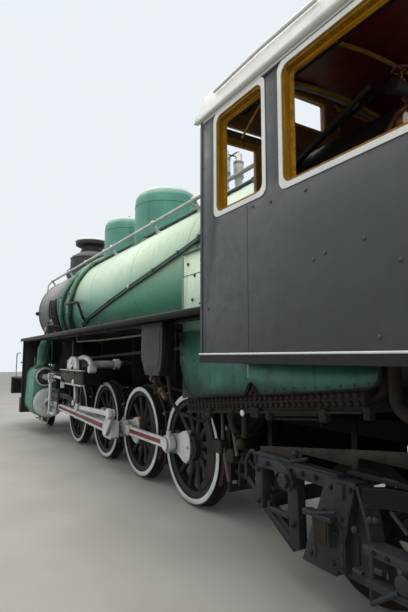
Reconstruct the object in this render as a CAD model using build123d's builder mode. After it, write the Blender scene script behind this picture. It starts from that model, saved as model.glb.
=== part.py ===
# Metre-gauge 2-8-2 steam locomotive, engine only, as an assembly of separate pieces.
# Frame: +X forward, +Y to the left side, +Z up, millimetres, z = 0 at the lowest point
# of the wheel flanges, x = 0 at the middle of the whole length.
from build123d import *
import math
import os

os.makedirs("parts", exist_ok=True)

# ---------------------------------------------------------------- driving dimensions
X_MID = 1765.0          # distance from the 4th driving axle to the middle of the engine
RAIL = 28.0             # height of the tread above the flange bottoms
GAUGE = 1000.0
DRIVER_R = 550.0        # driving wheel, tread radius
FLANGE_H = 28.0
WHEEL_IN = 463.0        # inner and outer faces of every wheel, from the centre line
WHEEL_OUT = 593.0
CRANK_R = 305.0         # half of the 610 mm piston stroke
AXLE_Z = RAIL + DRIVER_R
AXLE_R = 80.0
# driving axles, distance ahead of axle 4
DRIVER_D = {4: 0.0, 3: 1295.0, 2: 2590.0, 1: 4030.0}
MAIN = 3                # the axle that the main rod drives
PIN_ANG = {1: 0.0, -1: -90.0}    # crank pin angle of the left (+1) and right (-1) side

PONY_D, PONY_R = 6450.0, 350.0
PONY_PIVOT_D = 5250.0
TRAIL_D, TRAIL_R = -2250.0, 430.0
TRAIL_PIVOT_D = -950.0

CYL_Y, CYL_Z = 850.0, RAIL + 600.0
CYL_R = 300.0
CYL_D0, CYL_D1 = 5130.0, 5870.0
VALVE_Y, VALVE_Z, VALVE_R = 930.0, RAIL + 1090.0, 190.0
MAIN_ROD_L = 2770.0
PISTON_ROD_R = 38.0
CLEAR = 0.05            # radial clearance of every running fit

BOILER_Z = RAIL + 2473.0
BARREL_R = 750.0
SMOKE_R = 775.0
BARREL_D0, BARREL_D1 = -420.0, 4740.0
SMOKE_D1 = 6660.0
DOOR_R = 590.0
FIREBOX_HW = 915.0      # half width of the wide firebox
FIREBOX_D0, FIREBOX_D1 = -2480.0, -420.0
FIREBOX_TOP = BOILER_Z + 752.0

BOARD_TOP = RAIL + 1844.0
BOARD_Y0, BOARD_Y1 = 800.0, 1250.0
BOARD_D0, BOARD_D1 = -1430.0, 5960.0

CAB_D0, CAB_D1 = -3420.0, -1470.0     # rear and front of the cab side sheets
CAB_Y, CAB_T = 1330.0, 56.0           # outer face and thickness of the cab walls
CAB_Z0, CAB_EAVE = RAIL + 1494.0, RAIL + 3187.0
ROOF_D0, ROOF_D1 = -3860.0, -1400.0
ROOF_TOP = RAIL + 3800.0
BEAM_D0, BEAM_D1 = 7050.0, 7190.0
REAR_D = -4020.0

FRAME_Y0, FRAME_Y1 = 335.0, 430.0     # inner and outer face of the frame bars


def X(d):
    """Distance ahead of the 4th driving axle to the frame's x."""
    return d - X_MID


# ---------------------------------------------------------------- small shape helpers
def slab(x0, x1, y0, y1, z0, z1, mode=Mode.ADD):
    with Locations(((x0 + x1) / 2, (y0 + y1) / 2, (z0 + z1) / 2)):
        Box(abs(x1 - x0), abs(y1 - y0), abs(z1 - z0), mode=mode)


def round_x(x0, x1, y, z, r, mode=Mode.ADD):
    with Locations(Location(((x0 + x1) / 2, y, z), (0, 90, 0))):
        Cylinder(r, abs(x1 - x0), mode=mode)


def round_y(x, z, r, y0, y1, mode=Mode.ADD):
    with Locations(Location((x, (y0 + y1) / 2, z), (90, 0, 0))):
        Cylinder(r, abs(y1 - y0), mode=mode)


def round_z(x, y, r, z0, z1, mode=Mode.ADD):
    with Locations((x, y, (z0 + z1) / 2)):
        Cylinder(r, abs(z1 - z0), mode=mode)


def plate_xz(pts, y0, y1, mode=Mode.ADD):
    lo, hi = min(y0, y1), max(y0, y1)
    with BuildSketch(Plane.XZ.offset(-lo)) as sk:
        with BuildLine():
            Polyline(*pts, close=True)
        make_face()
    extrude(sk.sketch, amount=-(hi - lo), mode=mode)


def plate_yz(pts, x0, x1, mode=Mode.ADD):
    lo, hi = min(x0, x1), max(x0, x1)
    with BuildSketch(Plane.YZ.offset(lo)) as sk:
        with BuildLine():
            Polyline(*pts, close=True)
        make_face()
    extrude(sk.sketch, amount=hi - lo, mode=mode)


def plate_xy(pts, z0, z1, mode=Mode.ADD):
    with BuildSketch(Plane.XY.offset(z0)) as sk:
        with BuildLine():
            Polyline(*pts, close=True)
        make_face()
    extrude(sk.sketch, amount=z1 - z0, mode=mode)


def strut(p, q, r, mode=Mode.ADD):
    d = Vector(*q) - Vector(*p)
    with BuildSketch(Plane(origin=p, z_dir=d)) as sk:
        Circle(r)
    extrude(sk.sketch, amount=d.length, mode=mode)


def turned_y(x, z, profile, mode=Mode.ADD):
    """Revolve a closed profile of (radius, y) about the lateral axis at (x, z)."""
    with BuildSketch(Plane(origin=(x, 0, z), x_dir=(1, 0, 0), z_dir=(0, 0, 1))) as sk:
        with BuildLine():
            Polyline(*profile, close=True)
        make_face()
    revolve(sk.sketch, axis=Axis((x, 0, z), (0, 1, 0)), revolution_arc=360, mode=mode)


def turned_x(y, z, profile, mode=Mode.ADD):
    """Revolve a closed profile of (x, radius) about the lengthwise axis at (y, z)."""
    with BuildSketch(Plane(origin=(0, y, z), x_dir=(1, 0, 0), z_dir=(0, -1, 0))) as sk:
        with BuildLine():
            Polyline(*profile, close=True)
        make_face()
    revolve(sk.sketch, axis=Axis((0, y, z), (1, 0, 0)), revolution_arc=360, mode=mode)


def turned_z(x, y, profile, mode=Mode.ADD):
    """Revolve a closed profile of (radius, z) about the vertical axis at (x, y)."""
    with BuildSketch(Plane(origin=(x, y, 0), x_dir=(1, 0, 0), z_dir=(0, -1, 0))) as sk:
        with BuildLine():
            Polyline(*profile, close=True)
        make_face()
    revolve(sk.sketch, axis=Axis((x, y, 0), (0, 0, 1)), revolution_arc=360, mode=mode)


def turn2(pts, ang, x=0.0, z=0.0):
    c, s = math.cos(math.radians(ang)), math.sin(math.radians(ang))
    return [(x + c * u - s * v, z + s * u + c * v) for u, v in pts]


def save(builder, name):
    builder.part.label = name
    export_step(builder.part, "parts/" + name + ".step")


# ================================================================= frame
# upright legs of the frame stand each side of an axlebox 220 wide
BOX_W = 220.0
LEG_W = 110.0
TOP0, TOP1 = RAIL + 780, RAIL + 950
LOW0, LOW1 = RAIL + 325, RAIL + 400
with BuildPart() as main_frame:
    for s in (1, -1):
        y0, y1 = s * FRAME_Y0, s * FRAME_Y1
        plate_xz([(X(BEAM_D0), TOP0), (X(BEAM_D0), TOP1), (X(-700), TOP1), (X(-1000), RAIL + 1075),
                  (X(REAR_D), RAIL + 1075), (X(REAR_D), RAIL + 945), (X(-950), RAIL + 945), (X(-760), TOP0)], y0, y1)
        slab(X(-170 - LEG_W), X(4030 + 110 + LEG_W), y0, y1, LOW0, LOW1)
        for n, d in DRIVER_D.items():
            for e in (-1, 1):
                x0 = X(d) + e * BOX_W / 2
                slab(x0, x0 + e * LEG_W, y0, y1, LOW0, TOP0 + 1)
    # cross ties: distance, length, bottom, top
    for d, ln, z0, z1 in ((6900, 160, 800, 940), (4480, 120, 800, 940), (3320, 120, 800, 940), (1950, 120, 800, 940),
                          (650, 120, 800, 940), (-640, 100, 800, 940), (-3960, 110, 950, 1070)):
        slab(X(d) - ln / 2, X(d) + ln / 2, -FRAME_Y0 - 5, FRAME_Y0 + 5, RAIL + z0, RAIL + z1)
    # the pivot castings of the two trucks hang from cross ties
    slab(X(PONY_PIVOT_D) - 90, X(PONY_PIVOT_D) + 90, -FRAME_Y0 - 5, FRAME_Y0 + 5, RAIL + 800, RAIL + 940)
    round_z(X(PONY_PIVOT_D), 0, 70, RAIL + 596, RAIL + 805)
    round_z(X(PONY_PIVOT_D), 0, 40, RAIL + 420, RAIL + 600)
    slab(X(TRAIL_PIVOT_D) - 90, X(TRAIL_PIVOT_D) + 90, -FRAME_Y0 - 5, FRAME_Y0 + 5, RAIL + 950, RAIL + 1060)
    round_z(X(TRAIL_PIVOT_D), 0, 70, RAIL + 596, RAIL + 955)
    round_z(X(TRAIL_PIVOT_D), 0, 40, RAIL + 420, RAIL + 600)
save(main_frame, "main_frame")

with BuildPart() as driving_axleboxes:
    for n, d in DRIVER_D.items():
        for s in (1, -1):
            slab(X(d) - BOX_W / 2, X(d) + BOX_W / 2, s * (FRAME_Y0 - 10), s * (FRAME_Y1 + 10), AXLE_Z - 130, AXLE_Z + 140)
            round_y(X(d), AXLE_Z, AXLE_R + CLEAR, s * (FRAME_Y0 - 20), s * (FRAME_Y1 + 20), mode=Mode.SUBTRACT)
save(driving_axleboxes, "driving_axleboxes")

with BuildPart() as driver_springs:
    for n, d in DRIVER_D.items():
        for s in (1, -1):
            y = s * (FRAME_Y0 + FRAME_Y1) / 2
            for k in range(6):
                half = 380 - 55 * k
                slab(X(d) - half, X(d) + half, y - 38, y + 38, TOP1 + 75 - 12 * k - 12, TOP1 + 75 - 12 * k)
            slab(X(d) - 45, X(d) + 45, y - 42, y + 42, TOP1, TOP1 + 80)
            for e in (-1, 1):
                slab(X(d) + e * 345, X(d) + e * 375, y - 30, y + 30, TOP1, TOP1 + 64)
save(driver_springs, "driver_springs")

with BuildPart() as brake_gear:
    # one shoe and hanger behind each driving wheel, on a cross beam per axle
    for n, d in DRIVER_D.items():
        for s in (1, -1):
            with BuildSketch(Plane(origin=(X(d), s * 500 if s > 0 else -580, AXLE_Z), x_dir=(1, 0, 0), z_dir=(0, -1, 0))):
                Circle(DRIVER_R + 62)
                Circle(DRIVER_R + 14, mode=Mode.SUBTRACT)
                with BuildLine():
                    Polyline((-300, -200), (-800, -330), (-800, 90), (-300, 60), close=True)
                make_face(mode=Mode.INTERSECT)
            extrude(amount=-80)
            plate_xz([(X(d) - 612, AXLE_Z - 285), (X(d) - 650, AXLE_Z - 285), (X(d) - 660, TOP0 + 60), (X(d) - 622, TOP0 + 60)],
                     s * 520, s * 550)
            slab(X(d) - 662, X(d) - 620, s * FRAME_Y1, s * 552, TOP0 + 25, TOP0 + 65)
        slab(X(d) - 655, X(d) - 615, -552, 552, AXLE_Z - 290, AXLE_Z - 235)
save(brake_gear, "brake_gear")

with BuildPart() as buffer_beam:
    slab(X(BEAM_D0), X(BEAM_D1), -1220, 1220, RAIL + 660, RAIL + 1010)
    round_x(X(BEAM_D0) - 5, X(BEAM_D1) + 5, 0, RAIL + 825, 60, mode=Mode.SUBTRACT)
save(buffer_beam, "buffer_beam")

with BuildPart() as front_platform:
    slab(X(6030), X(BEAM_D1) + 20, -1220, 1220, RAIL + 1010, RAIL + 1030)
save(front_platform, "front_platform")

COUPLER_Z = RAIL + 825
with BuildPart() as front_coupler:
    slab(X(BEAM_D1), X(BEAM_D1) + 40, -150, 150, COUPLER_Z - 120, COUPLER_Z + 120)
    slab(X(BEAM_D1) + 30, X(BEAM_D1) + 230, -65, 65, COUPLER_Z - 80, COUPLER_Z + 80)
    plate_xy([(X(BEAM_D1) + 200, -90), (X(BEAM_D1) + 200, 90), (X(BEAM_D1) + 330, 150), (X(BEAM_D1) + 400, 130),
              (X(BEAM_D1) + 400, 95), (X(BEAM_D1) + 300, 60), (X(BEAM_D1) + 290, -10), (X(BEAM_D1) + 400, -30),
              (X(BEAM_D1) + 430, -90), (X(BEAM_D1) + 360, -140)], COUPLER_Z - 110, COUPLER_Z + 110)
    round_z(X(BEAM_D1) + 355, -85, 20, COUPLER_Z - 130, COUPLER_Z + 130, mode=Mode.SUBTRACT)
save(front_coupler, "front_coupler")

with BuildPart() as drag_box:
    slab(X(REAR_D) - 70, X(REAR_D), -620, 620, RAIL + 760, RAIL + 1130)
    slab(X(REAR_D), X(REAR_D) + 260, -300, 300, RAIL + 780, RAIL + 940)
    slab(X(REAR_D) - 80, X(REAR_D) + 220, -170, 170, RAIL + 835, RAIL + 890, mode=Mode.SUBTRACT)
    round_z(X(REAR_D) + 60, 0, 37.5, RAIL + 700, RAIL + 1000, mode=Mode.SUBTRACT)
save(drag_box, "drag_box")

with BuildPart() as cab_steps:
    for s in (1, -1):
        slab(X(-3800), X(-3790), s * 900, s * 1280, RAIL + 400, RAIL + 1432)
        slab(X(-3480), X(-3470), s * 900, s * 1280, RAIL + 400, RAIL + 1432)
        for z in (400, 760, 1120):
            slab(X(-3790), X(-3480), s * 1010, s * 1280, RAIL + z, RAIL + z + 25)
        slab(X(-3790), X(-3480), s * 900, s * 915, RAIL + 400, RAIL + 1432)
save(cab_steps, "cab_steps")

with BuildPart() as front_steps:
    for s in (1, -1):
        slab(X(5990), X(6015), s * 700, s * 1200, RAIL + 345, RAIL + 1828)
        for z in (345, 1345):
            slab(X(6015), X(6215), s * 800, s * 1200, RAIL + z, RAIL + z + 22)
        slab(X(6015), X(6180), s * 1180, s * 1200, RAIL + 345, RAIL + 640)
save(front_steps, "front_steps")

# ================================================================= cylinders
SADDLE_Z0 = RAIL + 640
for s, name in ((1, "cylinder_left"), (-1, "cylinder_right")):
    with BuildPart() as cylinder:
        # cylinder and valve chest share one flat sided casing
        with BuildSketch(Plane.YZ.offset(X(CYL_D0))):
            with Locations((s * CYL_Y, CYL_Z)):
                Circle(CYL_R)
            with Locations((s * VALVE_Y, VALVE_Z)):
                Circle(VALVE_R)
            with BuildLine():
                Polyline((s * (CYL_Y + CYL_R), CYL_Z), (s * (VALVE_Y + VALVE_R), VALVE_Z),
                         (s * (VALVE_Y - VALVE_R), VALVE_Z), (s * (CYL_Y - CYL_R), CYL_Z), close=True)
            make_face()
        extrude(amount=CYL_D1 - CYL_D0)
        # half saddle, hollowed to the smokebox
        plate_yz([(0, SADDLE_Z0), (s * 620, SADDLE_Z0), (s * 760, VALVE_Z - 60), (s * 700, VALVE_Z + 60),
                  (s * 560, RAIL + 1600), (s * 560, RAIL + 2050), (0, RAIL + 2050)], X(CYL_D0 + 60), X(CYL_D1 - 60))
        round_x(X(CYL_D0), X(CYL_D1), 0, BOILER_Z, SMOKE_R, mode=Mode.SUBTRACT)
        slab(X(CYL_D0), X(CYL_D1), s * FRAME_Y0, s * FRAME_Y1, TOP0, TOP1, mode=Mode.SUBTRACT)
        slab(X(CYL_D0), X(PONY_PIVOT_D) + 90, 0, s * FRAME_Y0 + s * 6, SADDLE_Z0 - 5, RAIL + 940, mode=Mode.SUBTRACT)
        # blind bore that takes the piston rod
        round_x(X(CYL_D0) - 1, X(5790), s * CYL_Y, CYL_Z, PISTON_ROD_R + 6, mode=Mode.SUBTRACT)
    save(cylinder, name)

with BuildPart() as cylinder_covers:
    for s in (1, -1):
        # domed rear cover with its gland, and front cover: x, radius
        turned_x(s * CYL_Y, CYL_Z, [(X(CYL_D0), PISTON_ROD_R + CLEAR), (X(CYL_D0), 285), (X(CYL_D0) - 25, 285), (X(CYL_D0) - 48, 250),
                                    (X(CYL_D0) - 62, 170), (X(CYL_D0) - 66, 95), (X(CYL_D0) - 190, 90), (X(CYL_D0) - 190, PISTON_ROD_R + CLEAR)])
        # lug that takes the guide bar
        slab(X(CYL_D0) - 75, X(CYL_D0) - 20, s * (CYL_Y - 48), s * (CYL_Y + 48), CYL_Z + 140, CYL_Z + 262)
        turned_x(s * CYL_Y, CYL_Z, [(X(CYL_D1), 0), (X(CYL_D1), 285), (X(CYL_D1) + 25, 285), (X(CYL_D1) + 48, 250),
                                    (X(CYL_D1) + 60, 150), (X(CYL_D1) + 62, 0)])
        turned_x(s * VALVE_Y, VALVE_Z, [(X(CYL_D0), 0), (X(CYL_D0), 182), (X(CYL_D0) - 30, 182), (X(CYL_D0) - 40, 150), (X(CYL_D0) - 20, 130),
                                        (X(CYL_D0) - 20, 60), (X(CYL_D0) - 200, 50), (X(CYL_D0) - 200, 0)])
        turned_x(s * VALVE_Y, VALVE_Z, [(X(CYL_D1), 0), (X(CYL_D1), 182), (X(CYL_D1) + 30, 182), (X(CYL_D1) + 44, 140), (X(CYL_D1) + 48, 0)])
save(cylinder_covers, "cylinder_covers")

with BuildPart() as steam_pipes:
    for s in (1, -1):
        strut((X(5430), s * 690, RAIL + 2190), (X(5430), s * 905, RAIL + 1620), 115)
        with Locations((X(5430), s * 905, RAIL + 1620)):
            Sphere(115)
        strut((X(5430), s * 905, RAIL + 1620), (X(5430), s * 925, VALVE_Z + 100), 115)
        with BuildSketch(Plane.XY.offset(VALVE_Z + 150)):
            with Locations((X(5430), s * 925)):
                Rectangle(300, 250)
        extrude(amount=60)
        round_x(X(4900), X(5980), 0, BOILER_Z, SMOKE_R, mode=Mode.SUBTRACT)
        with BuildSketch(Plane.YZ.offset(X(CYL_D0))):
            with Locations((s * VALVE_Y, VALVE_Z)):
                Circle(VALVE_R)
        extrude(amount=CYL_D1 - CYL_D0, mode=Mode.SUBTRACT)
save(steam_pipes, "steam_pipes")

# ================================================================= boiler
with BuildPart() as boiler_barrel:
    round_x(X(BARREL_D0), X(BARREL_D1), 0, BOILER_Z, BARREL_R)
save(boiler_barrel, "boiler_barrel")

LEDGE_Z, LEDGE_IN_Z = RAIL + 2432, RAIL + 2500     # the wide lower box ends in a sloping ledge, and the crown is flush with the barrel
CROWN_R = 752.0
RING_RISE = 0.097       # the foundation ring rises towards the rear
RING_DEPTH = 135.0


def ring_z(d):
    return RAIL + 1123 + RING_RISE * (-d - 711)


with BuildPart() as firebox:
    with BuildSketch(Plane.YZ.offset(X(FIREBOX_D0))):
        with BuildLine():
            inner = math.sqrt(CROWN_R ** 2 - (LEDGE_IN_Z - BOILER_Z) ** 2)
            Polyline((-FIREBOX_HW, RAIL + 1080), (-FIREBOX_HW, LEDGE_Z), (-inner, LEDGE_IN_Z))
            ThreePointArc((-inner, LEDGE_IN_Z), (0, BOILER_Z + CROWN_R), (inner, LEDGE_IN_Z))
            Polyline((inner, LEDGE_IN_Z), (FIREBOX_HW, LEDGE_Z), (FIREBOX_HW, RAIL + 1080))
            Line((FIREBOX_HW, RAIL + 1080), (-FIREBOX_HW, RAIL + 1080))
        make_face()
    extrude(amount=FIREBOX_D1 - FIREBOX_D0)
    # sloping underside
    plate_xz([(X(-4000), RAIL), (X(-4000), ring_z(-4000)), (X(500), ring_z(500)), (X(500), RAIL)], -1000, 1000, mode=Mode.SUBTRACT)
    # fire hole
    round_x(X(FIREBOX_D0) - 1, X(FIREBOX_D0) + 220, 0, RAIL + 1830, 190, mode=Mode.SUBTRACT)
save(firebox, "firebox")

with BuildPart() as firebox_skirt:
    # lagging plate that bulges along the foot of the firebox, open at a notch, seen from the side
    outline = ((-424, 1700), (-440, 1400), (-520, 1240), (-600, 1150), (-700, 1121), (-1425, 1191), (-1457, 1226), (-1488, 1275), (-1519, 1288),
               (-1559, 1267), (-1605, 1223), (-1633, 1205), (-2046, 1244), (-2444, 1286), (-2557, 1298), (-2601, 1321), (-2623, 1352),
               (-2637, 1430), (-1438, 1430), (-1438, 1700))
    for s in (1, -1):
        plate_xz([(X(d), RAIL + z) for d, z in outline], s * FIREBOX_HW, s * 952)
save(firebox_skirt, "firebox_skirt")

with BuildPart() as foundation_ring:
    plate_xz([(X(FIREBOX_D0), ring_z(FIREBOX_D0)), (X(FIREBOX_D1 - 60), ring_z(FIREBOX_D1 - 60)),
              (X(FIREBOX_D1 - 60), ring_z(FIREBOX_D1 - 60) - RING_DEPTH), (X(FIREBOX_D0), ring_z(FIREBOX_D0) - RING_DEPTH)], -895, 895)
    slab(X(FIREBOX_D0 + 120), X(FIREBOX_D1 - 180), -780, 780, RAIL + 900, RAIL + 1500, mode=Mode.SUBTRACT)
save(foundation_ring, "foundation_ring")

with BuildPart() as ash_pan:
    slab(X(-2350), X(-610), -770, 770, RAIL + 1095, RAIL + 1330)
    slab(X(-1660), X(-1080), -310, 310, RAIL + 815, RAIL + 1100)
    slab(X(-1635), X(-1105), -285, 285, RAIL + 805, RAIL + 1150, mode=Mode.SUBTRACT)
    # dump door that closes the hopper from below
    slab(X(-1660), X(-1080), -310, 310, RAIL + 800, RAIL + 813.5)
    plate_xz([(X(-4000), ring_z(-4000)), (X(-4000), RAIL + 1900), (X(500), RAIL + 1900), (X(500), ring_z(500))], -1000, 1000, mode=Mode.SUBTRACT)
save(ash_pan, "ash_pan")

# sheets that close the ash pan's sides below the air gap, each hung on two straps
with BuildPart() as ash_pan_sides:
    for s in (1, -1):
        plate_xz([(X(-1330), RAIL + 700), (X(-1330), RAIL + 792), (X(-2900), RAIL + 998), (X(-2900), RAIL + 872), (X(-2290), RAIL + 872),
                  (X(-2230), RAIL + 812), (X(-1790), RAIL + 812), (X(-1790), RAIL + 700)],
                 s * 716, s * 728)
        for d in (-1450, -2250):
            slab(X(d) - 22, X(d) + 22, s * 716, s * 728, RAIL + 780, RAIL + 1095)
save(ash_pan_sides, "ash_pan_sides")

# plates that carry the barrel on the frame between the driving wheels
with BuildPart() as waist_sheets:
    for d in (650, 1950, 3290, 4480):
        slab(X(d) - 6, X(d) + 6, -430, 430, RAIL + 950, BOILER_Z - 300)
    round_x(X(0), X(4700), 0, BOILER_Z, BARREL_R + 1, mode=Mode.SUBTRACT)
save(waist_sheets, "waist_sheets")

with BuildPart() as smokebox:
    round_x(X(BARREL_D1), X(SMOKE_D1), 0, BOILER_Z, SMOKE_R)
    round_x(X(BARREL_D1) + 160, X(SMOKE_D1) + 1, 0, BOILER_Z, SMOKE_R - 18, mode=Mode.SUBTRACT)
    round_z(X(5350), 0, 190, BOILER_Z + 400, BOILER_Z + 900, mode=Mode.SUBTRACT)
save(smokebox, "smokebox")

with BuildPart() as smokebox_front:
    round_x(X(SMOKE_D1), X(SMOKE_D1) + 40, 0, BOILER_Z, SMOKE_R)
    round_x(X(SMOKE_D1) - 1, X(SMOKE_D1) + 41, 0, BOILER_Z, DOOR_R - 45, mode=Mode.SUBTRACT)
    for z in (-230, 230):
        slab(X(SMOKE_D1) + 40, X(SMOKE_D1) + 96, -DOOR_R - 95, -DOOR_R - 35, BOILER_Z + z - 70, BOILER_Z + z - 25)
        slab(X(SMOKE_D1) + 40, X(SMOKE_D1) + 96, -DOOR_R - 95, -DOOR_R - 35, BOILER_Z + z + 25, BOILER_Z + z + 70)
        round_z(X(SMOKE_D1) + 76, -DOOR_R - 65, 14 + CLEAR, BOILER_Z + z - 80, BOILER_Z + z + 80, mode=Mode.SUBTRACT)
save(smokebox_front, "smokebox_front")

DOOR_X = X(SMOKE_D1) + 76
with BuildPart() as smokebox_door:
    turned_x(0, BOILER_Z, [(X(SMOKE_D1) + 46, 0), (X(SMOKE_D1) + 46, DOOR_R), (X(SMOKE_D1) + 66, DOOR_R), (X(SMOKE_D1) + 95, DOOR_R - 110),
                           (X(SMOKE_D1) + 125, 320), (X(SMOKE_D1) + 135, 0)])
    for z in (-230, 230):
        slab(X(SMOKE_D1) + 52, X(SMOKE_D1) + 84, -DOOR_R - 62, -DOOR_R + 160, BOILER_Z + z - 20, BOILER_Z + z + 20)
        round_z(DOOR_X, -DOOR_R - 65, 22, BOILER_Z + z - 20, BOILER_Z + z + 20)
        round_z(DOOR_X, -DOOR_R - 65, 14, BOILER_Z + z - 75, BOILER_Z + z + 75)
    round_x(X(SMOKE_D1) + 130, X(SMOKE_D1) + 215, 0, BOILER_Z, 28)
    strut((X(SMOKE_D1) + 185, -130, BOILER_Z - 75), (X(SMOKE_D1) + 185, 130, BOILER_Z + 75), 12)
save(smokebox_door, "smokebox_door")

with BuildPart() as headlamp:
    slab(X(6560), X(6690), -120, 120, BOILER_Z + 740, BOILER_Z + 805)
    round_x(X(6540), X(6760), 0, BOILER_Z + 960, 165)
    round_x(X(6740), X(6761), 0, BOILER_Z + 960, 140, mode=Mode.SUBTRACT)
    round_z(X(6640), 0, 60, BOILER_Z + 1110, BOILER_Z + 1170)
    round_x(X(6400), X(6760), 0, BOILER_Z, SMOKE_R, mode=Mode.SUBTRACT)
save(headlamp, "headlamp")

with BuildPart() as chimney:
    # broad base, bell up to a narrow neck, and a wide cap: radius, height over the boiler axis
    profile = ((185, 700), (470, 640), (440, 800), (432, 1050), (408, 1100), (340, 1150), (262, 1196), (226, 1250), (214, 1325),
               (300, 1338), (338, 1360), (342, 1440), (318, 1470), (240, 1480), (185, 1480))
    turned_z(X(5350), 0, [(r, BOILER_Z + h) for r, h in profile])
    round_x(X(4700), X(5980), 0, BOILER_Z, SMOKE_R, mode=Mode.SUBTRACT)
save(chimney, "chimney")

with BuildPart() as sand_dome:
    turned_z(X(3300), 0, [(0, BOILER_Z + 600), (404, BOILER_Z + 560), (402, BOILER_Z + 880),
                          (400, BOILER_Z + 1212), (392, BOILER_Z + 1270), (362, BOILER_Z + 1328), (312, BOILER_Z + 1370), (235, BOILER_Z + 1396),
                          (120, BOILER_Z + 1406), (0, BOILER_Z + 1408)])
    round_x(X(2600), X(4000), 0, BOILER_Z, BARREL_R, mode=Mode.SUBTRACT)
save(sand_dome, "sand_dome")

with BuildPart() as steam_dome:
    turned_z(X(1780), 0, [(0, BOILER_Z + 600), (470, BOILER_Z + 500), (467, BOILER_Z + 880),
                          (465, BOILER_Z + 1210), (455, BOILER_Z + 1285), (420, BOILER_Z + 1352), (362, BOILER_Z + 1402), (275, BOILER_Z + 1434),
                          (150, BOILER_Z + 1449), (0, BOILER_Z + 1453)])
    round_x(X(1000), X(2500), 0, BOILER_Z, BARREL_R, mode=Mode.SUBTRACT)
save(steam_dome, "steam_dome")

VALVE_PAIR_D, VALVE_PAIR_Y = 75.0, 95.0
with BuildPart() as safety_valves:
    # two spring valves side by side on one turret: radius, height over the boiler axis
    slab(X(VALVE_PAIR_D) - 100, X(VALVE_PAIR_D) + 100, -190, 190, BOILER_Z + 690, BOILER_Z + 800)
    profile = ((0, 780), (74, 780), (74, 825), (46, 850), (46, 1080), (58, 1092), (58, 1300), (44, 1320), (44, 1385), (30, 1405), (0, 1405))
    for y in (-VALVE_PAIR_Y, VALVE_PAIR_Y):
        turned_z(X(VALVE_PAIR_D), y, [(r, BOILER_Z + h) for r, h in profile])
    round_x(X(-400), X(600), 0, BOILER_Z, BARREL_R, mode=Mode.SUBTRACT)
save(safety_valves, "safety_valves")

# ================================================================= running boards and rails
BOARD_LIP = 55.0
for s, name in ((1, "running_board_left"), (-1, "running_board_right")):
    with BuildPart() as board:
        plate_yz([(s * BOARD_Y0, BOARD_TOP), (s * BOARD_Y1, BOARD_TOP), (s * BOARD_Y1, BOARD_TOP - BOARD_LIP), (s * (BOARD_Y1 - 12), BOARD_TOP - BOARD_LIP),
                  (s * (BOARD_Y1 - 12), BOARD_TOP - 14), (s * BOARD_Y0, BOARD_TOP - 14)], X(BOARD_D0), X(BOARD_D1 + 60))
        # the wide firebox cuts into the inner edge, and the steam pipe passes through
        slab(X(BOARD_D0) - 1, X(FIREBOX_D1) + 4, s * (BOARD_Y0 - 5), s * (FIREBOX_HW + 6), BOARD_TOP - 80, BOARD_TOP + 5, mode=Mode.SUBTRACT)
        slab(X(5430 - 165), X(5430 + 165), s * (BOARD_Y0 - 5), s * 1080, BOARD_TOP - 80, BOARD_TOP + 5, mode=Mode.SUBTRACT)
        # brackets back to the boiler: distance
        for d in (150, 1300, 2500, 3700, 4800):
            plate_yz([(s * 230, BOARD_TOP - 14), (s * 1200, BOARD_TOP - 14), (s * 1200, BOARD_TOP - 40), (s * 760, BOARD_TOP - 95), (s * 230, BOARD_TOP - 95)],
                     X(d) - 12, X(d) + 12)
            round_x(X(d) - 20, X(d) + 20, 0, BOILER_Z, BARREL_R if d < BARREL_D1 else SMOKE_R, mode=Mode.SUBTRACT)
    save(board, name)

RAIL_RHO, RAIL_ANG = 893.0, 37.3
RAIL_Y = RAIL_RHO * math.sin(math.radians(RAIL_ANG))
RAIL_Z = BOILER_Z + RAIL_RHO * math.cos(math.radians(RAIL_ANG))
with BuildPart() as handrails:
    for s in (1, -1):
        strut((X(-1430), s * RAIL_Y, RAIL_Z), (X(6520), s * RAIL_Y, RAIL_Z), 21)
        for d in (6480, 5050, 3970, 2620, 1090, 30):
            rr = SMOKE_R if d > BARREL_D1 else BARREL_R
            sa, ca = math.sin(math.radians(RAIL_ANG)), math.cos(math.radians(RAIL_ANG))
            strut((X(d), s * (rr + 1) * sa, BOILER_Z + (rr + 1) * ca), (X(d), s * RAIL_Y, RAIL_Z), 17)
save(handrails, "handrails")

with BuildPart() as side_box:
    # tapered box that hangs below each running board
    for s in (1, -1):
        plate_xz([(X(-470), RAIL + 1789), (X(0), RAIL + 1789), (X(-2), RAIL + 1470), (X(-95), RAIL + 1318), (X(-120), RAIL + 1300), (X(-405), RAIL + 1300),
                  (X(-455), RAIL + 1400), (X(-470), RAIL + 1500)], s * 1030, s * 1155)
save(side_box, "side_boxes")

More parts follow.
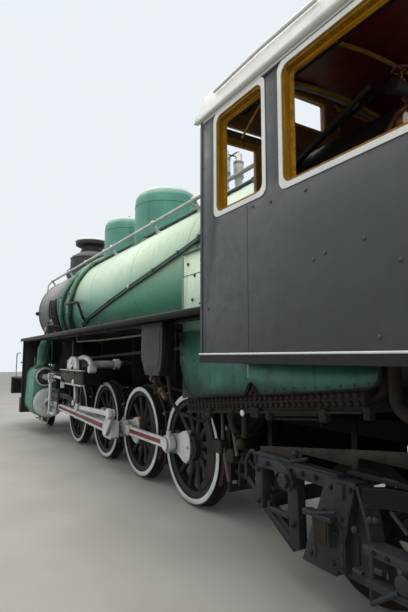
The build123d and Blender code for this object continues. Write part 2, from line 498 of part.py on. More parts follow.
# ================================================================= cab
ROOF_Y = CAB_Y + 28
ROOF_T = 34.0
with BuildPart() as cab_roof:
    # rounded eaves and a flatter crown
    with BuildSketch(Plane.YZ.offset(X(ROOF_D0))):
        with BuildLine() as outer:
            l1 = ThreePointArc((-ROOF_Y, CAB_EAVE), (-1235, RAIL + 3470), (-960, RAIL + 3660))
            l2 = ThreePointArc((-960, RAIL + 3660), (0, ROOF_TOP), (960, RAIL + 3660))
            l3 = ThreePointArc((960, RAIL + 3660), (1235, RAIL + 3470), (ROOF_Y, CAB_EAVE))
            Line((ROOF_Y, CAB_EAVE), (ROOF_Y - ROOF_T, CAB_EAVE))
            ThreePointArc((ROOF_Y - ROOF_T, CAB_EAVE), (1235 - 26, RAIL + 3470 - 22), (960 - 13, RAIL + 3660 - ROOF_T))
            ThreePointArc((960 - 13, RAIL + 3660 - ROOF_T), (0, ROOF_TOP - ROOF_T), (-960 + 13, RAIL + 3660 - ROOF_T))
            ThreePointArc((-960 + 13, RAIL + 3660 - ROOF_T), (-1235 + 26, RAIL + 3470 - 22), (-ROOF_Y + ROOF_T, CAB_EAVE))
            Line((-ROOF_Y + ROOF_T, CAB_EAVE), (-ROOF_Y, CAB_EAVE))
        make_face()
    extrude(amount=ROOF_D1 - ROOF_D0)
save(cab_roof, "cab_roof")

# window openings of the cab side: rear, front, bottom, top
SIDE_WINDOWS = ((-2160, -1660, 2450, 3130), (-3290, -2345, 2430, 3120))
for s, name in ((1, "cab_side_left"), (-1, "cab_side_right")):
    with BuildPart() as side:
        slab(X(CAB_D0), X(CAB_D1), s * (CAB_Y - CAB_T), s * CAB_Y, CAB_Z0, CAB_EAVE)
        for r0, f0, z0, z1 in SIDE_WINDOWS:
            with BuildSketch(Plane.XZ.offset(-min(s * (CAB_Y - CAB_T - 5), s * (CAB_Y + 5)))):
                with Locations(((X(r0) + X(f0)) / 2, RAIL + (z0 + z1) / 2)):
                    RectangleRounded(f0 - r0, z1 - z0, 55)
            extrude(amount=-(CAB_T + 10), mode=Mode.SUBTRACT)
        # dark strip and drop edge under the side sheet
        slab(X(CAB_D0), X(CAB_D1), s * (CAB_Y - CAB_T), s * (CAB_Y - 6), RAIL + 1432, CAB_Z0)
    save(side, name)

with BuildPart() as cab_front:
    x0, x1 = X(CAB_D1), X(CAB_D1) + 30
    with BuildSketch(Plane.YZ.offset(x0)):
        with BuildLine():
            Line((-CAB_Y, RAIL + 1432), (-CAB_Y, CAB_EAVE))
            Line((-CAB_Y, CAB_EAVE), (-CAB_Y + 10, CAB_EAVE))
            ThreePointArc((-CAB_Y + 10, CAB_EAVE), (-1202, RAIL + 3441), (-944, RAIL + 3620))
            ThreePointArc((-944, RAIL + 3620), (0, ROOF_TOP - ROOF_T - 4), (944, RAIL + 3620))
            ThreePointArc((944, RAIL + 3620), (1202, RAIL + 3441), (CAB_Y - 10, CAB_EAVE))
            Line((CAB_Y - 10, CAB_EAVE), (CAB_Y, CAB_EAVE))
            Line((CAB_Y, CAB_EAVE), (CAB_Y, RAIL + 1432))
            Line((CAB_Y, RAIL + 1432), (-CAB_Y, RAIL + 1432))
        make_face()
        # the boiler passes through
        with BuildLine():
            inner = math.sqrt((CROWN_R + 3) ** 2 - (LEDGE_IN_Z + 4 - BOILER_Z) ** 2)
            Polyline((-FIREBOX_HW - 3, RAIL + 1400), (-FIREBOX_HW - 3, LEDGE_Z + 3), (-inner, LEDGE_IN_Z + 4))
            ThreePointArc((-inner, LEDGE_IN_Z + 4), (0, BOILER_Z + CROWN_R + 3), (inner, LEDGE_IN_Z + 4))
            Polyline((inner, LEDGE_IN_Z + 4), (FIREBOX_HW + 3, LEDGE_Z + 3), (FIREBOX_HW + 3, RAIL + 1400))
            Line((FIREBOX_HW + 3, RAIL + 1400), (-FIREBOX_HW - 3, RAIL + 1400))
        make_face(mode=Mode.SUBTRACT)
        for s in (1, -1):
            with BuildLine():
                Polyline((s * 1005, RAIL + 2530), (s * 1200, RAIL + 2530), (s * 1200, RAIL + 3083), (s * 840, RAIL + 3083), (s * 840, RAIL + 2745), close=True)
            make_face(mode=Mode.SUBTRACT)
            # narrow air slot above, and a square opening near the crown
            with Locations((s * 925, RAIL + 3205)):
                Rectangle(450, 30, mode=Mode.SUBTRACT)
            with Locations((s * 268, RAIL + 3545)):
                RectangleRounded(336, 250, 12, mode=Mode.SUBTRACT)
    extrude(amount=30)
save(cab_front, "cab_front")

with BuildPart() as cab_floor:
    for s in (1, -1):
        slab(X(FIREBOX_D0) - 40, X(CAB_D1), s * (FIREBOX_HW + 4), s * (CAB_Y - CAB_T), RAIL + 1432, RAIL + 1482)
    slab(X(ROOF_D0 + 40), X(FIREBOX_D0) - 4, -(CAB_Y - CAB_T), CAB_Y - CAB_T, RAIL + 1432, RAIL + 1482)
    for y in (-382, 382):
        slab(X(ROOF_D0 + 40), X(FIREBOX_D0) - 4, y - 40, y + 40, RAIL + 1075, RAIL + 1440)
    slab(X(-3860), X(-3820), -CAB_Y, CAB_Y, RAIL + 1400, RAIL + 1482)
    for s in (1, -1):
        slab(X(-3860), X(CAB_D0), s * (CAB_Y - CAB_T), s * CAB_Y, RAIL + 1432, RAIL + 1482)
save(cab_floor, "cab_floor")

with BuildPart() as cab_posts:
    # corner posts that carry the roof over the entrance at the rear
    for s in (1, -1):
        slab(X(-3850), X(-3790), s * (CAB_Y - 60), s * CAB_Y, RAIL + 1482, CAB_EAVE)
        slab(X(-3850), X(CAB_D0), s * (CAB_Y - 35), s * CAB_Y, CAB_EAVE - 120, CAB_EAVE)
save(cab_posts, "cab_posts")

with BuildPart() as cab_seats:
    for s in (1, -1):
        slab(X(-3250), X(-2650), s * 960, s * 1270, RAIL + 1482, RAIL + 1930)
        slab(X(-3250), X(-2650), s * 950, s * 1270, RAIL + 1930, RAIL + 1990)
save(cab_seats, "cab_seats")

# ================================================================= valve motion carried by the frame
WRIST_D = {}
for s in (1, -1):
    a = math.radians(PIN_ANG[s])
    pd, pz = DRIVER_D[MAIN] + CRANK_R * math.cos(a), AXLE_Z + CRANK_R * math.sin(a)
    WRIST_D[s] = pd + math.sqrt(MAIN_ROD_L ** 2 - (CYL_Z - pz) ** 2)

GUIDE_Z0, GUIDE_Z1 = RAIL + 765, RAIL + 835
with BuildPart() as guide_bars:
    for s in (1, -1):
        slab(X(3360), X(CYL_D0 - 75), s * (CYL_Y - 35), s * (CYL_Y + 35), GUIDE_Z0, GUIDE_Z1)
save(guide_bars, "guide_bars")

with BuildPart() as motion_brackets:
    for s in (1, -1):
        slab(X(3360), X(3400), s * FRAME_Y1, s * 1065, RAIL + 980, RAIL + 1270)
        slab(X(3360), X(3400), s * (CYL_Y - 70), s * (CYL_Y + 70), GUIDE_Z1, RAIL + 985)
        slab(X(3350), X(3410), s * 900, s * 960, RAIL + 1050, RAIL + 1165, mode=Mode.SUBTRACT)
        slab(X(3330), X(3430), s * 395, s * FRAME_Y1, TOP1, RAIL + 1270)
        slab(X(2250), X(2285), s * 745, s * 1065, RAIL + 1075, RAIL + 1270)
        plate_xz([(X(2250), RAIL + 1070), (X(2250), RAIL + 1270), (X(3400), RAIL + 1270), (X(3385), RAIL + 1180), (X(3080), RAIL + 1070)], s * 1040, s * 1065)
        slab(X(2250), X(3400), s * 1020, s * 1085, RAIL + 1262, RAIL + 1280)
        slab(X(2250), X(3080), s * 1020, s * 1085, RAIL + 1060, RAIL + 1078)
        slab(X(2250), X(3400), s * 745, s * 765, RAIL + 1180, RAIL + 1270)
save(motion_brackets, "motion_brackets")

SHAFT_D, SHAFT_Z = 2765.0, RAIL + 1375.0
with BuildPart() as reversing_shaft:
    round_y(X(SHAFT_D), SHAFT_Z, 38, -1060, 1060)
    for s in (1, -1):
        # bearing on the bracket, and the lifting arm
        plate_xz([(X(SHAFT_D) - 70, RAIL + 1280), (X(SHAFT_D) + 70, RAIL + 1280), (X(SHAFT_D) + 50, SHAFT_Z + 60), (X(SHAFT_D) - 50, SHAFT_Z + 60)], s * 1022, s * 1062)
        plate_xz([(X(SHAFT_D) - 30, SHAFT_Z - 30), (X(SHAFT_D) - 30, SHAFT_Z + 40), (X(SHAFT_D) + 120, SHAFT_Z + 75), (X(SHAFT_D) + 270, SHAFT_Z - 20),
                  (X(SHAFT_D) + 290, RAIL + 1290), (X(SHAFT_D) + 235, RAIL + 1290), (X(SHAFT_D) + 200, SHAFT_Z - 30), (X(SHAFT_D) + 110, SHAFT_Z + 10)],
                 s * 900, s * 935)
save(reversing_shaft, "reversing_shaft")

ECC_D, ECC_Z = 1360.0, RAIL + 775.0      # eccentric pin of the return crank, left side at rest
LINK_D = 2640.0
for s, name in ((1, "valve_gear_left"), (-1, "valve_gear_right")):
    with BuildPart() as gear:
        ex, ez = (X(ECC_D), ECC_Z) if s > 0 else (X(1295 + 225), RAIL + 485)
        lx, lz = X(LINK_D), RAIL + 740
        ang = math.degrees(math.atan2(lz - ez, lx - ex))
        ln = math.hypot(lx - ex, lz - ez)
        # eccentric rod, just outside the return crank
        plate_xz(turn2([(0, -30), (ln, -26), (ln, 26), (0, 30)], ang, ex, ez), s * 962, s * 998)
        round_y(ex, ez, 66, s * 960, s * 1005)
        round_y(lx, lz, 44, s * 955, s * 1012)
        # curved expansion link under its bracket
        plate_xz([(lx - 35, lz - 40), (lx + 45, lz - 40), (lx + 62, RAIL + 900), (lx + 45, RAIL + 1085), (lx - 35, RAIL + 1085), (lx - 22, RAIL + 900)],
                 s * 962, s * 1000)
        slab(lx - 60, lx + 70, s * 962, s * 1040, RAIL + 1080, RAIL + 1115)
        # radius rod, from the link to the combination lever
        plate_xz([(X(2600), RAIL + 1060), (X(4470), RAIL + 1110), (X(4470), RAIL + 1150), (X(2600), RAIL + 1112)], s * 915, s * 945)
        round_y(X(2640), RAIL + 1085, 42, s * 910, s * 1000)
        strut((X(SHAFT_D + 262), s * 918, RAIL + 1289), (X(SHAFT_D + 262), s * 918, RAIL + 1100), 16)
        # combination lever, valve spindle and union link
        bx, tx = X(WRIST_D[s] + 125), X(4475)
        la = math.degrees(math.atan2(650, tx - bx))
        ll = math.hypot(650, tx - bx)
        plate_xz(turn2([(-40, -28), (0, -34), (ll, -42), (ll + 55, -34), (ll + 55, 34), (ll, 42), (0, 34), (-40, 28)], la, bx, RAIL + 480), s * 962, s * 992)
        round_y(tx, RAIL + 1130, 44, s * 905, s * 996)
        round_y(bx, RAIL + 480, 36, s * 955, s * 998)
        round_x(X(4470), X(CYL_D0 - 200), s * VALVE_Y, VALVE_Z, 22)
        slab(X(4440), X(4600), s * 905, s * 960, VALVE_Z - 40, VALVE_Z + 70)
        slab(bx - 275, bx, s * 958, s * 984, RAIL + 462, RAIL + 498)
        round_y(bx - 275, RAIL + 480, 32, s * 955, s * 990)
    save(gear, name)

# ================================================================= driving wheels
def driver_profile():
    r = DRIVER_R
    return [(425, WHEEL_IN + 8), (470, WHEEL_IN), (r + FLANGE_H - 8, WHEEL_IN), (r + FLANGE_H, WHEEL_IN + 10), (r + FLANGE_H - 6, WHEEL_IN + 26),
            (r + 4, WHEEL_IN + 36), (r - 2, WHEEL_OUT - 10), (r - 10, WHEEL_OUT), (480, WHEEL_OUT), (478, WHEEL_OUT - 14), (425, WHEEL_OUT - 18)]


for n, d in DRIVER_D.items():
    with BuildPart() as wheelset:
        xc = X(d)
        round_y(xc, AXLE_Z, AXLE_R, -WHEEL_OUT, WHEEL_OUT)
        for s in (1, -1):
            turned_y(xc, AXLE_Z, [(r, s * y) for r, y in driver_profile()])
            round_y(xc, AXLE_Z, 128, s * (WHEEL_IN - 8), s * (WHEEL_OUT + 12))
            for k in range(12):
                plate_xz(turn2([(110, -36), (430, -26), (430, 26), (110, 36)], PIN_ANG[s] + 15 + 30 * k, xc, AXLE_Z), s * (WHEEL_IN + 22), s * (WHEEL_OUT - 40))
            # counterweight, a crescent opposite the pin
            a = math.radians(PIN_ANG[s])
            with BuildSketch(Plane(origin=(xc, s * (WHEEL_IN + 12) if s > 0 else -(WHEEL_OUT - 8), AXLE_Z), x_dir=(1, 0, 0), z_dir=(0, -1, 0))):
                Circle(430)
                with Locations((150 * math.cos(a), 150 * math.sin(a))):
                    Circle(425, mode=Mode.SUBTRACT)
            extrude(amount=-(WHEEL_OUT - WHEEL_IN - 20))
            # crank boss and pin
            px, pz = xc + CRANK_R * math.cos(a), AXLE_Z + CRANK_R * math.sin(a)
            plate_xz(turn2([(0, -120), (CRANK_R, -100), (CRANK_R, 100), (0, 120)], PIN_ANG[s], xc, AXLE_Z), s * (WHEEL_IN + 20), s * (WHEEL_OUT + 20))
            round_y(px, pz, 102, s * (WHEEL_IN + 20), s * (WHEEL_OUT + 32))
            round_y(px, pz, 50, s * WHEEL_OUT, s * 740)
            if n != MAIN:
                round_y(px, pz, 66, s * 735.5, s * 740)
    save(wheelset, "wheelset_%d" % n)

# side rods: one rigid bar on the four crank pins of a side, with an eye on each pin
for s, name in ((1, "side_rod_left"), (-1, "side_rod_right")):
    with BuildPart() as rod:
        a = math.radians(PIN_ANG[s])
        ox, oz = CRANK_R * math.cos(a), AXLE_Z + CRANK_R * math.sin(a)
        slab(X(DRIVER_D[4]) + ox, X(DRIVER_D[1]) + ox, s * 668, s * 712, oz - 55, oz + 55)
        for n, d in DRIVER_D.items():
            round_y(X(d) + ox, oz, 108 if n == MAIN else 96, s * 645, s * 735)
        # knuckle swellings between the eyes
        for d in (DRIVER_D[3] + 190, DRIVER_D[3] - 190, DRIVER_D[2] + 190):
            round_y(X(d) + ox, oz, 66, s * 655, s * 725)
        for n, d in DRIVER_D.items():
            round_y(X(d) + ox, oz, 50 + CLEAR, s * 640, s * 740, mode=Mode.SUBTRACT)
    save(rod, name)

# ================================================================= main rods and crossheads

for s, name in ((1, "main_rod_left"), (-1, "main_rod_right")):
    with BuildPart() as rod:
        a = math.radians(PIN_ANG[s])
        px, pz = X(DRIVER_D[MAIN]) + CRANK_R * math.cos(a), AXLE_Z + CRANK_R * math.sin(a)
        wx, wz = X(WRIST_D[s]), CYL_Z
        ang = math.degrees(math.atan2(wz - pz, wx - px))
        L = MAIN_ROD_L
        plate_xz(turn2([(90, -68), (L - 60, -44), (L - 60, 44), (90, 68)], ang, px, pz), s * 822, s * 878)
        plate_xz(turn2([(-118, -118), (150, -118), (150, 118), (-118, 118)], ang, px, pz), s * 792, s * 908)
        round_y(wx, wz, 76, s * 820, s * 880)
        # the crank pin's outer journal and the return crank stay with this rod
        round_y(px, pz, 58, s * 745, s * 915)
        if s > 0:
            ex, ez = X(ECC_D), ECC_Z
        else:
            ex, ez = X(1295 + 225), RAIL + 485
        ra = math.degrees(math.atan2(ez - pz, ex - px))
        rl = math.hypot(ex - px, ez - pz)
        plate_xz(turn2([(0, -72), (rl, -48), (rl, 48), (0, 72)], ra, px, pz), s * 914, s * 954)
        round_y(px, pz, 80, s * 914, s * 954)
        round_y(ex, ez, 54, s * 914, s * 954)
        round_y(wx, wz, 40 + CLEAR, s * 810, s * 890, mode=Mode.SUBTRACT)
    save(rod, name)

for s, name in ((1, "crosshead_left"), (-1, "crosshead_right")):
    with BuildPart() as head:
        wx = X(WRIST_D[s])
        for y0, y1 in ((785, 809), (891, 915)):
            plate_xz([(wx - 190, RAIL + 720), (wx - 190, RAIL + 878), (wx + 190, RAIL + 878), (wx + 190, RAIL + 560), (wx + 110, RAIL + 500),
                      (wx - 80, RAIL + 500), (wx - 110, RAIL + 620)], s * y0, s * y1)
        slab(wx - 190, wx + 190, s * 785, s * 915, GUIDE_Z1 + 6, RAIL + 878)
        slab(wx - 190, wx + 190, s * 785, s * 915, RAIL + 724, GUIDE_Z0 - 6)
        slab(wx + 100, wx + 190, s * 785, s * 915, RAIL + 540, GUIDE_Z0 - 6)
        round_x(wx + 150, wx + 250, s * CYL_Y, CYL_Z, 62)
        round_y(wx, CYL_Z, 40, s * 785, s * 925)
        # drop arm of the union link
        plate_xz([(wx - 60, RAIL + 560), (wx + 40, RAIL + 560), (wx - 110, RAIL + 450), (wx - 190, RAIL + 450)], s * 915, s * 945)
        round_x(wx + 200, wx + 1370, s * CYL_Y, CYL_Z, PISTON_ROD_R)
    save(head, name)

# ================================================================= leading truck
PONY_Z = RAIL + PONY_R
with BuildPart() as pony_wheelset:
    xc = X(PONY_D)
    round_y(xc, PONY_Z, 65, -WHEEL_OUT, WHEEL_OUT)
    for s in (1, -1):
        r = PONY_R
        turned_y(xc, PONY_Z, [(q, s * y) for q, y in
                 [(60, WHEEL_IN - 5), (100, WHEEL_IN - 5), (110, WHEEL_IN + 35), (r - 62, WHEEL_IN + 35), (r - 55, WHEEL_IN), (r + 20, WHEEL_IN),
                  (r + 28, WHEEL_IN + 10), (r + 22, WHEEL_IN + 26), (r + 4, WHEEL_IN + 36), (r - 2, WHEEL_OUT - 8), (r - 8, WHEEL_OUT),
                  (r - 55, WHEEL_OUT), (r - 62, WHEEL_OUT - 45), (110, WHEEL_OUT - 45), (100, WHEEL_OUT + 12), (60, WHEEL_OUT + 12)]])
save(pony_wheelset, "pony_wheelset")

with BuildPart() as pony_truck:
    for s in (1, -1):
        slab(X(PONY_D) - 260, X(PONY_D) + 300, s * 330, s * 425, RAIL + 430, RAIL + 540)
        slab(X(PONY_D) - 110, X(PONY_D) + 110, s * 325, s * 435, PONY_Z - 110, RAIL + 545)
        plate_xy([(X(PONY_D) - 262, s * 425), (X(PONY_D) - 150, s * 425), (X(PONY_D) - 150, s * 330), (X(PONY_PIVOT_D) + 60, s * 0), (X(PONY_PIVOT_D) + 60, s * 90)],
                 RAIL + 450, RAIL + 530)
    slab(X(PONY_D) + 240, X(PONY_D) + 300, -425, 425, RAIL + 430, RAIL + 540)
    slab(X(PONY_D) - 70, X(PONY_D) + 70, -430, 430, RAIL + 500, RAIL + 590)
    round_z(X(PONY_D), 0, 150, RAIL + 560, RAIL + 700)
    round_z(X(PONY_PIVOT_D), 0, 110, RAIL + 440, RAIL + 545)
    round_z(X(PONY_PIVOT_D), 0, 40 + CLEAR, RAIL + 400, RAIL + 560, mode=Mode.SUBTRACT)
    for s in (1, -1):
        round_y(X(PONY_D), PONY_Z, 65 + CLEAR, s * 320, s * 440, mode=Mode.SUBTRACT)
save(pony_truck, "pony_truck_frame")

# ================================================================= trailing truck
TRAIL_Z = RAIL + TRAIL_R
with BuildPart() as trailing_wheelset:
    xc = X(TRAIL_D)
    round_y(xc, TRAIL_Z, 75, -WHEEL_OUT, WHEEL_OUT)
    round_y(xc, TRAIL_Z, 60, -950, 950)
    for s in (1, -1):
        r = TRAIL_R
        turned_y(xc, TRAIL_Z, [(q, s * y) for q, y in
                 [(r - 110, WHEEL_IN + 10), (r - 75, WHEEL_IN), (r + 20, WHEEL_IN), (r + 28, WHEEL_IN + 10), (r + 22, WHEEL_IN + 26), (r + 4, WHEEL_IN + 36),
                  (r - 2, WHEEL_OUT - 8), (r - 8, WHEEL_OUT), (r - 72, WHEEL_OUT), (r - 75, WHEEL_OUT - 14), (r - 110, WHEEL_OUT - 18)]])
        round_y(xc, TRAIL_Z, 115, s * (WHEEL_IN - 8), s * (WHEEL_OUT + 10))
        for k in range(10):
            plate_xz(turn2([(100, -28), (r - 105, -22), (r - 105, 22), (100, 28)], 36 * k, xc, TRAIL_Z), s * (WHEEL_IN + 25), s * (WHEEL_OUT - 40))
save(trailing_wheelset, "trailing_wheelset")

with BuildPart() as trailing_truck:
    # outside frame: beam, hanger post, brace, then the inclined pedestal with its axlebox and lid, and the two lower bars behind it
    beam = ((-1565, 722), (-1565, 790), (-1605, 808), (-2330, 798), (-2330, 722))
    post = ((-1990, 292), (-1900, 292), (-1882, 724), (-1975, 724))
    brace = ((-1492, 545), (-1440, 505), (-1880, 236), (-1960, 296), (-1900, 340), (-1545, 545))
    upper_plate = ((-2474, 800), (-2262, 786), (-2172, 555), (-2407, 555))
    lower_plate = ((-2407, 556), (-2150, 556), (-2040, 265), (-2306, 265))
    web = ((-2308, 267), (-2404, 556), (-2470, 796), (-2496, 790), (-2556, 615), (-2574, 456), (-2566, 262))
    rear_jaw = ((-2484, 792), (-2512, 709), (-2544, 619), (-2562, 456), (-2553, 262), (-2575, 262), (-2584, 456), (-2566, 619), (-2534, 709), (-2506, 792))
    for s in (1, -1):
        for outline, y0, y1 in ((beam, 893, 955), (post, 880, 945), (brace, 850, 900), (upper_plate, 893, 985), (lower_plate, 893, 970),
                                (web, 893, 918), (rear_jaw, 893, 1000)):
            plate_xz([(X(d), RAIL + z) for d, z in outline], s * y0, s * y1)
        round_y(X(-1928), RAIL + 700, 52, s * 880, s * 985)
        slab(X(-1640), X(-1565), s * 850, s * 955, RAIL + 450, RAIL + 735)
        # ledge over the lid, the lid, and a small boss plate
        slab(X(-2342), X(-2118), s * 965, s * 1035, RAIL + 566, RAIL + 586)
        slab(X(-2305), X(-2180), s * 965, s * 1020, RAIL + 420, RAIL + 568)
        slab(X(-2398), X(-2335), s * 980, s * 1003, RAIL + 700, RAIL + 775)
        slab(X(TRAIL_D) - 125, X(TRAIL_D) + 125, s * 870, s * 968, TRAIL_Z - 130, TRAIL_Z + 140)
        plate_xy([(X(-1560), s * 885), (X(-1460), s * 885), (X(TRAIL_PIVOT_D) - 60, s * 90), (X(TRAIL_PIVOT_D) - 60, s * 0), (X(-1640), s * 740), (X(-1640), s * 885)],
                 RAIL + 450, RAIL + 530)
        slab(X(-2990), X(-2560), s * 930, s * 1040, RAIL + 490, RAIL + 535)
        slab(X(-2960), X(-2560), s * 940, s * 1030, RAIL + 330, RAIL + 366)
        slab(X(-2820), X(-2765), s * 960, s * 1020, RAIL + 366, RAIL + 490)
        round_y(X(-2792), RAIL + 428, 30, s * 950, s * 1040)
        slab(X(-2990), X(-2940), s * 930, s * 1040, RAIL + 330, RAIL + 535)
    slab(X(-1660), X(-1580), -885, 885, RAIL + 450, RAIL + 530)
    slab(X(-2990), X(-2910), -945, 945, RAIL + 455, RAIL + 535)
    round_z(X(TRAIL_PIVOT_D), 0, 110, RAIL + 440, RAIL + 545)
    round_z(X(TRAIL_PIVOT_D), 0, 40 + CLEAR, RAIL + 400, RAIL + 560, mode=Mode.SUBTRACT)
    for s in (1, -1):
        round_y(X(TRAIL_D), TRAIL_Z, 60 + CLEAR, s * 840, s * 952, mode=Mode.SUBTRACT)
save(trailing_truck, "trailing_truck_frame")

LEAF_D, LEAF_Z, LEAF_T, LEAF_PITCH = -2900.0, RAIL + 790.0, 10.0, 11.5
with BuildPart() as trailing_springs:
    # arched leaf stack behind each pedestal, held by one buckle
    for s in (1, -1):
        for k in range(8):
            half, z = 345 - 2 * k, LEAF_Z - LEAF_PITCH * k
            top = [(X(LEAF_D) + u * half, z + LEAF_T + rise) for u, rise in ((1, 0), (0.62, 28), (0.3, 42), (0, 46), (-0.3, 42), (-0.62, 28), (-1, 0))]
            plate_xz(top + [(x, h - LEAF_T) for x, h in reversed(top)], s * 955, s * 1035)
        slab(X(LEAF_D) - 45, X(LEAF_D) + 45, s * 950, s * 1045, RAIL + 535, RAIL + 872)
        slab(X(LEAF_D) + 40, X(-2460), s * 965, s * 1025, RAIL + 854, RAIL + 870)
save(trailing_springs, "trailing_springs")
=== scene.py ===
# Looks of the metre-gauge 2-8-2 steam locomotive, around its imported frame.
# +X forward, +Y left, +Z up, metres.  D() takes millimetres ahead of the rear driving
# axle, H() millimetres above the rail.
import bpy, bmesh, math
from mathutils import Vector, Matrix, noise as mnoise


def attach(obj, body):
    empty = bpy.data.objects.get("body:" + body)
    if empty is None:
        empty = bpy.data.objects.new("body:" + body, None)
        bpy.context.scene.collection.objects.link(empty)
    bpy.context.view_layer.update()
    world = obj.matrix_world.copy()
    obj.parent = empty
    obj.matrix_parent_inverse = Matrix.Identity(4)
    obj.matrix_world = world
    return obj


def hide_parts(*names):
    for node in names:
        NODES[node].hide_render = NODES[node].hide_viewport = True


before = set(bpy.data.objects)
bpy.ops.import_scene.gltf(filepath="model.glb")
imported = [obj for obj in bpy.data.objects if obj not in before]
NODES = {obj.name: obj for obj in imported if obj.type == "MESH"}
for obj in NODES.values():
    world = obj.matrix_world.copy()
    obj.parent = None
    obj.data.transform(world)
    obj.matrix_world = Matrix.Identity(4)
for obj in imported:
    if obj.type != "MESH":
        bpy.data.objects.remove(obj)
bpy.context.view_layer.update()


def D(d):
    return d / 1000.0 - 1.765


def H(h):
    return (h + 28.0) / 1000.0


# =============================================================== mesh shapes
def cbox(x0, x1, y0, y1, z0, z1, c=0.004):
    lo = (min(x0, x1), min(y0, y1), min(z0, z1))
    hi = (max(x0, x1), max(y0, y1), max(z0, z1))
    h = [(hi[i] - lo[i]) / 2 for i in range(3)]
    m = [(hi[i] + lo[i]) / 2 for i in range(3)]
    c = min(c, 0.4 * min(h))
    v, idx, f = [], {}, []
    S = (-1, 1)
    for sx in S:
        for sy in S:
            for sz in S:
                for ax in range(3):
                    s = (sx, sy, sz)
                    idx[s + (ax,)] = len(v)
                    v.append(tuple(m[i] + s[i] * (h[i] if i == ax else h[i] - c) for i in range(3)))
    for ax in range(3):
        i, j = [k for k in range(3) if k != ax]
        for s in S:
            q = []
            for a, b in ((-1, -1), (1, -1), (1, 1), (-1, 1)):
                k = [0, 0, 0]
                k[ax], k[i], k[j] = s, a, b
                q.append(idx[tuple(k) + (ax,)])
            f.append(q)
        for si in S:
            for sj in S:
                k0, k1 = [0, 0, 0], [0, 0, 0]
                k0[ax], k1[ax] = -1, 1
                k0[i] = k1[i] = si
                k0[j] = k1[j] = sj
                k0, k1 = tuple(k0), tuple(k1)
                f.append([idx[k0 + (i,)], idx[k1 + (i,)], idx[k1 + (j,)], idx[k0 + (j,)]])
    for sx in S:
        for sy in S:
            for sz in S:
                f.append([idx[(sx, sy, sz, a)] for a in range(3)])
    return v, f


def lathe(o, d, prof, n=32, closed=False, turn=0.0):
    """prof is (radius, distance along d) from the point o."""
    o, w = Vector(o), Vector(d).normalized()
    ref = Vector((0, 0, 1)) if abs(w.z) < 0.9 else Vector((1, 0, 0))
    u = ref.cross(w).normalized()
    t = w.cross(u)
    v, rings, f = [], [], []
    for r, a in prof:
        if r < 1e-6:
            rings.append([len(v)])
            v.append(tuple(o + w * a))
        else:
            rings.append(list(range(len(v), len(v) + n)))
            for k in range(n):
                g = 2 * math.pi * k / n + turn
                v.append(tuple(o + w * a + u * (r * math.cos(g)) + t * (r * math.sin(g))))
    pairs = list(zip(rings, rings[1:]))
    if closed:
        pairs.append((rings[-1], rings[0]))
    for a, b in pairs:
        if len(a) == 1 and len(b) == 1:
            continue
        for k in range(n):
            k2 = (k + 1) % n
            if len(a) == 1:
                f.append([a[0], b[k], b[k2]])
            elif len(b) == 1:
                f.append([a[k], b[0], a[k2]])
            else:
                f.append([a[k], b[k], b[k2], a[k2]])
    return v, f


def cyl(p0, p1, r0, r1=None, n=20, c=0.0):
    p0, p1 = Vector(p0), Vector(p1)
    r1 = r0 if r1 is None else r1
    L = (p1 - p0).length
    if c:
        prof = [(0, 0), (r0 - c, 0), (r0, c), (r1, L - c), (r1 - c, L), (0, L)]
    else:
        prof = [(0, 0), (r0, 0), (r1, L), (0, L)]
    return lathe(p0, p1 - p0, prof, n)


def rounded(pts, bend):
    P = [Vector(p) for p in pts]
    out = [P[0]]
    for i in range(1, len(P) - 1):
        a, b = P[i - 1] - P[i], P[i + 1] - P[i]
        la, lb = a.length, b.length
        a.normalize()
        b.normalize()
        turn = math.pi - a.angle(b)
        if turn < 0.02:
            out.append(P[i])
            continue
        t = min(bend * math.tan(turn / 2), 0.48 * la, 0.48 * lb)
        r = t / math.tan(turn / 2)
        c = P[i] + (a + b).normalized() * (r / math.cos(turn / 2))
        va, vb = P[i] + a * t - c, P[i] + b * t - c
        n = max(2, int(turn / 0.3) + 1)
        for k in range(n + 1):
            out.append(c + va.normalized().slerp(vb.normalized(), k / n) * va.length)
    out.append(P[-1])
    return out


def pipe(pts, r, n=10, bend=0.06, caps=True):
    P = rounded(pts, bend)
    v, f = [], []
    w = (P[1] - P[0]).normalized()
    ref = Vector((0, 0, 1)) if abs(w.z) < 0.9 else Vector((1, 0, 0))
    u = (ref - w * ref.dot(w)).normalized()
    for i, p in enumerate(P):
        if i == 0:
            w = (P[1] - P[0]).normalized()
        elif i == len(P) - 1:
            w = (P[-1] - P[-2]).normalized()
        else:
            w = ((P[i + 1] - p).normalized() + (p - P[i - 1]).normalized()).normalized()
        u = (u - w * u.dot(w)).normalized()
        t = w.cross(u)
        for k in range(n):
            g = 2 * math.pi * k / n
            v.append(tuple(p + u * (r * math.cos(g)) + t * (r * math.sin(g))))
    for i in range(len(P) - 1):
        for k in range(n):
            k2 = (k + 1) % n
            f.append([i * n + k, (i + 1) * n + k, (i + 1) * n + k2, i * n + k2])
    if caps:
        f.append(list(range(n)))
        f.append(list(range((len(P) - 1) * n, len(P) * n)))
    return v, f


def inset(poly, c):
    n = len(poly)
    out = []
    for i in range(n):
        a, b, d = Vector(poly[i - 1]), Vector(poly[i]), Vector(poly[(i + 1) % n])
        e0, e1 = (b - a).normalized(), (d - b).normalized()
        n0, n1 = Vector((-e0.y, e0.x)), Vector((-e1.y, e1.x))
        m = n0 + n1
        k = max(0.35, 1 + n0.dot(n1))
        out.append(tuple(b + m * (c / k)))
    return out


